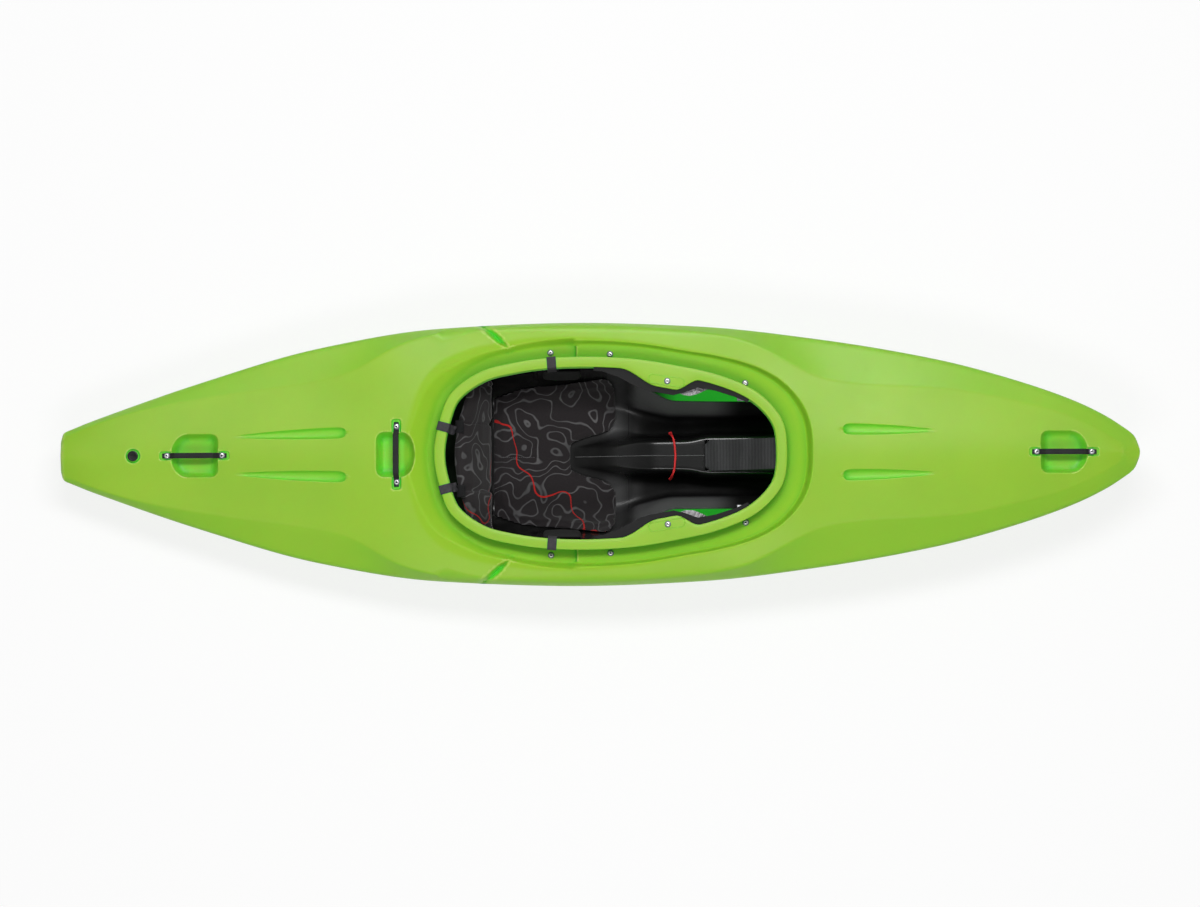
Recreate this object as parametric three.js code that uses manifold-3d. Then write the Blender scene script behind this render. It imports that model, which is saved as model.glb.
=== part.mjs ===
// A river-running whitewater kayak with a hollow one-piece plastic hull, its cockpit outfitting, grab handles
// and drain plug. Sizes are millimetres. X runs to the bow, Y to the paddler's left and Z up, with the origin
// on the floor under the middle of the hull.
import * as THREE from "three";
import { mergeVertices } from "three/addons/utils/BufferGeometryUtils.js";
import Module from "manifold-3d";

const wasm = await Module();
wasm.setup();

// Driving dimensions of the hull
const hullLength = 2590;
const hullBeam = 632;
const deckHeight = 300;
const hullWall = 5;
const railBand = 20;

// Driving dimensions of the cockpit rim
const cockpitLength = 843;
const cockpitWidth = 461;
const cockpitCentreX = 27;
const rimFrontHeight = 305;
const rimRearHeight = 262;
const rimHeight = 40;
const rimThickness = 6;
const rimFlange = 25;
const rimOverhang = 15;
const riserWall = 6;

// Running and seating clearances
const seatGap = 0.3;
const boltGap = 0.5;
const cutOverrun = 60;

const halfLength = hullLength / 2;
const halfBeam = hullBeam / 2;

const plastic = (color, roughness) => new THREE.MeshStandardMaterial({ color, roughness, metalness: 0 });
const metal = (color, roughness) => new THREE.MeshStandardMaterial({ color, roughness, metalness: 1 });
const finishes = {
  hull: plastic(0x8fc63f, 0.42),
  moulding: plastic(0x141414, 0.32),
  fabric: plastic(0x242022, 0.9),
  foam: plastic(0x3c3c3c, 0.95),
  webbing: plastic(0x2e2e2e, 0.85),
  paleWebbing: plastic(0xa8a6aa, 0.8),
  rubber: plastic(0x111111, 0.7),
  cord: plastic(0xd11f26, 0.6),
  steel: metal(0xb9b9bd, 0.3),
  aluminium: metal(0x9a9da1, 0.4),
};

// A cubic through [place, value] rows that never overshoots them and stays level past its ends.
function smoothTable(rows) {
  const gaps = rows.slice(1).map(([place], i) => place - rows[i][0]);
  const rises = gaps.map((gap, i) => (rows[i + 1][1] - rows[i][1]) / gap);
  const slopes = rows.map((_, i) => {
    if (i === 0) return rises[0];
    if (i === gaps.length) return rises[i - 1];
    if (rises[i - 1] * rises[i] <= 0) return 0;
    return (2 * rises[i - 1] * rises[i]) / (rises[i - 1] + rises[i]);
  });
  return (place) => {
    const last = rows.length - 1;
    if (place <= rows[0][0]) return rows[0][1];
    if (place >= rows[last][0]) return rows[last][1];
    const i = rows.findIndex((_, k) => place <= rows[k + 1][0]);
    const t = (place - rows[i][0]) / gaps[i];
    const from = (1 + 2 * t) * (1 - t) ** 2 * rows[i][1] + t * (1 - t) ** 2 * gaps[i] * slopes[i];
    const to = t * t * (3 - 2 * t) * rows[i + 1][1] - t * t * (1 - t) * gaps[i] * slopes[i + 1];
    return from + to;
  };
}

// Rises smoothly from 0 to 1 as place goes from low to high.
const smoothStep = (low, high, place) => THREE.MathUtils.smoothstep(place, low, high);

// A manifold-3d solid from a three.js geometry, turned to face outwards.
function solidOf(geometry) {
  const plain = geometry.index ? geometry.toNonIndexed() : geometry.clone();
  plain.deleteAttribute("normal");
  plain.deleteAttribute("uv");
  const merged = mergeVertices(plain, 1e-4);
  const triVerts = new Uint32Array(merged.index.array);
  const vertProperties = new Float32Array(merged.attributes.position.array);
  const made = new wasm.Manifold(new wasm.Mesh({ numProp: 3, vertProperties, triVerts }));
  if (made.volume() > 0) return made;
  for (let i = 0; i < triVerts.length; i += 3) {
    [triVerts[i + 1], triVerts[i + 2]] = [triVerts[i + 2], triVerts[i + 1]];
  }
  return new wasm.Manifold(new wasm.Mesh({ numProp: 3, vertProperties, triVerts }));
}

// A three.js geometry from a manifold-3d solid.
function geometryOf(solid) {
  const { numProp, vertProperties, triVerts } = solid.getMesh();
  const count = vertProperties.length / numProp;
  const positions = new Float32Array(count * 3);
  for (let i = 0; i < count; i++) {
    positions.set(vertProperties.subarray(i * numProp, i * numProp + 3), i * 3);
  }
  const geometry = new THREE.BufferGeometry();
  geometry.setAttribute("position", new THREE.BufferAttribute(positions, 3));
  geometry.setIndex(new THREE.BufferAttribute(new Uint32Array(triVerts), 1));
  geometry.computeVertexNormals();
  return geometry;
}

// Triangles that close a ring of points, wound the same way round as the ring. Points that lie in one line
// are told apart by a tiny wave, so that none of them is left out.
const wave = 1e-3;
const waveStep = 7;
function capOf(ring, axes) {
  const flat = ring.map(
    (point, i) => new THREE.Vector2(point[axes[0]] + wave * Math.sin(waveStep * i), point[axes[1]] + wave * Math.cos(waveStep * i)),
  );
  const ringSign = Math.sign(THREE.ShapeUtils.area(flat));
  return THREE.ShapeUtils.triangulateShape(flat, []).map(([a, b, c]) => {
    const sign = Math.sign(THREE.ShapeUtils.area([flat[a], flat[b], flat[c]]));
    return sign === ringSign ? [a, b, c] : [a, c, b];
  });
}

// A closed body through rings of [x, y, z] points. The two end rings are closed flat in the given axes.
function loft(rings, axes = [1, 2]) {
  const count = rings[0].length;
  const faces = [];
  for (let r = 0; r + 1 < rings.length; r++) {
    for (let i = 0; i < count; i++) {
      const near = r * count + i;
      const next = r * count + ((i + 1) % count);
      faces.push([near, next, next + count], [near, next + count, near + count]);
    }
  }
  const end = (rings.length - 1) * count;
  capOf(rings[0], axes).forEach(([a, b, c]) => faces.push([a, c, b]));
  capOf(rings[rings.length - 1], axes).forEach((face) => faces.push(face.map((i) => i + end)));
  const geometry = new THREE.BufferGeometry();
  geometry.setAttribute("position", new THREE.Float32BufferAttribute(rings.flat(2), 3));
  geometry.setIndex(faces.flat());
  return solidOf(geometry);
}

// A body that stands between two heights over an [x, y] outline. A height may follow the place.
function prism(outline, low, high) {
  const height = (value, [x, y]) => (typeof value === "function" ? value(x, y) : value);
  const ring = (value) => outline.map((point) => [...point, height(value, point)]);
  return loft([ring(low), ring(high)], [0, 1]);
}

// A body whose [x, z] profile is extruded across the boat, between two places on Y.
function slab(profile, fromY, toY) {
  const shape = new THREE.Shape(profile.map(([x, z]) => new THREE.Vector2(x, z)));
  const geometry = new THREE.ExtrudeGeometry(shape, { depth: toY - fromY, bevelEnabled: false });
  return solidOf(geometry.rotateX(Math.PI / 2).translate(0, toY, 0));
}

// A cylinder on the Z axis, between two heights.
function post(radius, low, high, sides = 12) {
  const geometry = new THREE.CylinderGeometry(radius, radius, high - low, sides);
  return solidOf(geometry.rotateX(Math.PI / 2).translate(0, 0, (low + high) / 2));
}

// A body turned about the Z axis from a profile of [radius, height] points.
function turned(profile, sides = 12) {
  const points = profile.map(([radius, height]) => new THREE.Vector2(radius, height));
  return solidOf(new THREE.LatheGeometry(points, sides).rotateX(Math.PI / 2));
}

const placed = (solid, matrix) => solid.transform(matrix.elements);
const mirrored = (solid) => solid.mirror([0, 1, 0]);
const joined = (solids) => solids.reduce((whole, next) => whole.add(next));
const largest = (solid) => solid.decompose().sort((a, b) => b.volume() - a.volume())[0];
const cutBy = (solid, tools) => tools.reduce((rest, tool) => rest.subtract(tool), solid);

// A circle of points, or an arc of one, as [x, y].
function arc(radius, from, to, steps, centre = [0, 0]) {
  return Array.from({ length: steps + 1 }, (_, i) => {
    const angle = from + ((to - from) * i) / steps;
    return [centre[0] + radius * Math.cos(angle), centre[1] + radius * Math.sin(angle)];
  });
}

// The hull's lines. Each row is a place along the hull, as a share of half its length, and a share of the
// half beam, of the local half breadth or of the deck height.
const breadthShareAt = smoothTable([
  [-1, 0.13], [-0.995, 0.178], [-0.979, 0.212], [-0.923, 0.299], [-0.739, 0.56], [-0.517, 0.821],
  [-0.296, 0.961], [-0.037, 1], [0.185, 0.968], [0.406, 0.866], [0.628, 0.707], [0.775, 0.544],
  [0.886, 0.382], [0.945, 0.261], [0.975, 0.185], [0.99, 0.125], [1, 0.03],
]);
const creaseBreadthShareAt = smoothTable([
  [-1, 0.8], [-0.92, 0.88], [-0.707, 0.747], [-0.543, 0.68], [-0.476, 0.7], [-0.369, 0.9],
  [-0.277, 0.96], [0, 0.97], [0.166, 0.95], [0.259, 0.92], [0.323, 0.82], [0.368, 0.72],
  [0.425, 0.637], [0.475, 0.626], [0.699, 0.7], [0.831, 0.69], [0.953, 0.5], [0.975, 0.25], [1, 0.2],
]);
const deckShareAt = smoothTable([
  [-1, 0.573], [-0.979, 0.593], [-0.927, 0.613], [-0.739, 0.663], [-0.517, 0.74], [-0.406, 0.787],
  [-0.34, 0.817], [-0.154, 0.917], [0, 1], [0.166, 1.02], [0.332, 1.01], [0.406, 0.995],
  [0.54, 0.98], [0.695, 0.947], [0.831, 0.9], [0.927, 0.86], [0.981, 0.833], [1, 0.81],
]);
const creaseShareAt = smoothTable([
  [-1, 0.54], [-0.927, 0.593], [-0.707, 0.633], [-0.543, 0.68], [-0.369, 0.747], [-0.277, 0.753],
  [0, 0.81], [0.166, 0.833], [0.259, 0.873], [0.323, 0.913], [0.368, 0.937], [0.425, 0.94],
  [0.54, 0.933], [0.699, 0.9], [0.831, 0.863], [0.953, 0.83], [1, 0.8],
]);
const gunwaleShareAt = smoothTable([
  [-1, 0.5], [-0.77, 0.5], [-0.517, 0.533], [-0.309, 0.607], [-0.154, 0.65], [0, 0.667],
  [0.232, 0.69], [0.463, 0.727], [0.695, 0.753], [1, 0.782],
]);
const keelShareAt = smoothTable([
  [-1, 0.45], [-0.981, 0.407], [-0.927, 0.353], [-0.739, 0.213], [-0.517, 0.073], [-0.371, 0.017],
  [-0.27, 0], [0.23, 0], [0.332, 0.013], [0.463, 0.067], [0.628, 0.19], [0.772, 0.35],
  [0.888, 0.527], [0.965, 0.677], [1, 0.762],
]);
const chineBreadthShareAt = smoothTable([
  [-1, 0.7], [-0.739, 0.74], [-0.386, 0.8], [0, 0.82], [0.309, 0.8], [0.54, 0.7], [0.772, 0.55], [1, 0.5],
]);
const chineRiseShareAt = smoothTable([
  [-1, 0.01], [-0.695, 0.05], [-0.232, 0.085], [0, 0.085], [0.309, 0.1], [0.618, 0.12], [0.849, 0.09], [1, 0.005],
]);
const flatFloorShare = 0.55;
const crownPlaceShare = 0.5;
const crownRiseShare = 0.75;

// Places of the hull's sections, as shares of half its length
const stationShares = [
  -1, -0.995, -0.979, -0.94, -0.86, -0.77, -0.67, -0.57, -0.47, -0.4, -0.35, -0.31, -0.25, -0.16, -0.037,
  0.08, 0.18, 0.26, 0.32, 0.38, 0.45, 0.54, 0.64, 0.74, 0.82, 0.88, 0.93, 0.965, 0.99, 1,
];
const innerStationShares = stationShares.filter((share) => share > -0.99 && share < 0.96);

// The corners of one half section, from the keel round to the deck's middle, as [y, z]
function hullCorners(x) {
  const place = x / halfLength;
  const breadth = halfBeam * breadthShareAt(place);
  const keel = deckHeight * keelShareAt(place);
  const chine = keel + deckHeight * chineRiseShareAt(place);
  const gunwale = deckHeight * gunwaleShareAt(place);
  const crease = deckHeight * creaseShareAt(place);
  const deck = deckHeight * deckShareAt(place);
  const creaseBreadth = breadth * creaseBreadthShareAt(place);
  const band = Math.min(railBand / 2, (gunwale - chine) / 3, (crease - gunwale) / 3);
  return [
    [0, keel],
    [breadth * flatFloorShare, keel],
    [breadth * chineBreadthShareAt(place), chine],
    [breadth, gunwale - band],
    [breadth, gunwale + band],
    [creaseBreadth, crease],
    [creaseBreadth * crownPlaceShare, crease + (deck - crease) * crownRiseShare],
    [0, deck],
  ];
}

// Moves a half section inwards by a wall, keeping its ends on the middle plane.
function insetCorners(corners, wall) {
  const normals = corners.slice(1).map(([y, z], i) => {
    const run = new THREE.Vector2(y - corners[i][0], z - corners[i][1]).normalize();
    return [-run.y, run.x];
  });
  return corners.map(([y, z], i) => {
    const before = normals[Math.max(i - 1, 0)];
    const after = normals[Math.min(i, normals.length - 1)];
    if (i === 0) return [0, z + wall / after[1]];
    if (i === corners.length - 1) return [0, z + wall / before[1]];
    const scale = wall / (1 + before[0] * after[0] + before[1] * after[1]);
    return [y + (before[0] + after[0]) * scale, z + (before[1] + after[1]) * scale];
  });
}

// Corner radii and the points that each rounded corner is drawn with
const chineRound = 45;
const railRound = 9;
const creaseRound = 16;
const cornerRounds = [
  { radius: 0, points: 1 },
  { radius: chineRound, points: 3 },
  { radius: railRound, points: 2 },
  { radius: railRound, points: 2 },
  { radius: creaseRound, points: 3 },
  { radius: 0, points: 1 },
];
const longestRoundShare = 0.45;

// Rounds the inner corners of a half section with parabolas.
function roundedPath(corners) {
  const path = [corners[0]];
  cornerRounds.forEach(({ radius, points }, i) => {
    const corner = corners[i + 1];
    if (points === 1) {
      path.push(corner);
      return;
    }
    const towards = (other) => {
      const length = Math.hypot(other[0] - corner[0], other[1] - corner[1]);
      const share = Math.min(radius / length, longestRoundShare);
      return [corner[0] + (other[0] - corner[0]) * share, corner[1] + (other[1] - corner[1]) * share];
    };
    const start = towards(corners[i]);
    const end = towards(corners[i + 2]);
    for (let k = 0; k < points; k++) {
      const t = k / (points - 1);
      path.push([0, 1].map((a) => (1 - t) ** 2 * start[a] + 2 * t * (1 - t) * corner[a] + t * t * end[a]));
    }
  });
  path.push(corners[corners.length - 1]);
  return path;
}

const outerPath = (x) => roundedPath(hullCorners(x));
const innerPath = (x) => roundedPath(insetCorners(hullCorners(x), hullWall));

// A whole section at one station, from its half path
function wholeSection(x, path) {
  const right = path.slice(1, -1).reverse().map(([y, z]) => [x, -y, z]);
  return [...path.map(([y, z]) => [x, y, z]), ...right];
}

const skin = (shares, path) => loft(shares.map((share) => wholeSection(share * halfLength, path(share * halfLength))));

// Heights of a section path over a place on Y: the floor's and the deck's
function heightsOnPath(path, y) {
  const found = path.slice(1).flatMap((to, i) => {
    const from = path[i];
    const low = Math.min(from[0], to[0]);
    const high = Math.max(from[0], to[0]);
    if (y < low || y > high || low === high) return [];
    return [from[1] + ((to[1] - from[1]) * (y - from[0])) / (to[0] - from[0])];
  });
  return { floor: Math.min(...found), deck: Math.max(...found) };
}

// Heights of the flat-faced hull's inside at any place, between its two nearest stations
function insideAt(x, y) {
  const stations = innerStationShares.map((share) => share * halfLength);
  const i = Math.max(stations.findIndex((station) => station >= x), 1);
  const share = (x - stations[i - 1]) / (stations[i] - stations[i - 1]);
  const before = heightsOnPath(innerPath(stations[i - 1]), Math.abs(y));
  const after = heightsOnPath(innerPath(stations[i]), Math.abs(y));
  return {
    floor: before.floor + (after.floor - before.floor) * share,
    deck: before.deck + (after.deck - before.deck) * share,
  };
}

// Places along a piece that runs against the hull's inside: its own, and the hull's stations between its ends
function alongHull(places) {
  const [from, to] = [Math.min(...places), Math.max(...places)];
  const stations = innerStationShares.map((share) => share * halfLength).filter((x) => x > from && x < to);
  const apart = stations.filter((x) => places.every((place) => Math.abs(place - x) > seatGap));
  return [...places, ...apart].sort((a, b) => a - b);
}

const deckAt = (x) => deckHeight * deckShareAt(x / halfLength);

// The rim's plane, which rises to the bow
const rimSlope = (rimFrontHeight - rimRearHeight) / cockpitLength;
const rimAt = (x) => (rimFrontHeight + rimRearHeight) / 2 + (x - cockpitCentreX) * rimSlope;
const rimAngle = Math.atan(rimSlope);

// The rim's outer edge on the left side, from the stern round to the bow, as shares of its half sizes
const rimShares = [
  [-1, 0], [-0.974, 0.305], [-0.905, 0.623], [-0.74, 0.846], [-0.548, 0.941], [-0.34, 0.99], [-0.097, 1],
  [0.162, 0.969], [0.423, 0.887], [0.597, 0.813], [0.771, 0.689], [0.893, 0.528], [0.979, 0.304], [1, 0],
];
const rimPointsPerSpan = 2;

// The rim's outer edge as a closed smooth loop of { point, normal }, the normals pointing into the cockpit
function rimLoop(pointsPerSpan = rimPointsPerSpan) {
  const half = rimShares.map(([x, y]) => [cockpitCentreX + (x * cockpitLength) / 2, (y * cockpitWidth) / 2]);
  const other = half.slice(1, -1).reverse().map(([x, y]) => [x, -y]);
  const knots = [...half, ...other];
  const knot = (i) => knots[(i + knots.length) % knots.length];
  const spot = (i, t) =>
    [0, 1].map((a) => {
      const [before, from, to, after] = [knot(i - 1)[a], knot(i)[a], knot(i + 1)[a], knot(i + 2)[a]];
      const slopeFrom = (to - before) / 2;
      const slopeTo = (after - from) / 2;
      return (
        (1 + 2 * t) * (1 - t) ** 2 * from + t * (1 - t) ** 2 * slopeFrom +
        t * t * (3 - 2 * t) * to - t * t * (1 - t) * slopeTo
      );
    });
  const points = knots.flatMap((_, i) => Array.from({ length: pointsPerSpan }, (_, k) => spot(i, k / pointsPerSpan)));
  return points.map((point, i) => {
    const ahead = points[(i + 1) % points.length];
    const behind = points[(i + points.length - 1) % points.length];
    const run = new THREE.Vector2(ahead[0] - behind[0], ahead[1] - behind[1]).normalize();
    return { point, normal: [run.y, -run.x] };
  });
}

const loop = rimLoop();

// Places along the cockpit, the foredeck and the stern deck, from shares of their lengths
const inCockpit = (share) => cockpitCentreX + (share * cockpitLength) / 2;
const alongCockpit = (x) => (x - cockpitCentreX) / (cockpitLength / 2);
const halfCockpitWidth = cockpitWidth / 2;
const onForedeck = (share) => inCockpit(1) + share * (halfLength - inCockpit(1));
const onSternDeck = (share) => inCockpit(-1) - share * (halfLength + inCockpit(-1));

// The ledge lies parallel to the rim, a rim's height below it, or deeper where the deck beside it is lower
const ledgeShoulder = 8;
const ledgeDrop = Math.max(
  rimHeight,
  ...loop.map(({ point: [x, y] }) => {
    const side = Math.min(Math.abs(y), halfBeam * breadthShareAt(x / halfLength) - railBand);
    return rimAt(x) - heightsOnPath(outerPath(x), side).deck + ledgeShoulder;
  }),
);
const ledgeAt = (x) => rimAt(x) - ledgeDrop;

// Tables along the cockpit, whose values are shares of its half width or of the ledge's height
function acrossCockpit(shares) {
  const shareAt = smoothTable(shares);
  return (x) => halfCockpitWidth * shareAt(alongCockpit(x));
}
function belowLedge(shares) {
  const shareAt = smoothTable(shares);
  return (x) => ledgeAt(x) * shareAt(alongCockpit(x));
}
const insetPoint = ({ point, normal }, inset) => [point[0] + normal[0] * inset, point[1] + normal[1] * inset];
const insetOutline = (inset) =>
  loop.map((spot) => insetPoint(spot, typeof inset === "function" ? inset(spot.point[0]) : inset));

// A place beside the rim: x on its outer edge, and how far inwards from that edge
function besideRim(x, inset) {
  const left = loop.filter(({ point }) => point[1] >= 0).sort((a, b) => a.point[0] - b.point[0]);
  const i = Math.max(left.findIndex(({ point }) => point[0] >= x), 1);
  const t = (x - left[i - 1].point[0]) / (left[i].point[0] - left[i - 1].point[0]);
  const mix = (key) => [0, 1].map((a) => left[i - 1][key][a] * (1 - t) + left[i][key][a] * t);
  return insetPoint({ point: mix("point"), normal: mix("normal") }, inset);
}

// The knee hooks: the rim's flange reaches inwards on both sides, ahead of the hips
const hookReach = 33;
const hookRiseShares = [0.055, 0.292];
const hookFallShares = [0.391, 0.517];
const hookAt = (x) =>
  smoothStep(...hookRiseShares, alongCockpit(x)) * (1 - smoothStep(...hookFallShares, alongCockpit(x)));
const openingInset = (x) => rimFlange + hookReach * hookAt(x);

// The sunken ledge round the rim. Its width beyond the rim and the run of its wall change from stern to bow.
const ledgeWidth = 32;
const ledgeWidthShareAt = smoothTable([[-0.9, 0.56], [-0.4, 0.94], [0.4, 1], [1, 1.31]]);
const ledgeWallRun = 22;
const ledgeWallRunShareAt = smoothTable([[-0.95, 2.64], [-0.6, 1.36], [0.4, 1], [1, 1]]);
const ledgeEdge = (x) => ledgeWidth * ledgeWidthShareAt(alongCockpit(x));
const ledgeWallTop = (x) => ledgeEdge(x) + ledgeWallRun * ledgeWallRunShareAt(alongCockpit(x));
const ledgeWallRise = 30;
const aboveAll = Math.max(deckHeight, rimFrontHeight, rimRearHeight) + cutOverrun;

function ledgeTool(grow) {
  const foot = insetOutline((x) => -ledgeEdge(x) - grow);
  const top = insetOutline((x) => -ledgeWallTop(x) - grow);
  const above = top.map(([x, y]) => [x, y, aboveAll]);
  return loft(
    [
      foot.map(([x, y]) => [x, y, ledgeAt(x) - grow]),
      top.map(([x, y]) => [x, y, ledgeAt(x) + ledgeWallRise - grow]),
      above,
    ],
    [0, 1],
  );
}

// The drainage step in the ledge beside each hip: its floor falls to a step that faces the bow
const pocketRearX = inCockpit(-0.569);
const pocketFrontX = inCockpit(-0.199);
const pocketDepth = 11;
function pocketTool(grow) {
  const stations = Array.from({ length: 5 }, (_, i) => pocketRearX + ((pocketFrontX - pocketRearX) * i) / 4);
  stations[4] += grow;
  const depthAt = (x) => (pocketDepth * (x - pocketRearX)) / (pocketFrontX - pocketRearX) + grow;
  const rings = stations.map((x) => {
    const near = besideRim(x, rimOverhang + grow)[1];
    const far = besideRim(x, -ledgeEdge(x) - grow)[1];
    const floor = ledgeAt(x) - depthAt(x);
    const top = ledgeAt(x) + ledgeWallRise / 2;
    return [[x, near, floor], [x, far, floor], [x, far, top], [x, near, top]];
  });
  const left = loft(rings);
  return [left, mirrored(left)];
}

// The slanting notch between the side deck and the stern deck, as a V-shaped channel
const notchOuter = [inCockpit(-0.733), halfBeam * 0.987];
const notchInner = [inCockpit(-0.567), halfBeam * 0.791];
const notchHalfWidth = 9;
const notchDepth = 15;
function notchTool(grow) {
  const run = new THREE.Vector2(notchInner[0] - notchOuter[0], notchInner[1] - notchOuter[1]);
  const across = new THREE.Vector2(-run.y, run.x).normalize();
  const ring = (share) => {
    const x = notchOuter[0] + run.x * share;
    const y = notchOuter[1] + run.y * share;
    const surface = heightsOnPath(outerPath(x), Math.min(y, halfBeam * breadthShareAt(x / halfLength) - railBand)).deck;
    const half = notchHalfWidth * (share < 1 ? 1 : notchInnerShare) + grow;
    const bottom = surface - notchDepth * (share < 1 ? 1 : notchInnerShare) - grow;
    const side = (sign, z) => [x + across.x * half * sign, y + across.y * half * sign, z];
    return [side(-1, surface + cutOverrun), [x, y, bottom], side(1, surface + cutOverrun)];
  };
  const left = loft([ring(notchOuterShare), ring(0.5), ring(1)], [1, 2]);
  return [left, mirrored(left)];
}
const notchInnerShare = 0.35;
const notchOuterShare = -0.1;

// Tapering grooves that stiffen the deck: two on the stern and two on the bow, blunt towards the cockpit
const grooveDepth = 9;
const grooveHalfWidth = 13;
const grooves = [
  { deck: onSternDeck, bluntShare: 0.235, tipShare: 0.484, bluntSideShare: 0.168, tipSideShare: 0.146 },
  { deck: onForedeck, bluntShare: 0.158, tipShare: 0.403, bluntSideShare: 0.174, tipSideShare: 0.165 },
].map(({ deck, bluntShare, tipShare, bluntSideShare, tipSideShare }) => ({
  bluntX: deck(bluntShare),
  tipX: deck(tipShare),
  bluntY: halfBeam * bluntSideShare,
  tipY: halfBeam * tipSideShare,
}));
const grooveStationShares = [[0, 0.35], [0.04, 0.8], [0.1, 1], [0.4, 0.85], [0.75, 0.4], [1, 0.05]];
const grooveSides = 8;
function grooveTools(grow) {
  return grooves.flatMap(({ bluntX, tipX, bluntY, tipY }) => {
    const rings = grooveStationShares.map(([share, size]) => {
      const x = bluntX + (tipX - bluntX) * share + (share === 0 ? Math.sign(bluntX - tipX) * grow : 0);
      const y = bluntY + (tipY - bluntY) * share;
      const surface = heightsOnPath(outerPath(x), y).deck;
      return arc(1, 0, 2 * Math.PI, grooveSides)
        .slice(0, grooveSides)
        .map(([across, up]) => [
          x,
          y + across * (grooveHalfWidth * size + grow),
          surface + up * (grooveDepth * size + grow),
        ]);
    });
    const left = loft(rings);
    return [left, mirrored(left)];
  });
}

// A frame that sits on the deck's middle line at x, tipped with the deck
const slopeRun = 30;
function deckFrame(x, turn = 0, drop = 0) {
  const pitch = -Math.atan((deckAt(x + slopeRun) - deckAt(x - slopeRun)) / (2 * slopeRun));
  return new THREE.Matrix4()
    .makeTranslation(x, 0, deckAt(x) - drop)
    .multiply(new THREE.Matrix4().makeRotationY(pitch))
    .multiply(new THREE.Matrix4().makeRotationZ(turn));
}

// Grab handles: a bar on two tabs, screwed down in slots over a finger recess
const handlePitch = 133;
const handleTab = 22;
const handleWidth = 13;
const handleTabThickness = 5;
const gripThickness = 10;
const gripRise = 9;
const gripRamp = 9;
const handleSlotDepth = 3;
const handleSlotMargin = 5;
const recessDepth = 24;
const recessDraft = 8;
const handleLength = handlePitch + handleTab;
const recessLength = 114;
const recessWidth = 106;
const deckRecessLength = 95;
const deckRecessSink = 4;
const handles = [
  { name: "bow_handle", x: onForedeck(0.783), turn: 0, drop: 0, length: recessLength, roundTo: 1 },
  { name: "stern_handle", x: onSternDeck(0.64), turn: 0, drop: 0, length: recessLength, roundTo: -1 },
  { name: "rear_deck_handle", x: onSternDeck(0.1), turn: Math.PI / 2, drop: deckRecessSink, length: deckRecessLength, roundTo: 1 },
];

// The finger recess's outline: square with round corners on one side and a half round on the other
function recessOutline({ length, roundTo }, grow) {
  const half = recessWidth / 2 + grow;
  const cornerRadius = half / 3;
  const back = -length / 2 - grow;
  const noseCentre = length / 2 + grow - half * recessNoseShare;
  const nose = arc(1, -Math.PI / 2, Math.PI / 2, 8).map(([x, y]) => [noseCentre + x * half * recessNoseShare, y * half]);
  const corner = (sign) =>
    arc(cornerRadius, (sign * Math.PI) / 2, sign > 0 ? Math.PI : -Math.PI, 3, [
      back + cornerRadius,
      sign * (half - cornerRadius),
    ]);
  const outline = [...nose, ...corner(1), ...corner(-1).reverse()];
  return outline.map(([x, y]) => [x * roundTo, y]);
}
const recessNoseShare = 0.75;

// What each handle takes out of the hull's skin, as bodies in the boat's frame
function handleTools(handle, grow) {
  const frame = deckFrame(handle.x, 0, handle.drop);
  const turnedFrame = deckFrame(handle.x, handle.turn, handle.drop);
  const wide = recessOutline(handle, grow);
  const narrow = recessOutline(handle, grow - recessDraft);
  const recess = loft(
    [
      narrow.map(([x, y]) => [x, y, -recessDepth - grow]),
      wide.map(([x, y]) => [x, y, -handleTabThickness - grow]),
      wide.map(([x, y]) => [x, y, cutOverrun]),
    ],
    [0, 1],
  );
  const slotX = handleLength / 2 + handleSlotMargin + grow;
  const slotY = handleWidth / 2 + handleSlotMargin / 2 + grow;
  const slot = prism(
    [[-slotX, -slotY], [slotX, -slotY], [slotX, slotY], [-slotX, slotY]],
    -handleSlotDepth - grow,
    cutOverrun,
  );
  return [placed(recess, frame), placed(slot, turnedFrame)];
}

// Screws with a low round head and a socket, the head's underside at zero
const screwHeadRadius = 7.5;
const screwHeadHeight = 4;
const screwShankRadius = 3;
const socketRadius = 2.2;
const socketDepth = 2;
const headEdgeShare = 0.35;
const headTopShare = 0.62;
const handleScrewLength = 16;
const deckScrewLength = 18;

function screwBody(length) {
  return turned(
    [
      [0, -length],
      [screwShankRadius, -length],
      [screwShankRadius, 0],
      [screwHeadRadius, 0],
      [screwHeadRadius, screwHeadHeight * headEdgeShare],
      [screwHeadRadius * headTopShare, screwHeadHeight],
      [socketRadius, screwHeadHeight],
      [socketRadius, screwHeadHeight - socketDepth],
      [0, screwHeadHeight - socketDepth],
    ],
    8,
  );
}
const screwHole = (length) => post(screwShankRadius + boltGap, -length - boltGap, seatGap + boltGap, 8);

// A frame on a surface that runs parallel to the rim's plane
const rimFrame = (x, y, z) =>
  new THREE.Matrix4().makeTranslation(x, y, z).multiply(new THREE.Matrix4().makeRotationY(-rimAngle));

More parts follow.
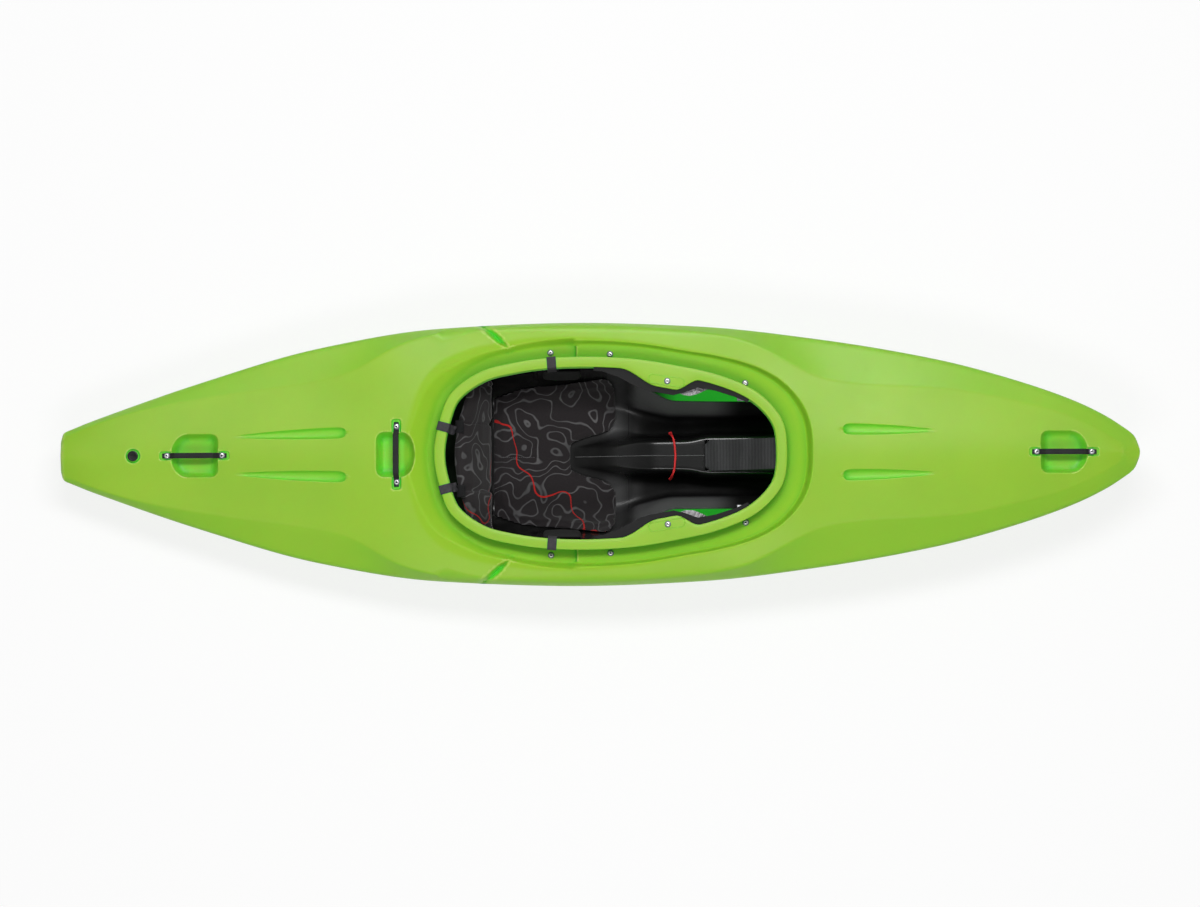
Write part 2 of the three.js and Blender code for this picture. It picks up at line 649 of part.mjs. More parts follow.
// Screws on the ledge and on the knee hooks, on the left side
const hookScrewInset = 41;
const hookScrewPlace = besideRim(inCockpit(0.34), hookScrewInset);
const ledgeScrews = [
  { name: "seat_screw", x: inCockpit(-0.337), insetShare: -0.44 },
  { name: "thigh_screw_rear", x: inCockpit(-0.002), insetShare: -0.28 },
  { name: "thigh_screw_front", x: inCockpit(0.759), insetShare: -0.19 },
];
const pocketDropAt = (x) =>
  x > pocketRearX && x < pocketFrontX ? (pocketDepth * (x - pocketRearX)) / (pocketFrontX - pocketRearX) : 0;
const leftScrews = [
  ...ledgeScrews.map(({ name, x, insetShare }) => {
    const [px, py] = besideRim(x, ledgeWidth * insetShare);
    return { name, frame: rimFrame(px, py, ledgeAt(px) - pocketDropAt(px) + seatGap) };
  }),
  { name: "thigh_screw_middle", frame: rimFrame(...hookScrewPlace, rimAt(hookScrewPlace[0]) + seatGap) },
];
const pocketScrewAngle = Math.atan(pocketDepth / (pocketFrontX - pocketRearX));
leftScrews[0].frame.multiply(new THREE.Matrix4().makeRotationY(pocketScrewAngle));
const screwHolesLeft = leftScrews.map(({ frame }) => placed(screwHole(deckScrewLength), frame));
const screwHolesBoth = screwHolesLeft.flatMap((hole) => [hole, mirrored(hole)]);

// Drain plug near the stern, in a threaded fitting that sits in a round recess
const drainX = onSternDeck(0.805);
const drainRecessRadius = 16;
const drainRecessDepth = 5;
const fittingFlangeRadius = 15;
const fittingFlange = 2;
const fittingTubeRadius = 11;
const fittingTubeLength = 14;
const plugStemRadius = 8;
const plugStemLength = 10;
const plugHeadRadius = 12.5;
const plugHeadHeight = 6;
const gasketThickness = 1.6;
const drainFrame = deckFrame(drainX);
const drainTools = (grow) => [
  placed(post(drainRecessRadius + grow, -drainRecessDepth - grow, cutOverrun, 16), drainFrame),
];

// Each handle's two screws, in frames whose origin is on the top of the handle's tab
const handleTabTop = handleTabThickness - handleSlotDepth + seatGap;
const handleScrews = handles.flatMap(({ name, x, turn, drop }) =>
  [-1, 1].map((side) => ({
    name: name + (side < 0 ? "_screw_a" : "_screw_b"),
    frame: deckFrame(x, turn, drop).multiply(
      new THREE.Matrix4().makeTranslation((side * handlePitch) / 2, 0, handleTabTop + seatGap),
    ),
  })),
);

function hullShell() {
  const holes = handleScrews.map(({ frame }) => placed(screwHole(handleScrewLength), frame));
  const shape = (base, grow) =>
    cutBy(base, [
      ledgeTool(grow),
      ...pocketTool(grow),
      ...notchTool(grow),
      ...grooveTools(grow),
      ...handles.flatMap((handle) => handleTools(handle, grow)),
      ...drainTools(grow),
    ]);
  const shell = shape(skin(stationShares, outerPath), 0).subtract(shape(skin(innerStationShares, innerPath), hullWall));
  const riserInner = rimOverhang + riserWall;
  const mouth = prism(insetOutline(riserInner), (x) => ledgeAt(x) - cutOverrun, aboveAll);
  const riser = prism(insetOutline(rimOverhang), (x) => ledgeAt(x) - hullWall, rimAt).subtract(mouth);
  const opening = prism(insetOutline(openingInset), (x) => ledgeAt(x) - cutOverrun, aboveAll);
  const flange = prism(insetOutline(0), (x) => rimAt(x) - rimThickness, rimAt).subtract(opening);
  const drainHole = placed(post(fittingTubeRadius + seatGap, -cutOverrun, cutOverrun, 16), drainFrame);
  return cutBy(shell.subtract(mouth).add(riser).add(flange), [...screwHolesBoth, ...holes, drainHole]);
}

const part = new THREE.Group();
function addMesh(name, solid, material) {
  const mesh = new THREE.Mesh(geometryOf(solid), material);
  mesh.name = name;
  part.add(mesh);
}
function addPair(name, left, material) {
  addMesh(name + "_left", left, material);
  addMesh(name + "_right", mirrored(left), material);
}

addMesh("hull_shell", hullShell(), finishes.hull);

// A path of [y, z] points moved sideways by a distance. Its ends move square to their own runs.
function offsetPath(path, distance) {
  const normals = path.slice(1).map(([y, z], i) => {
    const run = new THREE.Vector2(y - path[i][0], z - path[i][1]).normalize();
    return [-run.y, run.x];
  });
  return path.map(([y, z], i) => {
    const before = normals[Math.max(i - 1, 0)];
    const after = normals[Math.min(i, normals.length - 1)];
    const scale = distance / (1 + before[0] * after[0] + before[1] * after[1]);
    return [y + (before[0] + after[0]) * scale, z + (before[1] + after[1]) * scale];
  });
}

// The part of a path of rising y that lies between two places
function pathBetween(path, fromY, toY) {
  const at = (y) => {
    const i = Math.max(path.findIndex(([place]) => place >= y), 1);
    const share = (y - path[i - 1][0]) / (path[i][0] - path[i - 1][0]);
    return [y, path[i - 1][1] + (path[i][1] - path[i - 1][1]) * share];
  };
  return [at(fromY), ...path.filter(([y]) => y > fromY + seatGap && y < toY - seatGap), at(toY)];
}

// A body swept along a path of points. Its section is [across, up], and across stays in one direction.
function swept(path, section, across) {
  const points = path.map((point) => new THREE.Vector3(...point));
  const side = new THREE.Vector3(...across).normalize();
  const rings = points.map((point, i) => {
    const behind = points[Math.max(i - 1, 0)];
    const ahead = points[Math.min(i + 1, points.length - 1)];
    const up = new THREE.Vector3().crossVectors(ahead.clone().sub(behind), side).normalize();
    return section.map(([a, b]) => point.clone().addScaledVector(side, a).addScaledVector(up, b).toArray());
  });
  const widest = [0, 1, 2].sort((a, b) => Math.abs(spanOf(rings[0], b)) - Math.abs(spanOf(rings[0], a)));
  return loft(rings, widest.slice(0, 2).sort());
}
const spanOf = (ring, axis) => Math.max(...ring.map((p) => p[axis])) - Math.min(...ring.map((p) => p[axis]));

const rectangle = (width, height) => [
  [-width / 2, -height / 2],
  [width / 2, -height / 2],
  [width / 2, height / 2],
  [-width / 2, height / 2],
];

// A body whose [y, z] profile runs along the boat, between two places on X
const slabAcross = (profile, fromX, toX) =>
  loft([fromX, toX].map((x) => profile.map(([y, z]) => [x, y, z])));

// A box between two corners
function block([x0, y0, z0], [x1, y1, z1]) {
  return prism([[x0, y0], [x1, y0], [x1, y1], [x0, y1]], z0, z1);
}

// The seat tray: one moulded sheet that makes the seat pan, two leg wells and the hump between them.
// Each table is a place on X and a value, for one corner of the half section.
const traySheet = 4;
const trayStationShares = [
  -0.657, -0.539, -0.456, -0.396, -0.278, -0.211, -0.159, -0.088, -0.017, 0.055,
  0.164, 0.275, 0.363, 0.446, 0.565, 0.695, 0.837, 0.956,
];
const trayStations = trayStationShares.map(inCockpit);
const trayFloor = hullWall + seatGap + traySheet;
const humpHeightAt = belowLedge([
  [-0.211, 0.126], [-0.064, 0.215], [0.055, 0.315], [0.164, 0.385], [0.275, 0.421], [0.956, 0.398],
]);
const humpWidthAt = acrossCockpit([
  [-0.211, 0.078], [-0.064, 0.113], [0.055, 0.148], [0.164, 0.156], [0.446, 0.165], [0.565, 0.204],
  [0.956, 0.204],
]);
const humpFootAt = acrossCockpit([
  [-0.211, 0.121], [-0.064, 0.165], [0.055, 0.208], [0.275, 0.217], [0.446, 0.217], [0.565, 0.247],
  [0.956, 0.247],
]);
const wellRiseAt = belowLedge([[-0.088, 0.086], [0.055, 0.048], [0.164, 0.011], [0.275, 0]]);
const wellWidthAt = acrossCockpit([
  [-0.088, 0.573], [0.055, 0.547], [0.164, 0.486], [0.275, 0.434], [0.363, 0.408], [0.956, 0.399],
]);
const wellWaistAt = acrossCockpit([
  [-0.088, 0.772], [0.055, 0.729], [0.164, 0.599], [0.275, 0.486], [0.363, 0.447], [0.956, 0.438],
]);
const wellWaistHeightAt = belowLedge([
  [-0.657, 0.262], [-0.456, 0.308], [-0.396, 0.319], [-0.088, 0.31], [0.055, 0.388], [0.164, 0.425],
  [0.275, 0.441], [0.363, 0.418], [0.565, 0.36], [0.956, 0.322],
]);
const trayLipAt = acrossCockpit([
  [-0.657, 0.842], [-0.456, 0.859], [-0.396, 0.885], [-0.159, 0.885], [0.055, 0.859], [0.164, 0.729],
  [0.275, 0.607], [0.363, 0.551], [0.956, 0.547],
]);
const trayLipHeightAt = belowLedge([
  [-0.657, 0.458], [-0.456, 0.565], [-0.396, 0.936], [-0.159, 0.916], [-0.088, 0.824], [0.055, 0.777],
  [0.164, 0.729], [0.275, 0.662], [0.363, 0.597], [0.565, 0.501], [0.956, 0.417],
]);
const wellFrontX = inCockpit(0.643);

function trayPath(x) {
  const onHull = x > wellFrontX ? insideAt(x, humpFootAt(x)).floor + seatGap + traySheet : trayFloor + wellRiseAt(x);
  return [
    [0, humpHeightAt(x)],
    [humpWidthAt(x), humpHeightAt(x)],
    [humpFootAt(x), onHull],
    [wellWidthAt(x), onHull],
    [wellWaistAt(x), wellWaistHeightAt(x)],
    [trayLipAt(x), trayLipHeightAt(x)],
  ];
}

// The tray's half section on its flat faces, between its two nearest stations
function trayFacetPath(x) {
  const i = Math.max(trayStations.findIndex((station) => station >= x), 1);
  const share = (x - trayStations[i - 1]) / (trayStations[i] - trayStations[i - 1]);
  const ahead = trayPath(trayStations[i]);
  return trayPath(trayStations[i - 1]).map((corner, k) => corner.map((value, a) => value + (ahead[k][a] - value) * share));
}

const withMirror = (half) => joined([half, mirrored(half)]);
// A body on both sides of the boat, from the upper and lower paths of its left half at each station
const bothHalves = (stations, upper, lower) =>
  withMirror(loft(stations.map((x) => [...upper(x), ...lower(x).reverse()].map(([y, z]) => [x, y, z]))));
const traySheetBetween = (low, high) =>
  bothHalves(trayStations, (x) => offsetPath(trayPath(x), high), (x) => offsetPath(trayPath(x), low));

const skidBendX = inCockpit(-0.088);
const seatSkid = {
  nearY: halfCockpitWidth * 0.269,
  farY: halfCockpitWidth * 0.33,
  rearX: inCockpit(-0.645),
  frontX: inCockpit(0.078),
};
const tabHalfLength = 20;
const tabInward = 42;
const tabOutward = 15;
const tabThickness = 9;
const pillarWidth = 74;
const pillarRearX = inCockpit(0.543);

// A flat tab under the hull's wall, in the frame of the screw that holds it
function screwTab(frame, depth, thickness) {
  const top = -depth - seatGap;
  return placed(
    block([-tabHalfLength, -tabInward, top - thickness], [tabHalfLength, tabOutward, top]),
    frame,
  );
}

const underWall = hullWall + seatGap;
function seatTray() {
  const sheet = traySheetBetween(-traySheet, 0);
  const { nearY, farY, rearX, frontX } = seatSkid;
  const skidTop = (x) => trayPath(x)[3][1] - traySheet / 2;
  const skid = slab(
    [
      [rearX, hullWall + seatGap],
      [frontX, hullWall + seatGap],
      [frontX, skidTop(frontX)],
      [skidBendX, skidTop(skidBendX)],
      [rearX, skidTop(rearX)],
    ],
    nearY,
    farY,
  );
  const tab = screwTab(leftScrews[0].frame, underWall, tabThickness).subtract(screwHolesLeft[0]);
  const trough = block(
    [pillarRearX - seatGap, -pillarWidth / 2 - seatGap, 0],
    [pillarRearX + cockpitLength, pillarWidth / 2 + seatGap, deckHeight],
  );
  return joined([sheet, skid, mirrored(skid), tab, mirrored(tab)]).subtract(trough);
}

// The red cord over the hump, from one hole in its shoulder to the other
const cordRadius = 2.7;
const cordX = inCockpit(0.342);
const cordBow = 13;
const cordSideY = 56;
const cordDrop = 34;
const cordSectionSides = 8;
const cordSection = arc(cordRadius, 0, 2 * Math.PI, cordSectionSides).slice(0, cordSectionSides);
const cordTop = humpHeightAt(cordX) + seatGap + cordRadius;
const cordHalfPath = [
  [cordX + cordBow, 0, cordTop],
  [cordX + cordBow * 0.9, 20, cordTop],
  [cordX + cordBow * 0.7, 38, cordTop],
  [cordX + cordBow * 0.45, 46, cordTop - cordDrop * 0.12],
  [cordX + cordBow * 0.2, 53, cordTop - cordDrop * 0.5],
  [cordX, cordSideY, cordTop - cordDrop],
];
function safetyCord() {
  const other = cordHalfPath.slice(1).map(([x, y, z]) => [x, -y, z]).reverse();
  return swept([...other, ...cordHalfPath], cordSection, [1, 0, 0]);
}

// The seat pad: a full width body behind and a lobe on each side of the notch in front. Its crown falls
// away to the edges, and its sides draw in below them.
const padThickness = 18;
const padDrawIn = 5;
const padEdgeAt = acrossCockpit([
  [-0.65, 0.642], [-0.517, 0.746], [-0.275, 0.785], [-0.04, 0.816], [-0.005, 0.772], [0.031, 0.694],
]);
const padRearX = inCockpit(-0.65);
const lobeRearX = inCockpit(-0.221);
const lobeFrontX = inCockpit(0.038);
const padEndRun = 22;
const lobeStations = [-0.221, -0.183, -0.14, -0.088, -0.04, 0, 0.024, 0.038].map(inCockpit);
const lobeInnerAt = acrossCockpit([
  [-0.221, 0.13], [-0.183, 0.156], [-0.064, 0.226], [0, 0.269], [0.038, 0.364],
]);
const lobeOuterAt = acrossCockpit([[-0.221, 0.794], [-0.04, 0.82], [0, 0.807], [0.038, 0.711]]);
const bodyStations = [-0.65, -0.633, -0.598, -0.539, -0.456, -0.396, -0.278, -0.218].map(inCockpit);
const bodyCrownShareAt = smoothTable([[0, 0.92], [0.3, 1], [0.7, 0.97], [0.88, 0.8], [1, 0.45]]);
const lobeCrownShareAt = smoothTable([[0, 0.45], [0.15, 0.85], [0.45, 1], [0.85, 0.8], [1, 0.45]]);
const padEndShareAt = smoothTable([[0, 0.5], [0.3, 0.82], [1, 1]]);
const notchDip = { share: 0.4, run: 20, nearY: 28, farY: 48 };
const lobeBlend = [lobeRearX, inCockpit(-0.135)];

// How high the pad stands at a place, as a share of its thickness. across is the place's share of a lobe.
function padHeightShare(x, y, across) {
  const whole = bodyCrownShareAt(Math.min(y / padEdgeAt(x), 1));
  const own = across === undefined ? whole : THREE.MathUtils.lerp(whole, lobeCrownShareAt(across), smoothStep(...lobeBlend, x));
  const end = padEndShareAt(Math.min((x - padRearX) / padEndRun, (lobeFrontX - x) / padEndRun, 1));
  const atNotch = smoothStep(lobeRearX - notchDip.run, lobeRearX, x) * (1 - smoothStep(notchDip.nearY, notchDip.farY, y));
  return own * end * (1 - notchDip.share * (across === undefined ? atNotch : 0));
}

// A half path moved off itself by a height that follows the place
function raisedPath(path, heightAt) {
  const off = offsetPath(path, 1);
  return path.map((point, i) => point.map((value, a) => value + (off[i][a] - value) * heightAt(point[0], i)));
}

function seatPad() {
  const under = -traySheet / 2;
  const rise = (share) => seatGap + padThickness * share;
  const body = bothHalves(
    bodyStations,
    (x) => raisedPath(pathWithCount(trayFacetPath(x), 0, padEdgeAt(x)), (y) => rise(padHeightShare(x, y))),
    (x) => offsetPath(pathWithCount(trayFacetPath(x), 0, padEdgeAt(x) - padDrawIn), under),
  );
  const lobe = loft(
    lobeStations.map((x) => {
      const [from, to] = [lobeInnerAt(x), lobeOuterAt(x)];
      const over = raisedPath(pathWithCount(trayFacetPath(x), from, to), (y) =>
        rise(padHeightShare(x, y, (y - from) / (to - from))),
      );
      const below = offsetPath(pathWithCount(trayFacetPath(x), from + padDrawIn, to - padDrawIn), under);
      return [...below, ...over.reverse()].map(([y, z]) => [x, y, z]);
    }),
  );
  return largest(joined([body, lobe, mirrored(lobe)]).subtract(traySheetBetween(-traySheet, seatGap)));
}

// A path between two places that always has the same number of points
function pathWithCount(path, fromY, toY, count = 8) {
  return Array.from({ length: count }, (_, i) => {
    const y = fromY + ((toY - fromY) * i) / (count - 1);
    const whole = pathBetween(path, fromY, toY);
    const k = Math.max(whole.findIndex(([place]) => place >= y - 1e-6), 1);
    const share = (y - whole[k - 1][0]) / (whole[k][0] - whole[k - 1][0]);
    return [y, whole[k - 1][1] + (whole[k][1] - whole[k - 1][1]) * share];
  });
}

addMesh("seat_tray", seatTray(), finishes.moulding);
addMesh("seat_pad", seatPad(), finishes.fabric);
addMesh("safety_cord", safetyCord(), finishes.cord);

// The back band: a padded band that leans back, lowest and thickest in the middle
const bandHalfWidth = halfCockpitWidth * 0.798;
const bandShellEnd = 6;
const bandShellHalfWidth = bandHalfWidth + bandShellEnd;
const bandStationShares = [0, 0.2, 0.385, 0.435, 0.485, 0.7, 0.85, 0.97, 1];
const bandCrown = 4;
const bandSeam = { share: 0.435, halfShare: 0.05, depth: 5 };
const bandEndDraw = 5;
const bandEndShare = 0.97;
const bandBehind = 61.5;
const bandAt = (x, zShare, endRiseShare, endXShare) => ({
  x,
  z: ledgeAt(x) * zShare,
  endRise: ledgeAt(x) * endRiseShare,
  endX: (cockpitLength / 2) * endXShare,
});
const bandBottom = bandAt(inCockpit(-0.662), 0.314, 0.253, 0.014);
const bandTop = bandAt(inCockpit(-1) + bandBehind, 0.951, -0.124, 0.093);
const bandThickness = 24;
const bandEndThickness = 14;
const bandShell = 3;
const lumbarBulge = 9;
const bandFaceShares = [[0.05, 0], [0.25, 0.8], [0.5, 1], [0.75, 0.7], [0.95, 0]];

function bandRing(y, near, far, extend = 0) {
  const share = Math.min(Math.abs(y) / bandHalfWidth, 1) ** 2;
  const low = [bandBottom.x + bandBottom.endX * share, bandBottom.z + bandBottom.endRise * share];
  const high = [bandTop.x + bandTop.endX * share, bandTop.z + bandTop.endRise * share];
  const run = new THREE.Vector2(high[0] - low[0], high[1] - low[1]).normalize();
  const bulge = lumbarBulge * (1 - share);
  const ends = (i) => (i === 0 ? -extend : 0) + (i === bandFaceShares.length - 1 ? extend : 0);
  const spot = (along, out, i) => [
    low[0] + (high[0] - low[0]) * along + run.y * out + run.x * ends(i),
    low[1] + (high[1] - low[1]) * along - run.x * out + run.y * ends(i),
  ];
  const front = bandFaceShares.map(([along, out], i) => spot(along, out * bulge - near(share), i));
  const rear = bandFaceShares.map(([along], i) => spot(along, -far(share), i)).reverse();
  return [...front, ...rear].map(([x, z]) => [x, y, z]);
}
const bandDepth = (share) => bandThickness + (bandEndThickness - bandThickness) * share;

// The pad's section: its top and bottom are crowned, and it draws in at the two seams and at its ends
function bandPadRing(share, grow) {
  const { share: place, halfShare, depth } = bandSeam;
  const seam = Math.max(0, 1 - Math.abs(Math.abs(share) - place) / halfShare);
  const end = Math.max(0, (Math.abs(share) - bandEndShare) / (1 - bandEndShare));
  const ring = bandRing(
    share * bandHalfWidth + Math.sign(share) * end * grow,
    () => depth * seam + bandEndDraw * end - grow,
    (ratio) => bandDepth(ratio) + grow,
    grow - bandEndDraw * end,
  );
  const half = ring.length / 2;
  const [bottom, top, topRear, bottomRear] = [ring[0], ring[half - 1], ring[half], ring[ring.length - 1]];
  const crown = (bandCrown * (1 - Math.max(seam, end))) / Math.hypot(top[0] - bottom[0], top[2] - bottom[2]);
  const middle = (a, b, sign) =>
    a.map((value, axis) => (value + b[axis]) / 2 + (top[axis] - bottom[axis]) * crown * sign);
  return [...ring.slice(0, half), middle(top, topRear, 1), ...ring.slice(half), middle(bottom, bottomRear, -1)];
}
const bandPadBody = (grow) => withMirror(loft(bandStationShares.map((share) => bandPadRing(share, grow)), [0, 2]));
const bandPad = () => bandPadBody(0);
function bandBack() {
  const places = bandStationShares.map((share) => share * bandHalfWidth);
  const room = loft(
    places.map((y) => bandRing(y, () => 0, (share) => bandDepth(share) + seatGap)),
    [0, 2],
  );
  return withMirror(loft([...places, bandShellHalfWidth].map(bandShellRing), [0, 2]).subtract(room));
}
const shellMargin = 0.12;
function bandShellRing(y) {
  const ring = bandRing(y, bandDepth, (share) => bandDepth(share) + seatGap + bandShell);
  const half = ring.length / 2;
  return ring.map((point, i) => {
    const lowSide = i < half ? ring[0] : ring[ring.length - 1];
    const highSide = i < half ? ring[half - 1] : ring[half];
    const across = (i < half ? i : ring.length - 1 - i) / (half - 1);
    const along = shellMargin + (1 - 2 * shellMargin) * across;
    return lowSide.map((value, a) => value + (highSide[a] - value) * along);
  });
}

addMesh("back_band_pad", bandPad(), finishes.fabric);
addMesh("back_band_shell", bandBack(), finishes.moulding);

// Webbing that goes over the rim: under the flange, round its outer edge, over it and down inside
const webWidth = 22;
const webThickness = 1.4;
const webSection = rectangle(webWidth, webThickness);
const webClear = 0.6;
const webOff = webClear + webThickness / 2;

// The webbing's path across the rim as [inset, height over the rim's plane], from the riser to the cockpit
function overRim(inner, tail) {
  return [
    [rimOverhang - webOff * 2, -rimThickness - webOff],
    [-webOff, -rimThickness - webOff],
    [-webOff * 1.5, -rimThickness / 2],
    [-webOff, webOff],
    [inner + webOff, webOff],
    ...tail,
  ];
}
function webbing(x, side, inner, tail) {
  const [ax, ay] = besideRim(x, 0);
  const [bx, by] = besideRim(x, 1);
  const inward = [bx - ax, by - ay];
  const path = overRim(inner, tail).map(([inset, rise]) => {
    const px = ax + inward[0] * inset;
    return [px, (ay + inward[1] * inset) * side, rimAt(px) + rise];
  });
  return swept(path, webSection, [-inward[1] * side, inward[0], -inward[1] * side * rimSlope]);
}

// The two rear straps are laid at different places on the stern side of the rim
const rearStraps = [
  { name: "left", y: halfCockpitWidth * 0.295, side: 1 },
  { name: "right", y: halfCockpitWidth * 0.377, side: -1 },
];
const rearStrapSag = 9;
const buckle = { start: 1, end: 21, width: 30, height: 7 };

// The top face of the band as a place and two directions: rearwards along the face, and up off it
function bandTopFace(y) {
  const ring = bandRing(y, () => 0, bandDepth);
  const front = new THREE.Vector2(ring[bandFaceShares.length - 1][0], ring[bandFaceShares.length - 1][2]);
  const rear = new THREE.Vector2(ring[bandFaceShares.length][0], ring[bandFaceShares.length][2]);
  const back = rear.clone().sub(front).normalize();
  const up = new THREE.Vector2(back.y, -back.x);
  return (along, off) => front.clone().addScaledVector(back, along).addScaledVector(up, off).toArray();
}

// A place on the rim's stern, found from its distance off the middle plane
function rearRimX(y) {
  const rear = loop.filter(({ point }) => point[0] < cockpitCentreX && point[1] >= 0).sort((a, b) => a.point[1] - b.point[1]);
  const i = Math.max(rear.findIndex(({ point }) => point[1] >= y), 1);
  const [from, to] = [rear[i - 1].point, rear[i].point];
  return from[0] + ((to[0] - from[0]) * (y - from[1])) / (to[1] - from[1]);
}

const bandRoom = bandPadBody(seatGap);
rearStraps.forEach(({ name, y, side }) => {
  const face = bandTopFace(y);
  const { start, end, width, height } = buckle;
  const profile = [face(start, height), face(end, height), face(end, -height / 2), face(start, -height / 2)];
  const body = largest(slab(profile, y - width / 2, y + width / 2).subtract(bandRoom));
  const x = rearRimX(y);
  const inward = besideRim(x, 1)[0] - besideRim(x, 0)[0];
  const tail = [
    face(end - seatGap, height * 2 + rearStrapSag * 2),
    face(end - seatGap, height + rearStrapSag),
    face(end - seatGap * 2, height + seatGap + webThickness),
  ].map(([px, pz]) => [(px - x) / inward, pz - rimAt(px)]);
  addMesh("back_band_webbing_" + name, webbing(x, side, rimFlange, tail), finishes.webbing);
  addMesh("back_band_buckle_" + name, side > 0 ? body : mirrored(body), finishes.rubber);
});

// Hip pads inside the tray's wings, and the straps that hold them up over the rim
const hipPadStations = [-0.387, -0.368, -0.278, -0.187, -0.168].map(inCockpit);
const hipPadShares = [0.55, 0.9, 1, 0.9, 0.55];
const hipPadBottom = ledgeAt(hipPadStations[0]) * 0.646;
const hipPadTop = ledgeAt(hipPadStations[0]) * 0.91;
const hipPadThickness = 17;
const hipPadFaceShares = [[0.06, 0.6], [0.3, 1], [0.7, 0.9], [0.96, 0.5]];
const hipStrapX = inCockpit(-0.335);
const hipStrapTail = [[1.318, -0.364], [1.386, -1.364], [1.432, -2.545]].map((shares) =>
  shares.map((share) => share * webWidth),
);
function hipPad() {
  const rings = hipPadStations.map((x, i) => {
    const wall = offsetPath(trayFacetPath(x), seatGap);
    const [low, high] = [wall[4], wall[5]];
    const at = (z) => low[0] + ((high[0] - low[0]) * (z - low[1])) / (high[1] - low[1]);
    const face = hipPadFaceShares.map(([up, out]) => {
      const z = hipPadBottom + (hipPadTop - hipPadBottom) * up;
      return [x, at(z) - hipPadThickness * out * hipPadShares[i], z];
    });
    return [[x, at(hipPadBottom), hipPadBottom], ...face, [x, at(hipPadTop), hipPadTop]];
  });
  return loft(rings);
}
addPair("hip_pad", hipPad(), finishes.foam);
addPair("hip_strap", webbing(hipStrapX, 1, rimFlange, hipStrapTail), finishes.webbing);

// Thigh braces: a moulded plate under each knee hook, down the riser and out under the ledge
const braceSheet = 5;
const braceStations = [-0.093, -0.04, 0.055, 0.173, 0.244, 0.316, 0.387, 0.446, 0.517, 0.624, 0.743, 0.819].map(inCockpit);
const braceShort = 33;
const braceReachShareAt = smoothTable([
  [-0.093, 0], [-0.04, 0.026], [0.055, 0.342], [0.173, 0.868], [0.244, 1], [0.387, 1], [0.446, 0.711], [0.517, 0.237], [0.819, 0],
]);
const braceReachAt = (x) => braceShort + (hookReach + bracePast) * braceReachShareAt(alongCockpit(x));
const bracePast = 5;
const braceLip = 11;
const braceFoot = -20;
const riserInset = rimOverhang + riserWall + seatGap;
function braceRing(x, near, far) {
  const spot = (inset, height, plane) => {
    const [px, py] = besideRim(x, inset);
    return [px, py, plane(px) + height];
  };
  const reach = braceReachAt(x);
  const under = -rimThickness - seatGap;
  const below = -hullWall - seatGap;
  return [
    spot(braceFoot, below - far, ledgeAt),
    spot(braceFoot, below - near, ledgeAt),
    spot(riserInset + near, below - near, ledgeAt),
    spot(riserInset + near, under - near, rimAt),
    spot(reach - near, under - near, rimAt),
    spot(reach, under - braceLip, rimAt),
    spot(reach - braceSheet, under - braceLip, rimAt),
    spot(reach - far, under - far, rimAt),
    spot(riserInset + far, under - far, rimAt),
    spot(riserInset + far, below - far, ledgeAt),
  ];
}
const thighBrace = cutBy(loft(braceStations.map((x) => braceRing(x, 0, braceSheet))), screwHolesLeft.slice(1));
addPair("thigh_brace", thighBrace, finishes.moulding);

// Foam pads under the braces' hooks, clear of the middle screw
const thighPadStations = [0.102, 0.149, 0.221, 0.316, 0.375, 0.406].map(inCockpit);
const thighPadThickness = 10;
const thighPadMargin = 9;
function thighPad() {
  const rings = thighPadStations.map((x) => {
    const top = -rimThickness - seatGap - braceSheet - seatGap;
    const near = riserInset + braceSheet + thighPadMargin;
    const far = Math.max(braceReachAt(x) - thighPadMargin, near + thighPadMargin);
    const spot = (inset, height) => {
      const [px, py] = besideRim(x, inset);
      return [px, py, rimAt(px) + height];
    };
    return [spot(near, top), spot(far, top), spot(far, top - thighPadThickness), spot(near, top - thighPadThickness)];
  });
  return cutBy(loft(rings), [screwHolesLeft[3]]);
}
addPair("thigh_pad", thighPad(), finishes.foam);

// Pale strap ends that hang, creased, from the front of each brace
const thighStrapWidth = 26;
const thighStrapX = inCockpit(0.46);
const thighStrapShares = [
  [0, 1.385, -0.515],
  [0.038, 1.731, -0.788],
  [0.115, 2.385, -0.808],
  [0.192, 2.769, -0.885],
  [0.308, 3.077, -0.654],
  [0.423, 3.385, -1],
  [0.462, 3.538, -1.692],
  [0.346, 3.462, -2.385],
];
const thighStrap = swept(
  thighStrapShares.map((shares) => {
    const [ahead, inset, height] = shares.map((share) => share * thighStrapWidth);
    const [px, py] = besideRim(thighStrapX + ahead, inset);
    return [px, py, rimAt(px) + height];
  }),
  rectangle(thighStrapWidth, webThickness),
  [1, -0.35, 0],
);
addPair("thigh_strap", thighStrap, finishes.paleWebbing);

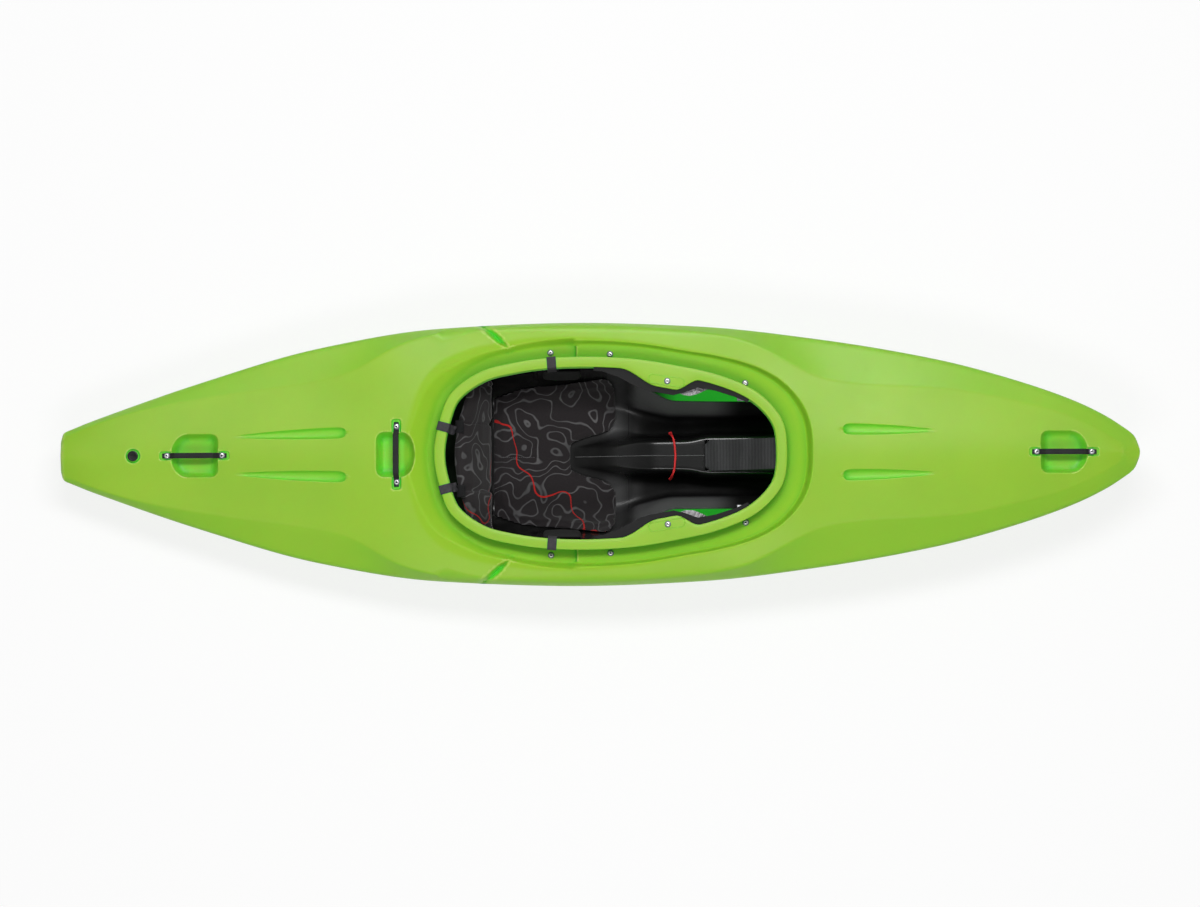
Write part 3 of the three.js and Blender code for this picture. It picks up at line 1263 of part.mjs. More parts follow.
// Foam pillars between the keel and the deck
const pillarCorner = 3;
const pillarPlaces = [
  pillarRearX,
  pillarRearX + pillarCorner,
  ...[0.612, 0.695, 0.79, 0.885, 0.98, 1.122].map(inCockpit),
];
const pillarTopAt = belowLedge([
  [0.543, 0.408], [0.6, 0.452], [0.695, 0.553], [0.79, 0.691], [0.885, 0.846], [0.956, 0.947],
  [0.992, 0.967], [1.17, 0.957],
]);
const pillarFrontPlaces = [1.122, 1.174, 1.227, 1.454].map(inCockpit);
const pillarCornerCut = 10;
function frontPillar() {
  const half = pillarWidth / 2;
  const body = alongHull(pillarPlaces).map((x, i) => {
    const wide = i === 0 ? half - pillarCornerCut : half;
    const floor = insideAt(x, 0).floor + seatGap;
    return [[x, -wide, floor], [x, wide, floor], [x, wide, pillarTopAt(x)], [x, -wide, pillarTopAt(x)]];
  });
  const front = alongHull(pillarFrontPlaces).map((x) => {
    const floor = insideAt(x, 0).floor + seatGap;
    const top = Math.min(x < pillarRiseX ? pillarTopAt(x) : deckHeight, insideAt(x, half).deck - seatGap * 2);
    return [[x, -half, floor], [x, half, floor], [x, half, top], [x, -half, top]];
  });
  return loft([...body, ...front.slice(1)]);
}
const pillarRiseX = inCockpit(1.217);
const rearPillarPlaces = [0.534, 0.193].map(onSternDeck);
const rearPillarHalf = 28;
function rearPillar() {
  return loft(
    alongHull(rearPillarPlaces).map((x) => {
      const { floor, deck } = insideAt(x, rearPillarHalf);
      const [low, high] = [floor + seatGap, deck - seatGap];
      return [[x, -rearPillarHalf, low], [x, rearPillarHalf, low], [x, rearPillarHalf, high], [x, -rearPillarHalf, high]];
    }),
  );
}
addMesh("front_pillar", frontPillar(), finishes.foam);
addMesh("rear_pillar", rearPillar(), finishes.foam);

// Grab handles and their screws
function handleBar() {
  const end = handleLength / 2;
  const tab = end - handleTab;
  const grip = tab - gripRamp;
  const low = seatGap - handleSlotDepth;
  const top = low + handleTabThickness;
  const half = [[end, low], [end, top], [tab, top], [grip, low + gripRise + gripThickness - gripChamfer]];
  const under = [[grip, low + gripRise], [tab - gripRamp / 2, low]];
  const crest = [grip - gripChamfer, low + gripRise + gripThickness];
  const mirror = (points) => points.map(([x, z]) => [-x, z]).reverse();
  const profile = [...half, crest, ...mirror([...half, crest]), ...mirror(under), ...under];
  const holes = [-1, 1].map((side) =>
    placed(screwHole(handleScrewLength), new THREE.Matrix4().makeTranslation((side * handlePitch) / 2, 0, top)),
  );
  return cutBy(slab(profile, -handleWidth / 2, handleWidth / 2), holes);
}
const gripChamfer = 3;
const bar = handleBar();
handles.forEach(({ name, x, turn, drop }) => addMesh(name, placed(bar, deckFrame(x, turn, drop)), finishes.rubber));
handleScrews.forEach(({ name, frame }) => addMesh(name, placed(screwBody(handleScrewLength), frame), finishes.steel));
leftScrews.forEach(({ name, frame }) => addPair(name, placed(screwBody(deckScrewLength), frame), finishes.steel));

// Drain plug, its gasket and the threaded fitting in the hull
const fittingLow = seatGap - drainRecessDepth;
const fittingTop = fittingLow + fittingFlange;
const fittingBore = plugStemRadius + boltGap;
const fitting = turned(
  [
    [fittingBore, fittingLow - fittingTubeLength],
    [fittingTubeRadius, fittingLow - fittingTubeLength],
    [fittingTubeRadius, fittingLow],
    [fittingFlangeRadius, fittingLow],
    [fittingFlangeRadius, fittingTop],
    [fittingBore, fittingTop],
    [fittingBore, fittingLow - fittingTubeLength],
  ],
  14,
);
const gasketLow = fittingTop + seatGap;
const gasketTop = gasketLow + gasketThickness;
const gasket = turned(
  [
    [fittingBore, gasketLow],
    [plugHeadRadius - seatGap, gasketLow],
    [plugHeadRadius - seatGap, gasketTop],
    [fittingBore, gasketTop],
    [fittingBore, gasketLow],
  ],
  14,
);
const plugLow = gasketTop + seatGap;
const plugSlotWidth = 3;
const plugSlotDepth = 3.5;
const plugEdgeShare = 0.7;
const plug = turned(
  [
    [0, plugLow - plugStemLength],
    [plugStemRadius, plugLow - plugStemLength],
    [plugStemRadius, plugLow],
    [plugHeadRadius, plugLow],
    [plugHeadRadius, plugLow + plugHeadHeight * plugEdgeShare],
    [plugHeadRadius - plugHeadHeight * (1 - plugEdgeShare), plugLow + plugHeadHeight],
    [0, plugLow + plugHeadHeight],
  ],
  14,
).subtract(
  block(
    [-plugHeadRadius, -plugSlotWidth / 2, plugLow + plugHeadHeight - plugSlotDepth],
    [plugHeadRadius, plugSlotWidth / 2, plugLow + plugHeadHeight + plugSlotDepth],
  ),
);
addMesh("drain_fitting", placed(fitting, drainFrame), finishes.rubber);
addMesh("drain_gasket", placed(gasket, drainFrame), finishes.rubber);
addMesh("drain_plug", placed(plug, drainFrame), finishes.rubber);

// The bulkhead footrest: two rails under the front deck and a plate that slides on them
const railThickness = 6;
const railHeight = 25;
const railY = halfBeam * 0.408;
const railFrontX = onForedeck(0.61);
const railBendX = inCockpit(0.98);
const railUnder = 10;
const railTop = Math.min(ledgeAt(railBendX) - hullWall, insideAt(railFrontX, railY).deck) - railUnder;
const footX = onForedeck(0.368);
const plateThickness = 6;
const plateSideGap = 6;
const plateUnder = 16;
const plateHalfWidth = railY - railThickness - plateSideGap;
const plateLow = deckHeight * 0.32;
const plateHigh = railTop - plateUnder;
const plateCorner = 22;
const windowTop = 10;
const windowHeight = 26;
const plateWindow = {
  nearY: plateHalfWidth * 0.188,
  farY: plateHalfWidth * 0.735,
  low: plateHigh - windowTop - windowHeight,
  high: plateHigh - windowTop,
};
const sleeveLength = 32;
const sleeveWall = 5;
const sleeveGap = 0.4;
const footPadThickness = 10;
const footPadMargin = 9;

const braceScrew = leftScrews[2];
const railTab = screwTab(braceScrew.frame, underWall + braceSheet + seatGap, railThickness);
const tabPoint = new THREE.Vector3(0, 0, -underWall - braceSheet - 2 * seatGap - railThickness / 2).applyMatrix4(
  braceScrew.frame,
);
function footRail() {
  const along = swept(
    [
      [tabPoint.x - tabHalfLength / 2, tabPoint.y - tabHalfLength, tabPoint.z - railHeight / 2 + railThickness / 4],
      [railBendX - tabHalfLength, railY + railThickness, railTop - railHeight / 2 - railThickness],
      [railBendX, railY, railTop - railHeight / 2],
      [railFrontX, railY, railTop - railHeight / 2],
    ],
    rectangle(railHeight, railThickness),
    [0, 0, 1],
  );
  return cutBy(along.add(railTab), [screwHolesLeft[2]]);
}
const railMountLength = 40;
const railMountX = onForedeck(0.569);
const railMountHalf = 11;
function railMount() {
  const stations = alongHull([railMountX - railMountLength / 2, railMountX + railMountLength / 2]);
  return loft(
    stations.map((x) => {
      const near = railY - railMountHalf;
      const far = railY + railMountHalf;
      const low = railTop + seatGap;
      const top = (y) => insideAt(x, y).deck - seatGap;
      return [[x, near, low], [x, far, low], [x, far, top(far)], [x, near, top(near)]];
    }),
  );
}
function footPlate() {
  const outline = roundedBox(plateHalfWidth, plateLow, plateHigh, plateCorner);
  const ring = (x) => outline.map(([y, z]) => [x, y, z]);
  const plate = loft([ring(footX - plateThickness / 2), ring(footX + plateThickness / 2)]);
  const { nearY, farY, low, high } = plateWindow;
  const window = block([footX - railHeight, nearY, low], [footX + railHeight, farY, high]);
  const sleeve = (grow) =>
    block(
      [footX - sleeveLength / 2 - grow, railY - railThickness / 2 - sleeveWall + grow, railTop - railHeight - sleeveWall + grow],
      [footX + sleeveLength / 2 + grow, railY + railThickness / 2 + sleeveWall - grow, railTop + sleeveWall - grow],
    );
  const shell = sleeve(0).subtract(sleeve(sleeveWall - sleeveGap));
  const arm = block(
    [footX - plateThickness / 2, plateHalfWidth - plateCorner / 2, railTop - railHeight],
    [footX + plateThickness / 2, railY - railThickness / 2 - sleeveGap, plateHigh],
  );
  const left = shell.add(arm);
  return joined([plate.subtract(window).subtract(mirrored(window)), left, mirrored(left)]);
}
// A rounded rectangle of [y, z] points about the middle plane
function roundedBox(half, low, high, corner) {
  const quarter = (y, z, from) => arc(corner, from, from + Math.PI / 2, 3, [y, z]);
  return [
    ...quarter(half - corner, high - corner, 0),
    ...quarter(corner - half, high - corner, Math.PI / 2),
    ...quarter(corner - half, low + corner, Math.PI),
    ...quarter(half - corner, low + corner, Math.PI * 1.5),
  ];
}
function footPad() {
  const outline = roundedBox(plateHalfWidth - footPadMargin, plateLow + footPadMargin, plateWindow.low - footPadMargin, plateCorner / 2);
  const rear = footX - plateThickness / 2 - seatGap;
  return loft([outline.map(([y, z]) => [rear - footPadThickness, y, z]), outline.map(([y, z]) => [rear, y, z])]);
}
addPair("foot_rail", footRail(), finishes.aluminium);
addPair("foot_rail_mount", railMount(), finishes.moulding);
addMesh("foot_plate", footPlate(), finishes.moulding);
addMesh("foot_plate_pad", footPad(), finishes.foam);

// Back band adjusters: a toothed strap on each side that runs through a ratchet on the tray's wall
const ladderY = halfCockpitWidth * 0.92;
const ladderThickness = 1.6;
const ladderHeight = 15;
const ladderPitch = 16;
const ladderTooth = 0.8;
const ladderFrontX = inCockpit(-0.116);
const ladderBendX = inCockpit(-0.591);
const ratchetX = inCockpit(-0.235);
const ladderZ = ledgeAt(ratchetX) * 0.629;
const ratchetLength = 50;
const ratchetWall = 1.6;
const ratchetGap = 0.6;
const leverAhead = 18;
const leverOut = 10.5;
const leverHinge = { x: ratchetX + leverAhead, y: ladderY + leverOut };
const leverLength = 44;
const leverThickness = 3;
const leverPin = 2.4;
const leverBarrel = 4;
const earThickness = 3;
const earReach = 7;

function ladderStrap() {
  const ring = bandShellRing(bandShellHalfWidth);
  const middle = bandFaceShares.map((_, i) => [0, 2].map((a) => (ring[i][a] + ring[ring.length - 1 - i][a]) / 2));
  const i = Math.max(middle.findIndex(([, z]) => z >= ladderZ), 1);
  const share = (ladderZ - middle[i - 1][1]) / (middle[i][1] - middle[i - 1][1]);
  const start = middle[i - 1][0] + (middle[i][0] - middle[i - 1][0]) * share;
  const startY = bandShellHalfWidth + seatGap + ladderThickness / 2;
  const path = [
    [start - ladderHeight / 2, startY, ladderZ],
    [start + ladderHeight / 2, startY, ladderZ],
    [ladderBendX, ladderY, ladderZ],
    [ladderFrontX, ladderY, ladderZ],
  ];
  const strap = swept(path, rectangle(ladderHeight, ladderThickness), [0, 0, 1]);
  const tooth = (x) =>
    block(
      [x - ladderTooth, ladderY, ladderZ - ladderHeight / 3],
      [x + ladderTooth, ladderY + ladderThickness / 2 + ladderTooth / 2, ladderZ + ladderHeight / 3],
    );
  const count = Math.floor((ladderFrontX - ladderBendX) / ladderPitch) - 1;
  const teeth = Array.from({ length: count }, (_, i) => tooth(ladderBendX + (i + 1) * ladderPitch));
  return joined([strap, ...teeth]);
}
const ratchetInner = ladderY - ladderThickness / 2 - ratchetGap;
const ratchetOuter = ladderY + ladderThickness / 2 + ratchetGap + ladderTooth / 2;
const ratchetLow = ladderZ - ladderHeight / 2 - ratchetGap;
const ratchetHigh = ladderZ + ladderHeight / 2 + ratchetGap;
function ratchetBase() {
  const half = ratchetLength / 2;
  const sleeve = block(
    [ratchetX - half, ratchetInner - ratchetWall, ratchetLow - ratchetWall],
    [ratchetX + half, ratchetOuter + ratchetWall, ratchetHigh + ratchetWall],
  ).subtract(block([ratchetX - 2 * half, ratchetInner, ratchetLow], [ratchetX + 2 * half, ratchetOuter, ratchetHigh]));
  const ear = (low) =>
    block(
      [leverHinge.x - earReach, ratchetOuter + ratchetWall / 2, low],
      [leverHinge.x + earReach, leverHinge.y + earReach / 2 + leverPin, low + earThickness],
    );
  const hole = placed(
    post(leverPin + sleeveGap, ratchetLow - railHeight, ratchetHigh + railHeight, 12),
    new THREE.Matrix4().makeTranslation(leverHinge.x, leverHinge.y, 0),
  );
  const ears = [ear(ratchetLow - ratchetWall), ear(ratchetHigh + ratchetWall - earThickness)];
  const wall = offsetPath(trayFacetPath(ratchetX), -traySheet - seatGap);
  const wallAt = (z) => wall[4][0] + ((wall[5][0] - wall[4][0]) * (z - wall[4][1])) / (wall[5][1] - wall[4][1]);
  const foot = slabAcross(
    [
      [wallAt(ratchetLow), ratchetLow],
      [ratchetInner - ratchetWall / 2, ratchetLow],
      [ratchetInner - ratchetWall / 2, ratchetHigh],
      [wallAt(ratchetHigh), ratchetHigh],
    ],
    ratchetX - half / 2,
    ratchetX + half / 2,
  );
  return joined([sleeve, foot, ...ears]).subtract(hole);
}
function ratchetLever() {
  const low = ratchetLow - ratchetWall + earThickness + sleeveGap;
  const high = ratchetHigh + ratchetWall - earThickness - sleeveGap;
  const at = new THREE.Matrix4().makeTranslation(leverHinge.x, leverHinge.y, 0);
  const barrel = placed(post(leverBarrel, low, high, 14), at);
  const pin = placed(post(leverPin, low - earThickness, high + earThickness, 12), at);
  const plate = block(
    [leverHinge.x - leverLength, leverHinge.y - leverThickness / 2, low],
    [leverHinge.x, leverHinge.y + leverThickness / 2, high],
  );
  return joined([barrel, pin, plate]);
}
addPair("ladder_strap", ladderStrap(), finishes.moulding);
addPair("ratchet_base", ratchetBase(), finishes.moulding);
addPair("ratchet_lever", ratchetLever(), finishes.aluminium);

export default part;
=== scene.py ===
import bpy
import bmesh
import math
import numpy as np
from mathutils import Matrix, Vector
from mathutils.geometry import delaunay_2d_cdt


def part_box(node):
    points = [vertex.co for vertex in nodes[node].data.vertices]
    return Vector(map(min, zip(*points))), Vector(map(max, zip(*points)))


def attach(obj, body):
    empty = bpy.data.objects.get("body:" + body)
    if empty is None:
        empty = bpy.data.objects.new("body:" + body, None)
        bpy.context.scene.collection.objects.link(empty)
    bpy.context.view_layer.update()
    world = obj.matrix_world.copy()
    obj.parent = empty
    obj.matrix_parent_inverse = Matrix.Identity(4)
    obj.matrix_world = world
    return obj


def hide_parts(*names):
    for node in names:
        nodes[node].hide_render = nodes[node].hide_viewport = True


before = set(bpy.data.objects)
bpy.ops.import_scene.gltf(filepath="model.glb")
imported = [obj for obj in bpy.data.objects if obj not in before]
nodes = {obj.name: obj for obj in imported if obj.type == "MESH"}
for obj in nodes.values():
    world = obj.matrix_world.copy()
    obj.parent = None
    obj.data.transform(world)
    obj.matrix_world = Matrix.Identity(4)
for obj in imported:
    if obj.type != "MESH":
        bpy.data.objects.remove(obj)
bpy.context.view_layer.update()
MM = 0.001

# Sizes, in millimetres
hull_length, hull_beam, deck_top = 2590, 632, 300
half_length, half_beam = hull_length / 2, hull_beam / 2
hull_wall = 5
rail_band = 20
cockpit_length, cockpit_width, cockpit_centre = 843, 461, 27
rim_front, rim_rear = 305, 262
rim_height, rim_thickness = 40, 6
rim_flange, rim_overhang, riser_wall = 25, 15, 6
rim_slope = (rim_front - rim_rear) / cockpit_length


# Mesh helpers
def smooth_table(rows):
    """A cubic through (place, value) rows that never overshoots them."""
    place = np.array([row[0] for row in rows], float)
    value = np.array([row[1] for row in rows], float)
    gap = np.diff(place)
    rise = np.diff(value) / gap
    slope = np.empty(len(place))
    slope[0], slope[-1] = rise[0], rise[-1]
    level = rise[:-1] * rise[1:] <= 0
    total = np.where(level, 1, rise[:-1] + rise[1:])
    slope[1:-1] = np.where(level, 0, 2 * rise[:-1] * rise[1:] / total)

    def at(x):
        x = np.clip(np.asarray(x, float), place[0], place[-1])
        i = np.clip(np.searchsorted(place, x, side="right") - 1, 0, len(gap) - 1)
        t = (x - place[i]) / gap[i]
        near = (1 + 2 * t) * (1 - t) ** 2 * value[i] + t * (1 - t) ** 2 * gap[i] * slope[i]
        far = t * t * (3 - 2 * t) * value[i + 1] - t * t * (1 - t) * gap[i] * slope[i + 1]
        return near + far

    return at


def smooth_step(low, high, x):
    """Rises from 0 at low to 1 at high, level at both."""
    t = np.clip((np.asarray(x, float) - low) / (high - low), 0, 1)
    return t * t * (3 - 2 * t)


def soft_min(a, b, radius):
    """The lower of two heights, with the corner between them rounded."""
    h = np.clip(0.5 + 0.5 * (b - a) / radius, 0, 1)
    return b + (a - b) * h - radius * h * (1 - h) / 2


def soft_max(a, b, radius):
    return -soft_min(-a, -b, radius)


def new_mesh(name, points, faces):
    """A mesh object from points in millimetres."""
    mesh = bpy.data.meshes.new(name)
    mesh.from_pydata([tuple(p) for p in np.asarray(points, float) * MM], [], faces)
    mesh.validate()
    mesh.polygons.foreach_set("use_smooth", [True] * len(mesh.polygons))
    piece = bpy.data.objects.new(name, mesh)
    bpy.context.scene.collection.objects.link(piece)
    return piece


def grid_faces(rows, columns, closed=False, start=0):
    """Squares between rows of points. A closed grid joins its last column to its first."""
    faces = []
    for r in range(rows - 1):
        for c in range(columns if closed else columns - 1):
            a = start + r * columns + c
            b = start + r * columns + (c + 1) % columns
            faces.append((a, b, b + columns, a + columns))
    return faces


def marked(piece, name, values):
    """Stores one value at each of a piece's points, for its finish to read."""
    layer = piece.data.attributes.new(name, "FLOAT", "POINT")
    layer.data.foreach_set("value", values)


def points_of(piece):
    """A piece's points in millimetres."""
    return np.array([v.co for v in piece.data.vertices]) / MM


# The hull's lines, as shares of half its length, of half its beam or of its breadth there, and of its height
lines = {
    "breadth": [
        (-1, 0.13), (-0.995, 0.178), (-0.979, 0.212), (-0.923, 0.299), (-0.739, 0.56), (-0.517, 0.821),
        (-0.296, 0.961), (-0.037, 1), (0.185, 0.968), (0.406, 0.866), (0.628, 0.707), (0.775, 0.544),
        (0.886, 0.382), (0.945, 0.261), (0.975, 0.185), (0.99, 0.125), (1, 0.03),
    ],
    "crease_breadth": [
        (-1, 0.8), (-0.92, 0.88), (-0.707, 0.747), (-0.543, 0.68), (-0.476, 0.7), (-0.369, 0.9),
        (-0.277, 0.96), (0, 0.97), (0.166, 0.95), (0.259, 0.92), (0.323, 0.82), (0.368, 0.72),
        (0.425, 0.637), (0.475, 0.626), (0.699, 0.7), (0.831, 0.69), (0.953, 0.46), (0.966, 0.3),
        (0.975, 0.1), (1, 0.1),
    ],
    "deck": [
        (-1, 0.573), (-0.979, 0.593), (-0.927, 0.613), (-0.739, 0.663), (-0.517, 0.74), (-0.406, 0.787),
        (-0.34, 0.817), (-0.154, 0.917), (0, 1), (0.166, 1.02), (0.332, 1.01), (0.406, 0.995),
        (0.54, 0.98), (0.695, 0.947), (0.831, 0.9), (0.927, 0.86), (0.981, 0.833), (1, 0.81),
    ],
    "crease": [
        (-1, 0.54), (-0.927, 0.593), (-0.707, 0.633), (-0.543, 0.68), (-0.369, 0.747), (-0.277, 0.753),
        (0, 0.81), (0.166, 0.833), (0.259, 0.873), (0.323, 0.913), (0.368, 0.937), (0.425, 0.94),
        (0.54, 0.933), (0.699, 0.9), (0.831, 0.863), (0.953, 0.83), (1, 0.8),
    ],
    "gunwale": [
        (-1, 0.5), (-0.77, 0.5), (-0.517, 0.533), (-0.309, 0.607), (-0.154, 0.65), (0, 0.667),
        (0.232, 0.69), (0.463, 0.727), (0.695, 0.75), (0.88, 0.752), (0.95, 0.735), (0.975, 0.728),
        (1, 0.745),
    ],
    "keel": [
        (-1, 0.45), (-0.981, 0.407), (-0.927, 0.353), (-0.739, 0.213), (-0.517, 0.073), (-0.371, 0.017),
        (-0.27, 0), (0.23, 0), (0.332, 0.013), (0.463, 0.067), (0.628, 0.19), (0.772, 0.35),
        (0.888, 0.527), (0.965, 0.67), (1, 0.735),
    ],
    "chine_breadth": [
        (-1, 0.7), (-0.739, 0.74), (-0.386, 0.8), (0, 0.82), (0.309, 0.8), (0.54, 0.7), (0.772, 0.55),
        (1, 0.5),
    ],
    "chine_rise": [
        (-1, 0.01), (-0.695, 0.05), (-0.232, 0.085), (0, 0.085), (0.309, 0.1), (0.618, 0.12),
        (0.849, 0.09), (1, 0.005),
    ],
}
fairing_step, fairing_run, fairing_keep = 2.5, 26.0, 60.0
stern_round, bow_round = 9.0, 4.0
crease_round_most, crease_round_ends, crease_round_run = 10, 5, 230
rail_round, chine_round, floor_round = 12, 62, 60
flatter_from, flatter_to, flatter_share = 450, 640, 0.65


def faired(rows):
    """A table evened out along the boat, but kept as it is near the two ends."""
    x = np.arange(-half_length, half_length + fairing_step / 2, fairing_step)
    raw = smooth_table(rows)(x / half_length)
    reach = int(3 * fairing_run / fairing_step)
    weight = np.exp(-0.5 * (np.arange(-reach, reach + 1) * fairing_step / fairing_run) ** 2)
    even = np.convolve(np.pad(raw, reach, mode="edge"), weight / weight.sum(), mode="valid")
    inside = smooth_step(0, fairing_keep, half_length - np.abs(x))
    value = raw + (even - raw) * inside
    return lambda place: np.interp(place, x, value)


fair = {name: faired(rows) for name, rows in lines.items()}


def end_round(x):
    """How far the section shrinks near the boat's two ends, so that they are rounded."""
    radius = np.where(x < 0, stern_round, bow_round)
    left = np.clip(radius - (half_length - np.abs(x)), 0, radius)
    return radius - np.sqrt(radius**2 - left**2)


def corners_at(x):
    """The corners of one half section, keel to deck, as an array of (y, z)."""
    shrink = float(end_round(x))
    breadth = half_beam * fair["breadth"](x) - shrink
    keel = deck_top * fair["keel"](x) + shrink
    gunwale = deck_top * fair["gunwale"](x)
    chine = min(keel + deck_top * fair["chine_rise"](x), gunwale - 1)
    deck = max(deck_top * fair["deck"](x) - shrink, gunwale + 1)
    crease = min(max(deck_top * fair["crease"](x) - shrink, gunwale + 0.8), deck - 0.1)
    crease_breadth = breadth * fair["crease_breadth"](x)
    band = min(rail_band / 2, (gunwale - chine) / 3, (crease - gunwale) / 3)
    return np.array([
        (0, keel), (breadth * 0.55, keel), (breadth * fair["chine_breadth"](x), chine),
        (breadth, gunwale - band), (breadth, gunwale + band), (crease_breadth, crease), (0, deck),
    ])


def rounded(before, corner, after, radius, count, most=0.45):
    """Points that round a corner."""
    def towards(other):
        run = other - corner
        return corner + run * min(radius / max(np.hypot(*run), 1e-9), most)

    start, end = towards(before), towards(after)
    t = np.linspace(0, 1, count)[:, None]
    return (1 - t) ** 2 * start + 2 * t * (1 - t) * corner + t * t * end


deck_points = 150


def section_at(x, wall=0.0):
    """The deck path from the middle out to the rail, and the lower path from there to the keel."""
    c = corners_at(x)
    if wall:
        run = np.diff(c, axis=0)
        run /= np.maximum(np.hypot(run[:, 0], run[:, 1]), 1e-9)[:, None]
        normal = np.stack([-run[:, 1], run[:, 0]], 1)
        before = np.vstack([normal[:1], normal])
        after = np.vstack([normal, normal[-1:]])
        scale = wall / (1 + (before * after).sum(1))
        moved = c + (before + after) * scale[:, None]
        moved[0], moved[-1] = (0, c[0, 1] + wall), (0, c[-1, 1] - wall)
        c = moved
    crease, deck = c[5], c[6]
    v = np.linspace(0, 1, deck_points)
    # away from the cockpit the deck lies flatter beside its crease
    flat = flatter_share * float(smooth_step(flatter_from, flatter_to, abs(x)))
    crown = (1 - flat) * (1 - v * v) + flat * (1 - 3 * v * v + 2 * v**3)
    top = np.stack([crease[0] * v, crease[1] + (deck[1] - crease[1]) * crown], 1)
    radius = crease_round_ends + crease_round_most * float(np.exp(-((x / crease_round_run) ** 2)))
    cut = np.searchsorted(top[:, 0], crease[0] - min(radius, crease[0] * 0.3))
    start, end = top[cut - 1], rounded(top[cut - 1], crease, c[4], radius, 9)[-1]
    t = np.linspace(0, 1, 9)[:, None]
    turn = (1 - t) ** 2 * start + 2 * t * (1 - t) * crease + t * t * end
    rail = rounded(crease, c[4], c[3], rail_round, 9)
    deck_path = np.vstack([top[: cut - 1], turn, rail])
    low = rounded(c[4], c[3], c[2], rail_round, 7)
    chine = rounded(c[3], c[2], c[1], chine_round, 13)
    floor = rounded(c[2], c[1], c[0], floor_round, 7)
    lower = np.vstack([rail[-1:], low, chine, floor, [c[0] + [c[1][0] * 0.3, 0]], [c[0]]])
    return deck_path, lower


# the places along the boat, closer at its rounded ends, and the shares of the breadth, closer at the rail
table_x = np.unique(np.concatenate([
    np.arange(-half_length + 10, half_length - 9, 5.0),
    [-half_length + d for d in (0, 0.4, 1.2, 2.5, 4, 6, 8)],
    [half_length - d for d in (0, 0.3, 0.9, 1.8, 3, 4.5, 6.5)],
]))
near_rail = 0.9 + 0.1 * np.sin(np.linspace(0, 1, 60)[1:] * math.pi / 2)
share_rows = np.concatenate([np.linspace(0, 0.9, 220), near_rail])


def deck_table(wall):
    """The deck's breadth at each place along the boat, and its height at each share of that breadth."""
    breadth, height = [], []
    for x in table_x:
        path, _ = section_at(x, wall)
        edge = path[-1, 0]
        breadth.append(edge)
        height.append(np.interp(share_rows * edge, np.maximum.accumulate(path[:, 0]), path[:, 1]))
        height[-1][-1] = path[-1, 1]
    return np.array(breadth), np.array(height)


tables = {wall: deck_table(wall) for wall in (0.0, float(hull_wall))}


def breadth_at(x, wall=0.0):
    return np.interp(x, table_x, tables[wall][0])


def plain_deck(x, y, wall=0.0):
    """The deck's height before anything is moulded into it."""
    edge, height = tables[wall]
    x, share = np.asarray(x, float), np.clip(np.abs(y) / breadth_at(x, wall), 0, 1)
    i = np.clip(np.searchsorted(table_x, x) - 1, 0, len(table_x) - 2)
    j = np.clip(np.searchsorted(share_rows, share) - 1, 0, len(share_rows) - 2)
    s = (x - table_x[i]) / (table_x[i + 1] - table_x[i])
    t = (share - share_rows[j]) / (share_rows[j + 1] - share_rows[j])
    near = height[i, j] * (1 - t) + height[i, j + 1] * t
    far = height[i + 1, j] * (1 - t) + height[i + 1, j + 1] * t
    return near * (1 - s) + far * s


# The cockpit rim
def rim_at(x):
    return (rim_front + rim_rear) / 2 + (x - cockpit_centre) * rim_slope


def ledge_at(x):
    return rim_at(x) - rim_height


def along_cockpit(x):
    return (x - cockpit_centre) / (cockpit_length / 2)


rim_shares = [
    (-1, 0), (-0.974, 0.305), (-0.905, 0.623), (-0.74, 0.846), (-0.548, 0.941), (-0.34, 0.99), (-0.097, 1),
    (0.162, 0.969), (0.423, 0.887), (0.597, 0.813), (0.771, 0.689), (0.893, 0.528), (0.979, 0.304), (1, 0),
]


def rim_loop(steps):
    """The left half of the rim's outer edge from stern to bow: points, and normals into the cockpit."""
    half = [(cockpit_centre + x * cockpit_length / 2, y * cockpit_width / 2) for x, y in rim_shares]
    knots = np.array([(half[1][0], -half[1][1])] + half + [(half[-2][0], -half[-2][1])])
    points, runs = [], []
    for i in range(1, len(knots) - 2):
        before, a, b, after = knots[i - 1 : i + 3]
        p, q = (b - before) / 2, (after - a) / 2
        last = i == len(knots) - 3
        for t in np.linspace(0, 1, steps + 1)[: None if last else -1]:
            near = (1 + 2 * t) * (1 - t) ** 2 * a + t * (1 - t) ** 2 * p
            points.append(near + t * t * (3 - 2 * t) * b - t * t * (1 - t) * q)
            runs.append((6 * t * t - 6 * t) * (a - b) + (1 - 4 * t + 3 * t * t) * p + (3 * t * t - 2 * t) * q)
    runs = np.array(runs)
    runs /= np.hypot(runs[:, 0], runs[:, 1])[:, None]
    normals = np.stack([runs[:, 1], -runs[:, 0]], 1)
    return np.array(points), normals


rim_points, rim_normals = rim_loop(11)
rim_points[[0, -1], 1] = 0
rim_normals[0], rim_normals[-1] = (1, 0), (-1, 0)


def rim_offset(distance):
    """The half loop moved inwards from the rim's outer edge. A negative distance goes outwards."""
    return rim_points + rim_normals * np.reshape(distance, (-1, 1))


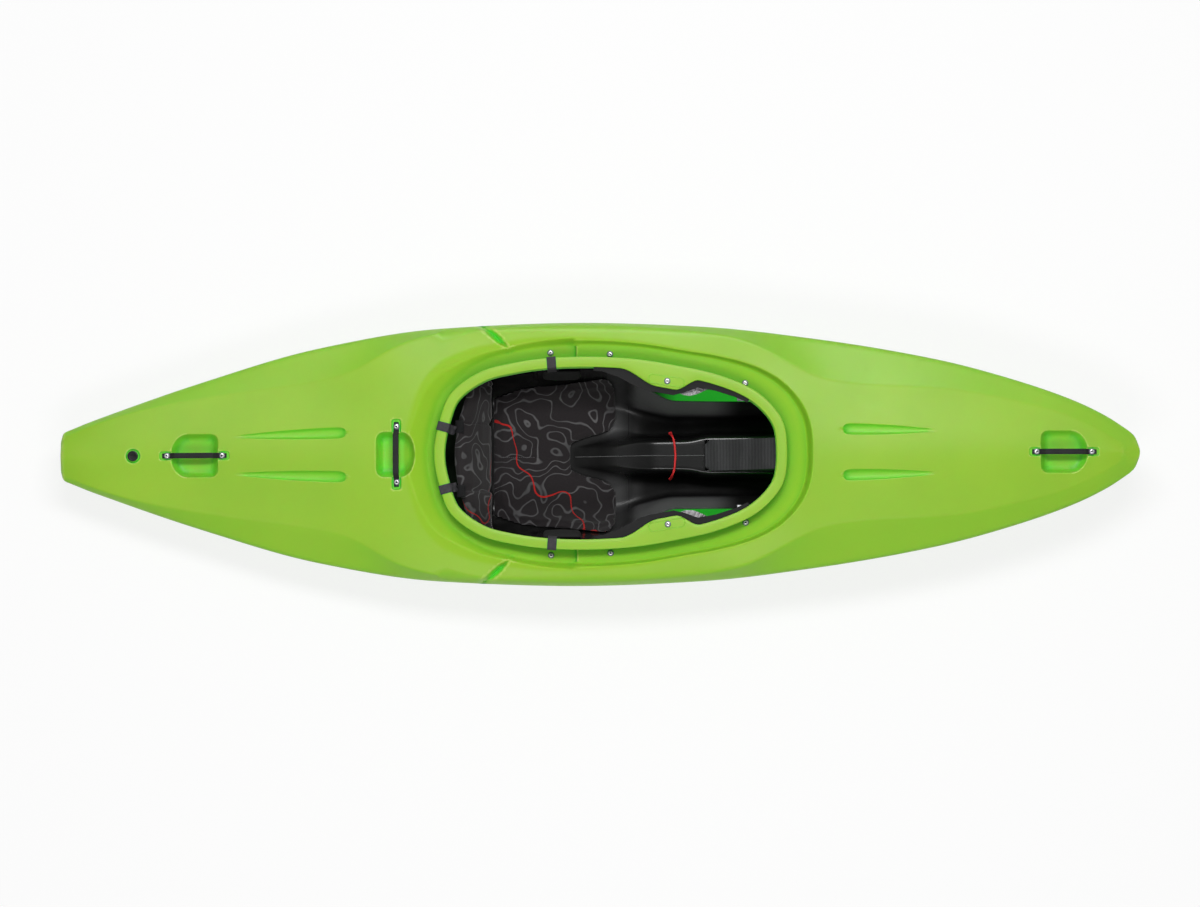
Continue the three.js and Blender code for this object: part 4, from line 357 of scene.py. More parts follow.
def rim_distance(x, y):
    """How far a place lies outside the rim's outer edge, and below zero inside it."""
    p = np.stack([np.ravel(x), np.abs(np.ravel(y))], 1)
    whole = np.vstack([rim_points[1:6][::-1] * (1, -1), rim_points, rim_points[-6:-1][::-1] * (1, -1)])
    a, run = whole[:-1], np.diff(whole, axis=0)
    best, sign = np.full(len(p), 1e9), np.ones(len(p))
    length = (run**2).sum(1)
    for k in range(len(a)):
        d = p - a[k]
        t = np.clip((d @ run[k]) / length[k], 0, 1)
        away = d - t[:, None] * run[k]
        near = np.hypot(away[:, 0], away[:, 1])
        closer = near < best
        best[closer] = near[closer]
        cross = run[k, 0] * d[:, 1] - run[k, 1] * d[:, 0]
        sign[closer] = np.where(cross[closer] > 0, 1, -1)
    return np.reshape(best * sign, np.shape(x))


ledge_width = smooth_table([(-0.9, 18), (-0.4, 31), (0.4, 34), (1, 50)])
ledge_run = smooth_table([(-0.95, 58), (-0.6, 30), (0, 17), (0.4, 13), (1, 12)])
ledge_rise = 30
pocket_rear, pocket_front, pocket_depth = -213, -57, 11


# What is moulded into the deck
recess_width = 106
handles = [
    {"name": "bow_handle", "x": 1111.3, "turned": False, "drop": 0, "length": 114, "round_to": 1},
    {"name": "stern_handle", "x": -970.8, "turned": False, "drop": 0, "length": 114, "round_to": -1},
    {"name": "rear_deck_handle", "x": -485.2, "turned": True, "drop": 4, "length": 95, "round_to": 1},
]
handle_pitch, handle_tab, handle_width, handle_reach = 133, 22, 13, 110
slot_half_length, slot_half_width, slot_depth = (handle_pitch + handle_tab) / 2 + 5, handle_width / 2 + 2.5, 3
slot_corner = 3
drain_x, drain_radius, drain_depth = -1119, 16, 5
grooves = [
    {"blunt_x": -606, "tip_x": -870, "blunt_y": 53, "tip_y": 45},
    {"blunt_x": 582, "tip_x": 800, "blunt_y": 55, "tip_y": 51},
]
groove_depth, groove_half = 11, 13.5
groove_width = smooth_table([
    (0, 0.4), (0.02, 0.78), (0.06, 0.98), (0.12, 1), (0.4, 0.9), (0.66, 0.68), (0.84, 0.45), (1, 0.25),
])
notch_outer, notch_inner = np.array([-282.0, 312.0]), np.array([-212.0, 250.0])
notch_half, notch_depth = 10, 15


def deck_plane(x0, drop=0):
    """The height and slope of the deck's middle line at a place."""
    def middle(x):
        return deck_top * float(smooth_table(lines["deck"])(x / half_length))

    slope = (middle(x0 + 30) - middle(x0 - 30)) / 60
    return middle(x0) - drop, slope


def recess_outline(handle, grow=0.0, nose_points=28):
    """The finger recess's half outline from its square side round to its nose, on the left side."""
    half = recess_width / 2 + grow
    radius = half / 3
    back = -handle["length"] / 2 - grow
    nose_x = handle["length"] / 2 + grow - half * 0.75
    angle = np.linspace(math.pi, math.pi / 2, 9)
    corner = np.stack([back + radius + radius * np.cos(angle), half - radius + radius * np.sin(angle)], 1)
    angle = np.linspace(math.pi / 2, 0, nose_points)
    nose = np.stack([nose_x + half * 0.75 * np.cos(angle), half * np.sin(angle)], 1)
    side = np.linspace(0, half - radius, 9)[:-1]
    square = np.stack([np.full(len(side), back), side], 1)
    flank = np.linspace(corner[-1], nose[0], 10)[1:-1]
    outline = np.vstack([square, corner, flank, nose])
    return outline * (handle["round_to"], 1) + (handle["x"], 0)


def path_distance(x, y, path, inside_is_right):
    """A signed distance to an open path, above zero on its inner side."""
    p = np.stack([np.ravel(x), np.abs(np.ravel(y))], 1)
    a, run = path[:-1], np.diff(path, axis=0)
    best, sign = np.full(len(p), 1e9), np.ones(len(p))
    for k in range(len(a)):
        d = p - a[k]
        t = np.clip((d @ run[k]) / (run[k] @ run[k]), 0, 1)
        away = d - t[:, None] * run[k]
        near = np.hypot(away[:, 0], away[:, 1])
        closer = near < best - 1e-9
        best[closer] = near[closer]
        cross = run[k, 0] * d[:, 1] - run[k, 1] * d[:, 0]
        sign[closer] = np.where((cross[closer] < 0) == inside_is_right, 1, -1)
    return np.reshape(best * sign, np.shape(x))


def box_distance(x, y, half_x, half_y, corner=2.0):
    """A signed distance to a rounded rectangle, above zero inside it."""
    dx, dy = np.abs(x) - half_x + corner, np.abs(y) - half_y + corner
    outside = np.hypot(np.maximum(dx, 0), np.maximum(dy, 0))
    return corner - outside - np.minimum(np.maximum(dx, dy), 0)


# the crease turns round the bow's nose, and the deck falls away ahead of it
nose_y = np.linspace(65, 0, 40)
nose_x = smooth_table([
    (0, 1262), (6, 1260.5), (13, 1256), (21, 1249), (29.5, 1240), (38.5, 1228), (49, 1210), (65, 1181),
])(nose_y)
nose_path = np.stack([nose_x, nose_y], 1)
nose_whole = np.vstack([nose_path, nose_path[-2:-6:-1] * (1, -1)])
nose_fall = 0.5


def nose_cap(x, y):
    """The height that the deck keeps under near the nose."""
    ahead = -path_distance(x, y, nose_whole, True)
    return deck_top * fair["crease"](np.minimum(x, nose_x[-1])) - nose_fall * ahead


recess_paths = {}
for handle in handles:
    path = recess_outline(handle)
    tail = path[-2:-5:-1] * (1, -1)
    head = path[1:4][::-1] * (1, -1)
    recess_paths[handle["name"]] = np.vstack([head, path, tail])
recess_wall = smooth_table([
    (-3, -14), (-1, 0), (0.6, 2.4), (1.6, 4.4), (8, 16), (13, 21.8), (17, 23.6), (20, 24),
])


def in_recess(handle, x, y):
    """How far a place lies inside a handle's finger recess, and below zero outside it."""
    return path_distance(x, y, recess_paths[handle["name"]], handle["round_to"] > 0)


def slot_half(handle):
    """Half the size of the slot under a handle's bar, along X and Y."""
    return (slot_half_length, slot_half_width)[:: -1 if handle["turned"] else 1]


def in_slot(handle, x, y):
    """How far a place lies inside the slot under a handle's bar, and below zero outside it."""
    return box_distance(x - handle["x"], y, *slot_half(handle), corner=slot_corner)


def on_groove(groove, x):
    """A place's share of the way from a groove's blunt end to its tip, and the groove's middle line there."""
    share = (x - groove["blunt_x"]) / (groove["tip_x"] - groove["blunt_x"])
    return share, groove["blunt_y"] + (groove["tip_y"] - groove["blunt_y"]) * share


notch_run = notch_inner - notch_outer
notch_length = np.hypot(*notch_run)
notch_side = np.array([-notch_run[1], notch_run[0]]) / notch_length


def notch_drop(x, y, wall):
    """How deep the notch beside the cockpit's rear goes at a place. It fades out towards the ledge."""
    dx, dy = x - notch_outer[0], y - notch_outer[1]
    unit = notch_run / notch_length
    along = (dx * unit[0] + dy * unit[1]) / notch_length
    across = np.abs(dx * notch_side[0] + dy * notch_side[1])
    fade = 1 - smooth_step(0.55, 1.06, along)
    half = notch_half * (0.35 + 0.65 * fade) + wall * 0.3
    return notch_depth * fade * soft_max(1 - across / half, np.zeros_like(x), 0.25)


def deck_height(x, y, wall=0.0):
    """The deck with its ledge, pockets, notches, grooves, finger recesses and slots."""
    x, y = np.asarray(x, float), np.abs(np.asarray(y, float))
    z = plain_deck(x, y, wall)
    near = x > 1195
    if near.any():
        cap = nose_cap(x[near], y[near]) - wall
        z[near] += smooth_step(1195, 1245, x[near]) * (soft_min(z[near], cap, 2.5) - z[near])
    for groove in grooves:
        share, line = on_groove(groove, x)
        size = groove_width(share)
        across = np.abs(y - line) / (groove_half * size + 1e-6 + wall * 0.3)
        ends = smooth_step(-0.035, 0.02, share) * (1 - smooth_step(0.9, 1.02, share))
        z = z - groove_depth * np.minimum(size, 1) * ends * np.clip(1 - across**2.4, 0, 1) ** 0.9
    z = z - notch_drop(x, y, wall)
    for handle in handles:
        near = np.abs(x - handle["x"]) < handle_reach
        if not near.any():
            continue
        top, slope = deck_plane(handle["x"], handle["drop"])
        plane = top + slope * (x[near] - handle["x"])
        inside = in_recess(handle, x[near], y[near]) + wall * 0.7
        z[near] = soft_min(z[near], plane - recess_wall(np.minimum(inside, 20)) - wall, 3.5)
        slot = in_slot(handle, x[near], y[near]) + wall * 0.7
        z[near] = soft_min(z[near], plane - slot_depth - wall - np.clip((slot + 0.3) * 2.2, -14, 0), 1.2)
    near = np.hypot(x - drain_x, y) < 40
    if near.any():
        top, slope = deck_plane(drain_x)
        inside = drain_radius - np.hypot(x[near] - drain_x, y[near]) + wall * 0.7
        floor = top + slope * (x[near] - drain_x) - drain_depth - wall
        z[near] = soft_min(z[near], floor - np.clip(inside * 2.5, -14, 0), 2)
    near = (np.abs(x - cockpit_centre) < 560) & (np.abs(y) < 330)
    if near.any():
        xs, ys = x[near], y[near]
        out = rim_distance(xs, ys) - wall * 0.8
        width, slope_run = ledge_width(along_cockpit(xs)), ledge_run(along_cockpit(xs))
        floor = ledge_at(xs) - wall
        share = np.clip((xs - pocket_rear) / (pocket_front - pocket_rear), 0, 1)
        step = 1 - smooth_step(pocket_front, pocket_front + 5, xs)
        drop = np.where(xs < pocket_front, share, step) * pocket_depth
        drop = drop * smooth_step(-rim_overhang - 1, -rim_overhang + 5, out)
        climb = soft_max(out - width, np.zeros_like(out), 5) * ledge_rise / slope_run
        z[near] = soft_min(z[near], floor - drop + climb, 3)
    return z


# The hull's mesh
crease_steps = np.array([-14, -9, -6, -4, -2, 0, 2, 4, 6, 9, 14.0])
outside_shares = np.array([0.12, 0.27, 0.42, 0.56, 0.68, 0.78, 0.86, 0.92, 0.96, 0.985])


def deck_rows(x, wall):
    """Places across the left half of the deck, from its middle to its rail, with some close to the crease."""
    edge = float(breadth_at(x, wall))
    crease = min(max(float(corners_at(x)[5, 0]) - wall * 0.6, edge * 0.12), edge * 0.985)
    size = min(1.0, crease / 60, (edge - crease) / 30)
    near = crease + crease_steps * size
    inside = np.linspace(0, 1, 15)[:-1] * near[0]
    return np.concatenate([inside, near, near[-1] + (edge - near[-1]) * outside_shares])


def slot_loop(handle, grow):
    """The left half of the slot under a handle's bar, grown on all sides, from bow end to stern end."""
    half_x, half_y = slot_half(handle)
    hx, hy, r = half_x + grow, half_y + grow, slot_corner + max(grow, -1)
    angle = np.linspace(0, math.pi / 2, 6)

    def corner(sign):
        return np.stack([sign * (hx - r + r * np.cos(angle)), hy - r + r * np.sin(angle)], 1)

    if handle["turned"]:
        flank = np.linspace(0, hy - r, 14)[:-1]
        ahead, behind = (np.stack([np.full(13, sign * hx), flank], 1) for sign in (1, -1))
        return np.vstack([ahead, corner(1), corner(-1)[::-1], behind[::-1]]) + (handle["x"], 0)
    side = np.linspace([hx - r, hy], [-hx + r, hy], 24)[1:-1]
    return np.vstack([[[hx, 0]], corner(1), side, corner(-1)[::-1], [[-hx, 0]]]) + (handle["x"], 0)


# where points are laid beside each form, in millimetres or shares: closely outside, and sparsely within
outer_steps = {
    "pocket": (-1.5, 0, 1.2, 2.5, 3.8, 5.2, 7),
    "notch": (-14, -10.5, -8, -5, -2, 0, 2, 5, 8, 10.5, 14),
    "recess": (-8, -5, -3, -1.6, -0.4, 0.8, 2, 4, 6, 8, 10, 12, 14.5, 17, 20, 24),
    "slot": (-1.6, -0.6, 0.1, 0.9, 2, 3.5, 6),
    "nose": (-9, -6, -4, -2.5, -1, 0.5, 2, 4, 6, 9, 14, 20),
    "drain": (6, 11, 13.5, 14.8, 15.8, 16.6, 17.6, 19, 21.5),
    "groove": (-1.45, -1.15, -1, -0.93, -0.8, -0.55, -0.28, 0, 0.28, 0.55, 0.8, 0.93, 1, 1.15, 1.45),
}
inner_steps = {
    "pocket": (0, 5), "notch": (-8, 0, 8), "recess": (-6, 0, 6, 12), "slot": (), "nose": (), "drain": (16,),
    "groove": (-1, 0, 1),
}
groove_places = [-0.035, -0.02, -0.008, 0, 0.01, 0.02, 0.035, 0.055, 0.08, *np.linspace(0.12, 1.05, 22)]


def deck_sheet(wall, spacing, rim_inset, fine):
    """The left half of a deck as points and triangles, with points laid along everything moulded into it."""
    points, edges = [], []
    forms = outer_steps if fine else inner_steps

    def add_path(path):
        first = sum(len(p) for p in points)
        points.append(np.asarray(path))
        edges.extend((first + i, first + i + 1) for i in range(len(path) - 1))

    def keep_runs(path, keep):
        """Adds the stretches of a path that are wanted."""
        start = None
        for i, wanted in enumerate(list(keep) + [False]):
            if wanted and start is None:
                start = i
            if not wanted and start is not None:
                if i - start > 1:
                    add_path(path[start:i])
                start = None

    ends, close = table_x, 9
    if wall:
        ends, close = table_x[(table_x > -0.985 * half_length) & (table_x < 0.955 * half_length)], 1
    main_x = np.unique(np.concatenate([ends[::spacing], ends[:close], ends[-close:]]))
    edge = np.stack([main_x, breadth_at(main_x, wall)], 1)
    add_path(edge)
    rows = np.array([deck_rows(x, wall) for x in main_x])

    def outer_reach(x):
        return ledge_width(along_cockpit(x)) + ledge_run(along_cockpit(x)) * 1.7 + 12

    def free(p):
        """Which points are clear of everything moulded into the deck."""
        x, y = p[:, 0], p[:, 1]
        ok = np.ones(len(p), bool)
        near = np.abs(x - cockpit_centre) < 600
        ok[near] &= rim_distance(x[near], y[near]) > outer_reach(x[near]) + 3
        for handle in handles:
            near = np.abs(x - handle["x"]) < handle_reach
            if near.any():
                ok[near] &= in_recess(handle, x[near], y[near]) < -9
                ok[near] &= in_slot(handle, x[near], y[near]) < -7
        ok &= np.hypot(x - drain_x, y) > drain_radius + 10
        for groove in grooves:
            share, line = on_groove(groove, x)
            ok &= ~((share > -0.06) & (share < 1.06) & (np.abs(y - line) < groove_half * 1.5 + 4))
        near = x > 1232
        if near.any() and fine:
            ahead = -path_distance(x[near], y[near], nose_whole, True)
            ok[near] &= (ahead < -11) | (ahead > 22)
        return ok

    for k in range(rows.shape[1]):
        row = np.stack([main_x, rows[:, k]], 1)
        keep_runs(row, free(row))
    for side in (0, -1):
        across = np.append(rows[side], edge[side, 1])
        add_path(np.stack([np.full(len(across), main_x[side]), across], 1))
    # loops round the cockpit
    loop_step = 1 if fine else 3
    chosen = np.unique(np.append(np.arange(0, len(rim_points), loop_step), len(rim_points) - 1))
    reach = outer_reach(rim_points[:, 0])
    steps = [-rim_inset, -rim_inset + 4, -2, 3, 8, 13] if fine else [-rim_inset, -12, 0, 12]
    for distance in steps:
        path = rim_offset(-distance * np.ones(len(rim_points)))[chosen]
        path[[0, -1], 1] = 0
        add_path(path)
    width = ledge_width(along_cockpit(rim_points[:, 0]))
    low, count = width - 5, 22 if fine else 6
    for k in range(count):
        distance = low + (reach - low) * (k / (count - 1)) ** 1.15
        path = rim_offset(-distance)[chosen]
        path[[0, -1], 1] = 0
        keep_runs(path, (path[:, 1] >= 0) & (path[:, 1] < breadth_at(path[:, 0], wall) * 0.985))
    # the pocket's step
    for dx in forms["pocket"]:
        x = pocket_front + dx
        reach_y = np.interp(x, rim_points[:, 0], rim_points[:, 1])
        add_path(np.stack([np.full(14, x), np.linspace(reach_y - rim_inset + 6, reach_y + 27, 14)], 1))
    # the notch
    along = np.linspace(-0.12, 1.1, 26 if fine else 8)[:, None]
    for across in forms["notch"]:
        path = notch_outer + along * notch_run + notch_side * across
        keep_runs(path, path[:, 1] < breadth_at(path[:, 0], wall) * 0.992)
    # finger recesses and slots
    for handle in handles:
        for offset in forms["recess"]:
            path = recess_outline(handle, -offset, 28 if fine else 10)
            path[[0, -1], 1] = 0
            add_path(path)
        for grow in forms["slot"]:
            add_path(slot_loop(handle, grow))
        inner = np.stack(np.meshgrid(np.arange(-40, 41, 10.0), np.arange(0, 36, 9.0)), -1).reshape(-1, 2)
        spot = inner + (handle["x"], 0)
        points.append(spot[in_recess(handle, spot[:, 0], spot[:, 1]) > 24])
    # the crease round the nose
    part = nose_path[nose_path[:, 0] > 1230]
    run = np.gradient(part, axis=0)
    away = np.stack([-run[:, 1], run[:, 0]], 1) / np.hypot(run[:, 0], run[:, 1])[:, None]
    for offset in forms["nose"]:
        path = part + away * offset
        path[-1, 1] = 0
        add_path(path[path[:, 1] >= 0])
    # the drain's recess
    for radius in forms["drain"]:
        angle = np.linspace(math.pi, 0, 25)
        path = np.stack([drain_x + radius * np.cos(angle), radius * np.sin(angle)], 1)
        path[[0, -1], 1] = 0
        add_path(path)
    # the grooves
    share = np.array(groove_places)
    for groove in grooves:
        x = groove["blunt_x"] + (groove["tip_x"] - groove["blunt_x"]) * share
        line = groove["blunt_y"] + (groove["tip_y"] - groove["blunt_y"]) * share
        for across in forms["groove"]:
            add_path(np.stack([x, line + across * groove_half * groove_width(share)], 1))
    flat = np.vstack(points)
    flat[:, 1] = np.maximum(flat[:, 1], 0)
    made = delaunay_2d_cdt([Vector(p) for p in flat], edges, [], 0, 1e-5)
    found = np.array([tuple(v) for v in made[0]])
    found[:, 1] = np.where(found[:, 1] < 1e-4, 0, found[:, 1])
    faces = np.array([f for f in made[2] if len(f) == 3])
    middle = found[faces].mean(1)
    a, b, c = found[faces[:, 0]], found[faces[:, 1]], found[faces[:, 2]]
    area = (b[:, 0] - a[:, 0]) * (c[:, 1] - a[:, 1]) - (b[:, 1] - a[:, 1]) * (c[:, 0] - a[:, 0])
    edge_y = np.interp(middle[:, 0], edge[:, 0], edge[:, 1])
    keep = (middle[:, 1] < edge_y - 1e-6) & (np.abs(area) > 1e-7)
    keep &= rim_distance(middle[:, 0], middle[:, 1]) > -rim_inset
    faces, area = faces[keep], area[keep]
    faces[area < 0] = faces[area < 0][:, ::-1]
    height = deck_height(found[:, 0], found[:, 1], wall)
    on_edge = found[:, 1] > np.interp(found[:, 0], edge[:, 0], edge[:, 1]) - 1e-3
    height[on_edge] = plain_deck(found[on_edge, 0], found[on_edge, 1], wall)
    return np.column_stack([found, height]), faces, main_x


def lower_sheet(wall, main_x):
    """The left half of the hull from the rail down to the keel."""
    rows = np.array([section_at(x, wall)[1] for x in main_x])
    points = np.concatenate([np.repeat(main_x[:, None], rows.shape[1], 1)[..., None], rows], 2)
    points[:, 0, 1] = breadth_at(main_x, wall)
    points[:, 0, 2] = plain_deck(main_x, points[:, 0, 1], wall)
    return points


def rim_profile(inset_end, floor_inset):
    """The riser and flange at one point of the loop, as (inset, height over the rim's plane)."""
    inner, floor = inset_end, -rim_height
    o, r, t = rim_overhang, rim_overhang + riser_wall, rim_thickness
    return [
        (floor_inset, floor), (o - 3.2, floor + 0.6), (o - 1.2, floor + 2.2), (o, floor + 5), (o, -t - 6),
        (o - 0.8, -t - 2.2), (o - 2.8, -t - 0.4), (o - 6, -t), (3, -t), (1.2, -t + 0.6), (0.2, -t + 2),
        (0, -t / 2), (0.3, -1.7), (1.4, -0.5), (3.2, 0), (7, 0.35), ((inner + 3) / 2, 0.5),
        (inner - 7, 0.35), (inner - 3.2, 0), (inner - 1.2, -0.6), (inner - 0.2, -2), (inner, -t / 2),
        (inner - 0.4, -t + 1.4), (inner - 1.8, -t + 0.3), (max(inner - 4, r + 0.6), -t),
        (max(min(inner - 4.5, r + 3), r + 0.3), -t - 0.3), (r, -t - 3), (r, floor + 4), (r, floor - 1.5),
        (r + 1.5, floor - 4.4), (26, floor - hull_wall),
    ]


hook_reach, hook_rise, hook_fall = 33, (50, 150), (192, 245)
deck_inset = 10.0


def opening_inset(x):
    return rim_flange + hook_reach * smooth_step(*hook_rise, x) * (1 - smooth_step(*hook_fall, x))


def hull_piece():
    """The whole hull: outer and inner decks and bottoms, closed ends, and the cockpit rim between them."""
    outer, outer_faces, outer_x = deck_sheet(0.0, 2, deck_inset, True)
    inner, inner_faces, inner_x = deck_sheet(float(hull_wall), 5, 26.0, False)
    parts, faces, inside, start = [], [], [], 0

    def add(points, made, inner_side=False):
        nonlocal start
        parts.append(np.asarray(points, float).reshape(-1, 3))
        faces.extend(tuple(int(v) + start for v in f) for f in made)
        inside.extend([int(inner_side)] * len(made))
        start += len(parts[-1])

    add(outer, outer_faces)
    add(inner, inner_faces[:, ::-1], True)
    for wall, stations, flip in ((0.0, outer_x, False), (float(hull_wall), inner_x, True)):
        grid = lower_sheet(wall, stations)
        made = grid_faces(grid.shape[0], grid.shape[1])
        add(grid, made if flip else [f[::-1] for f in made], flip)
        for side in (0, -1):
            x = stations[side]
            y = np.append(deck_rows(x, wall), breadth_at(x, wall))
            top = np.stack([np.full(len(y), x), y, deck_height(np.full(len(y), x), y, wall)], 1)
            top[-1, 2] = plain_deck(x, y[-1], wall)
            ring = np.vstack([top, grid[side][1:]])
            centre = [x, 0, (ring[0, 2] + ring[-1, 2]) / 2]
            fan = [(0, i + 1, i + 2) for i in range(len(ring) - 1)]
            if (side == -1) != flip:
                fan = [f[::-1] for f in fan]
            add(np.vstack([[centre], ring]), fan, flip)
    rings = []
    opening = opening_inset(rim_points[:, 0])
    for i in range(len(rim_points)):
        profile = np.array(rim_profile(opening[i], deck_inset))
        place = rim_points[i] + rim_normals[i] * profile[:, :1]
        rings.append(np.column_stack([place, rim_at(place[:, 0]) + profile[:, 1]]))
    rings = np.array(rings)
    rings[0, :, 1] = rings[-1, :, 1] = 0
    # the first and last rows stand on the two decks
    rings[:, 0, 2] = deck_height(rings[:, 0, 0], rings[:, 0, 1], 0.0)
    rings[:, -1, 2] = deck_height(rings[:, -1, 0], rings[:, -1, 1], float(hull_wall))
    add(rings, [f[::-1] for f in grid_faces(rings.shape[0], rings.shape[1])])
    points = np.vstack(parts)
    mirror = points * (1, -1, 1)
    whole = np.vstack([points, mirror])
    all_faces = faces + [tuple(v + len(points) for v in f[::-1]) for f in faces]
    piece = new_mesh("hull_moulding", whole, all_faces)
    if len(piece.data.polygons) == 2 * len(inside):
        piece.data.polygons.foreach_set("material_index", inside * 2)
    bm = bmesh.new()
    bm.from_mesh(piece.data)
    bmesh.ops.remove_doubles(bm, verts=bm.verts, dist=3e-5)
    bmesh.ops.dissolve_degenerate(bm, edges=bm.edges, dist=1e-6)
    bmesh.ops.recalc_face_normals(bm, faces=bm.faces)
    bm.to_mesh(piece.data)
    bm.free()
    return piece


def bending(piece):
    """Marks how sharply a surface bends, in radians per metre: above zero on edges, below it in corners."""
    mesh = piece.data
    place, normal = np.empty(len(mesh.vertices) * 3), np.empty(len(mesh.vertices) * 3)
    mesh.vertices.foreach_get("co", place)
    mesh.vertices.foreach_get("normal", normal)
    place, normal = place.reshape(-1, 3), normal.reshape(-1, 3)
    ends = np.empty(len(mesh.edges) * 2, np.int64)
    mesh.edges.foreach_get("vertices", ends)
    a, b = ends.reshape(-1, 2).T
    run = place[b] - place[a]
    bent, weight = ((normal[b] - normal[a]) * run).sum(1), (run**2).sum(1)
    total, share = np.zeros(len(place)), np.full(len(place), 1e-12)
    for end in (a, b):
        np.add.at(total, end, bent)
        np.add.at(share, end, weight)
    marked(piece, "bend", total / share)


def ledge_shares(piece):
    """Marks the sunken ledge round the cockpit, which is duller than the deck."""
    x, y, z = points_of(piece).T
    value = np.zeros(len(x))
    near = (np.abs(x - cockpit_centre) < 540) & (z > ledge_at(x) - 25) & (z < rim_at(x) + 4)
    out = rim_distance(x[near], y[near])
    reach = ledge_width(along_cockpit(x[near])) + ledge_run(along_cockpit(x[near]))
    inner = (out > 1) | (z[near] < rim_at(x[near]) - rim_thickness - 1)
    value[near] = (1 - smooth_step(reach - 7, reach + 2, out)) * (out > -rim_overhang - 1.5) * inner
    marked(piece, "ledge", value)


# The camera
def make_camera():
    """A long lens far above the boat, turned a little off the vertical as in the photograph."""
    camera_data = bpy.data.cameras.new("camera")
    camera_data.lens, camera_data.sensor_width = 200, 36
    camera_data.clip_end = 100
    camera = bpy.data.objects.new("camera", camera_data)
    bpy.context.scene.collection.objects.link(camera)
    tilt, roll, distance = math.radians(2.2), math.radians(0.2), 15.94
    camera.location = (0, -distance * math.sin(tilt), 0.25 + distance * math.cos(tilt))
    camera.rotation_euler = (tilt, 0, -roll)
    bpy.context.scene.camera = camera


# Bpy helpers
def only(piece):
    """Makes one piece the only selected and active one."""
    for other in list(bpy.context.selected_objects):
        other.select_set(False)
    piece.select_set(True)
    bpy.context.view_layer.objects.active = piece


def start(name):
    """Names the primitive that was just added, with nothing else selected."""
    piece = bpy.context.active_object
    piece.name = piece.data.name = name
    only(piece)
    bpy.ops.object.transform_apply(location=True, rotation=True, scale=True)
    return piece


def block(name, low, high):
    """A box between two corners, in millimetres, ready to be shaped."""
    bpy.ops.object.select_all(action="DESELECT")
    low, high = Vector(low) * MM, Vector(high) * MM
    bpy.ops.mesh.primitive_cube_add(size=1, location=(low + high) / 2)
    bpy.context.active_object.scale = high - low
    return start(name)


def disc(name, radius, depth, sides, low):
    """A short cylinder on the Z axis, in millimetres, that stands on a height."""
    bpy.ops.object.select_all(action="DESELECT")
    middle = (0, 0, (low + depth / 2) * MM)
    bpy.ops.mesh.primitive_cylinder_add(vertices=sides, radius=radius * MM, depth=depth * MM, location=middle)
    return start(name)


def editing(piece):
    only(piece)
    bpy.ops.object.mode_set(mode="EDIT")
    bpy.ops.mesh.select_mode(type="FACE")
    bpy.ops.mesh.select_all(action="DESELECT")


def done():
    bpy.ops.object.mode_set(mode="OBJECT")


def pick(piece, wanted):
    """Selects the faces of a piece whose middle, in millimetres, and normal are wanted."""
    bpy.ops.mesh.select_mode(type="FACE")
    bpy.ops.mesh.select_all(action="DESELECT")
    shape = bmesh.from_edit_mesh(piece.data)
    for face in shape.faces:
        if wanted(face.calc_center_median() / MM, face.normal):
            face.select_set(True)
    shape.select_flush_mode()
    bmesh.update_edit_mesh(piece.data)


def cut_across(piece, axis, places):
    """Cuts a piece with planes square to an axis, at places in millimetres."""
    for place in places:
        bpy.ops.mesh.select_all(action="SELECT")
        point, normal = [0, 0, 0], [0, 0, 0]
        point[axis], normal[axis] = place * MM, 1
        bpy.ops.mesh.bisect(plane_co=point, plane_no=normal)


def inset_by(width, rise=0.0):
    """Insets the selected faces by a width, and lifts what is within by a rise, in millimetres."""
    bpy.ops.mesh.inset(thickness=width * MM, depth=rise * MM)


def extrude_by(*move):
    """Extrudes the selected faces by a move in millimetres."""
    bpy.ops.mesh.extrude_region_move(TRANSFORM_OT_translate={"value": Vector(move) * MM})


def with_modifier(piece, kind, **settings):
    """Adds a modifier with its settings and applies it."""
    only(piece)
    modifier = piece.modifiers.new(kind.title(), kind)
    for key, value in settings.items():
        setattr(modifier, key, value)
    bpy.ops.object.modifier_apply(modifier=modifier.name)


def bevelled(piece, width, segments, angle):
    limits = {"limit_method": "ANGLE", "angle_limit": math.radians(angle)}
    with_modifier(piece, "BEVEL", width=width * MM, segments=segments, **limits)


def eased(piece, width, segments=3, angle=30):
    """Rounds a piece's edges by a width in millimetres and shades it."""
    bevelled(piece, width, segments, angle)
    shaded(piece)


def shaded(piece, angle=40):
    only(piece)
    bpy.ops.object.shade_smooth_by_angle(angle=math.radians(angle))


def outward(piece):
    """Merges a piece's doubled points and turns its faces outwards."""
    editing(piece)
    bpy.ops.mesh.select_all(action="SELECT")
    bpy.ops.mesh.remove_doubles(threshold=1e-6)
    bpy.ops.mesh.normals_make_consistent(inside=False)
    done()


def copied(piece, name, matrix):
    """A copy with its own mesh, placed by a matrix in metres."""
    twin = bpy.data.objects.new(name, piece.data.copy())
    twin.data.transform(matrix)
    if matrix.determinant() < 0:
        twin.data.flip_normals()
    bpy.context.scene.collection.objects.link(twin)
    return twin


def finished(piece, finish, slot, body, *stands_for):
    """Gives a piece its finish and body, and the nodes that it stands for. Its slot argument is not used."""
    # clearing also resets the faces' material numbers, so it is done only where there is something to clear
    if piece.data.materials:
        piece.data.materials.clear()
    piece.data.materials.append(finish)
    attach(piece, body)
    if stands_for:
        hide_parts(*stands_for)
    return piece


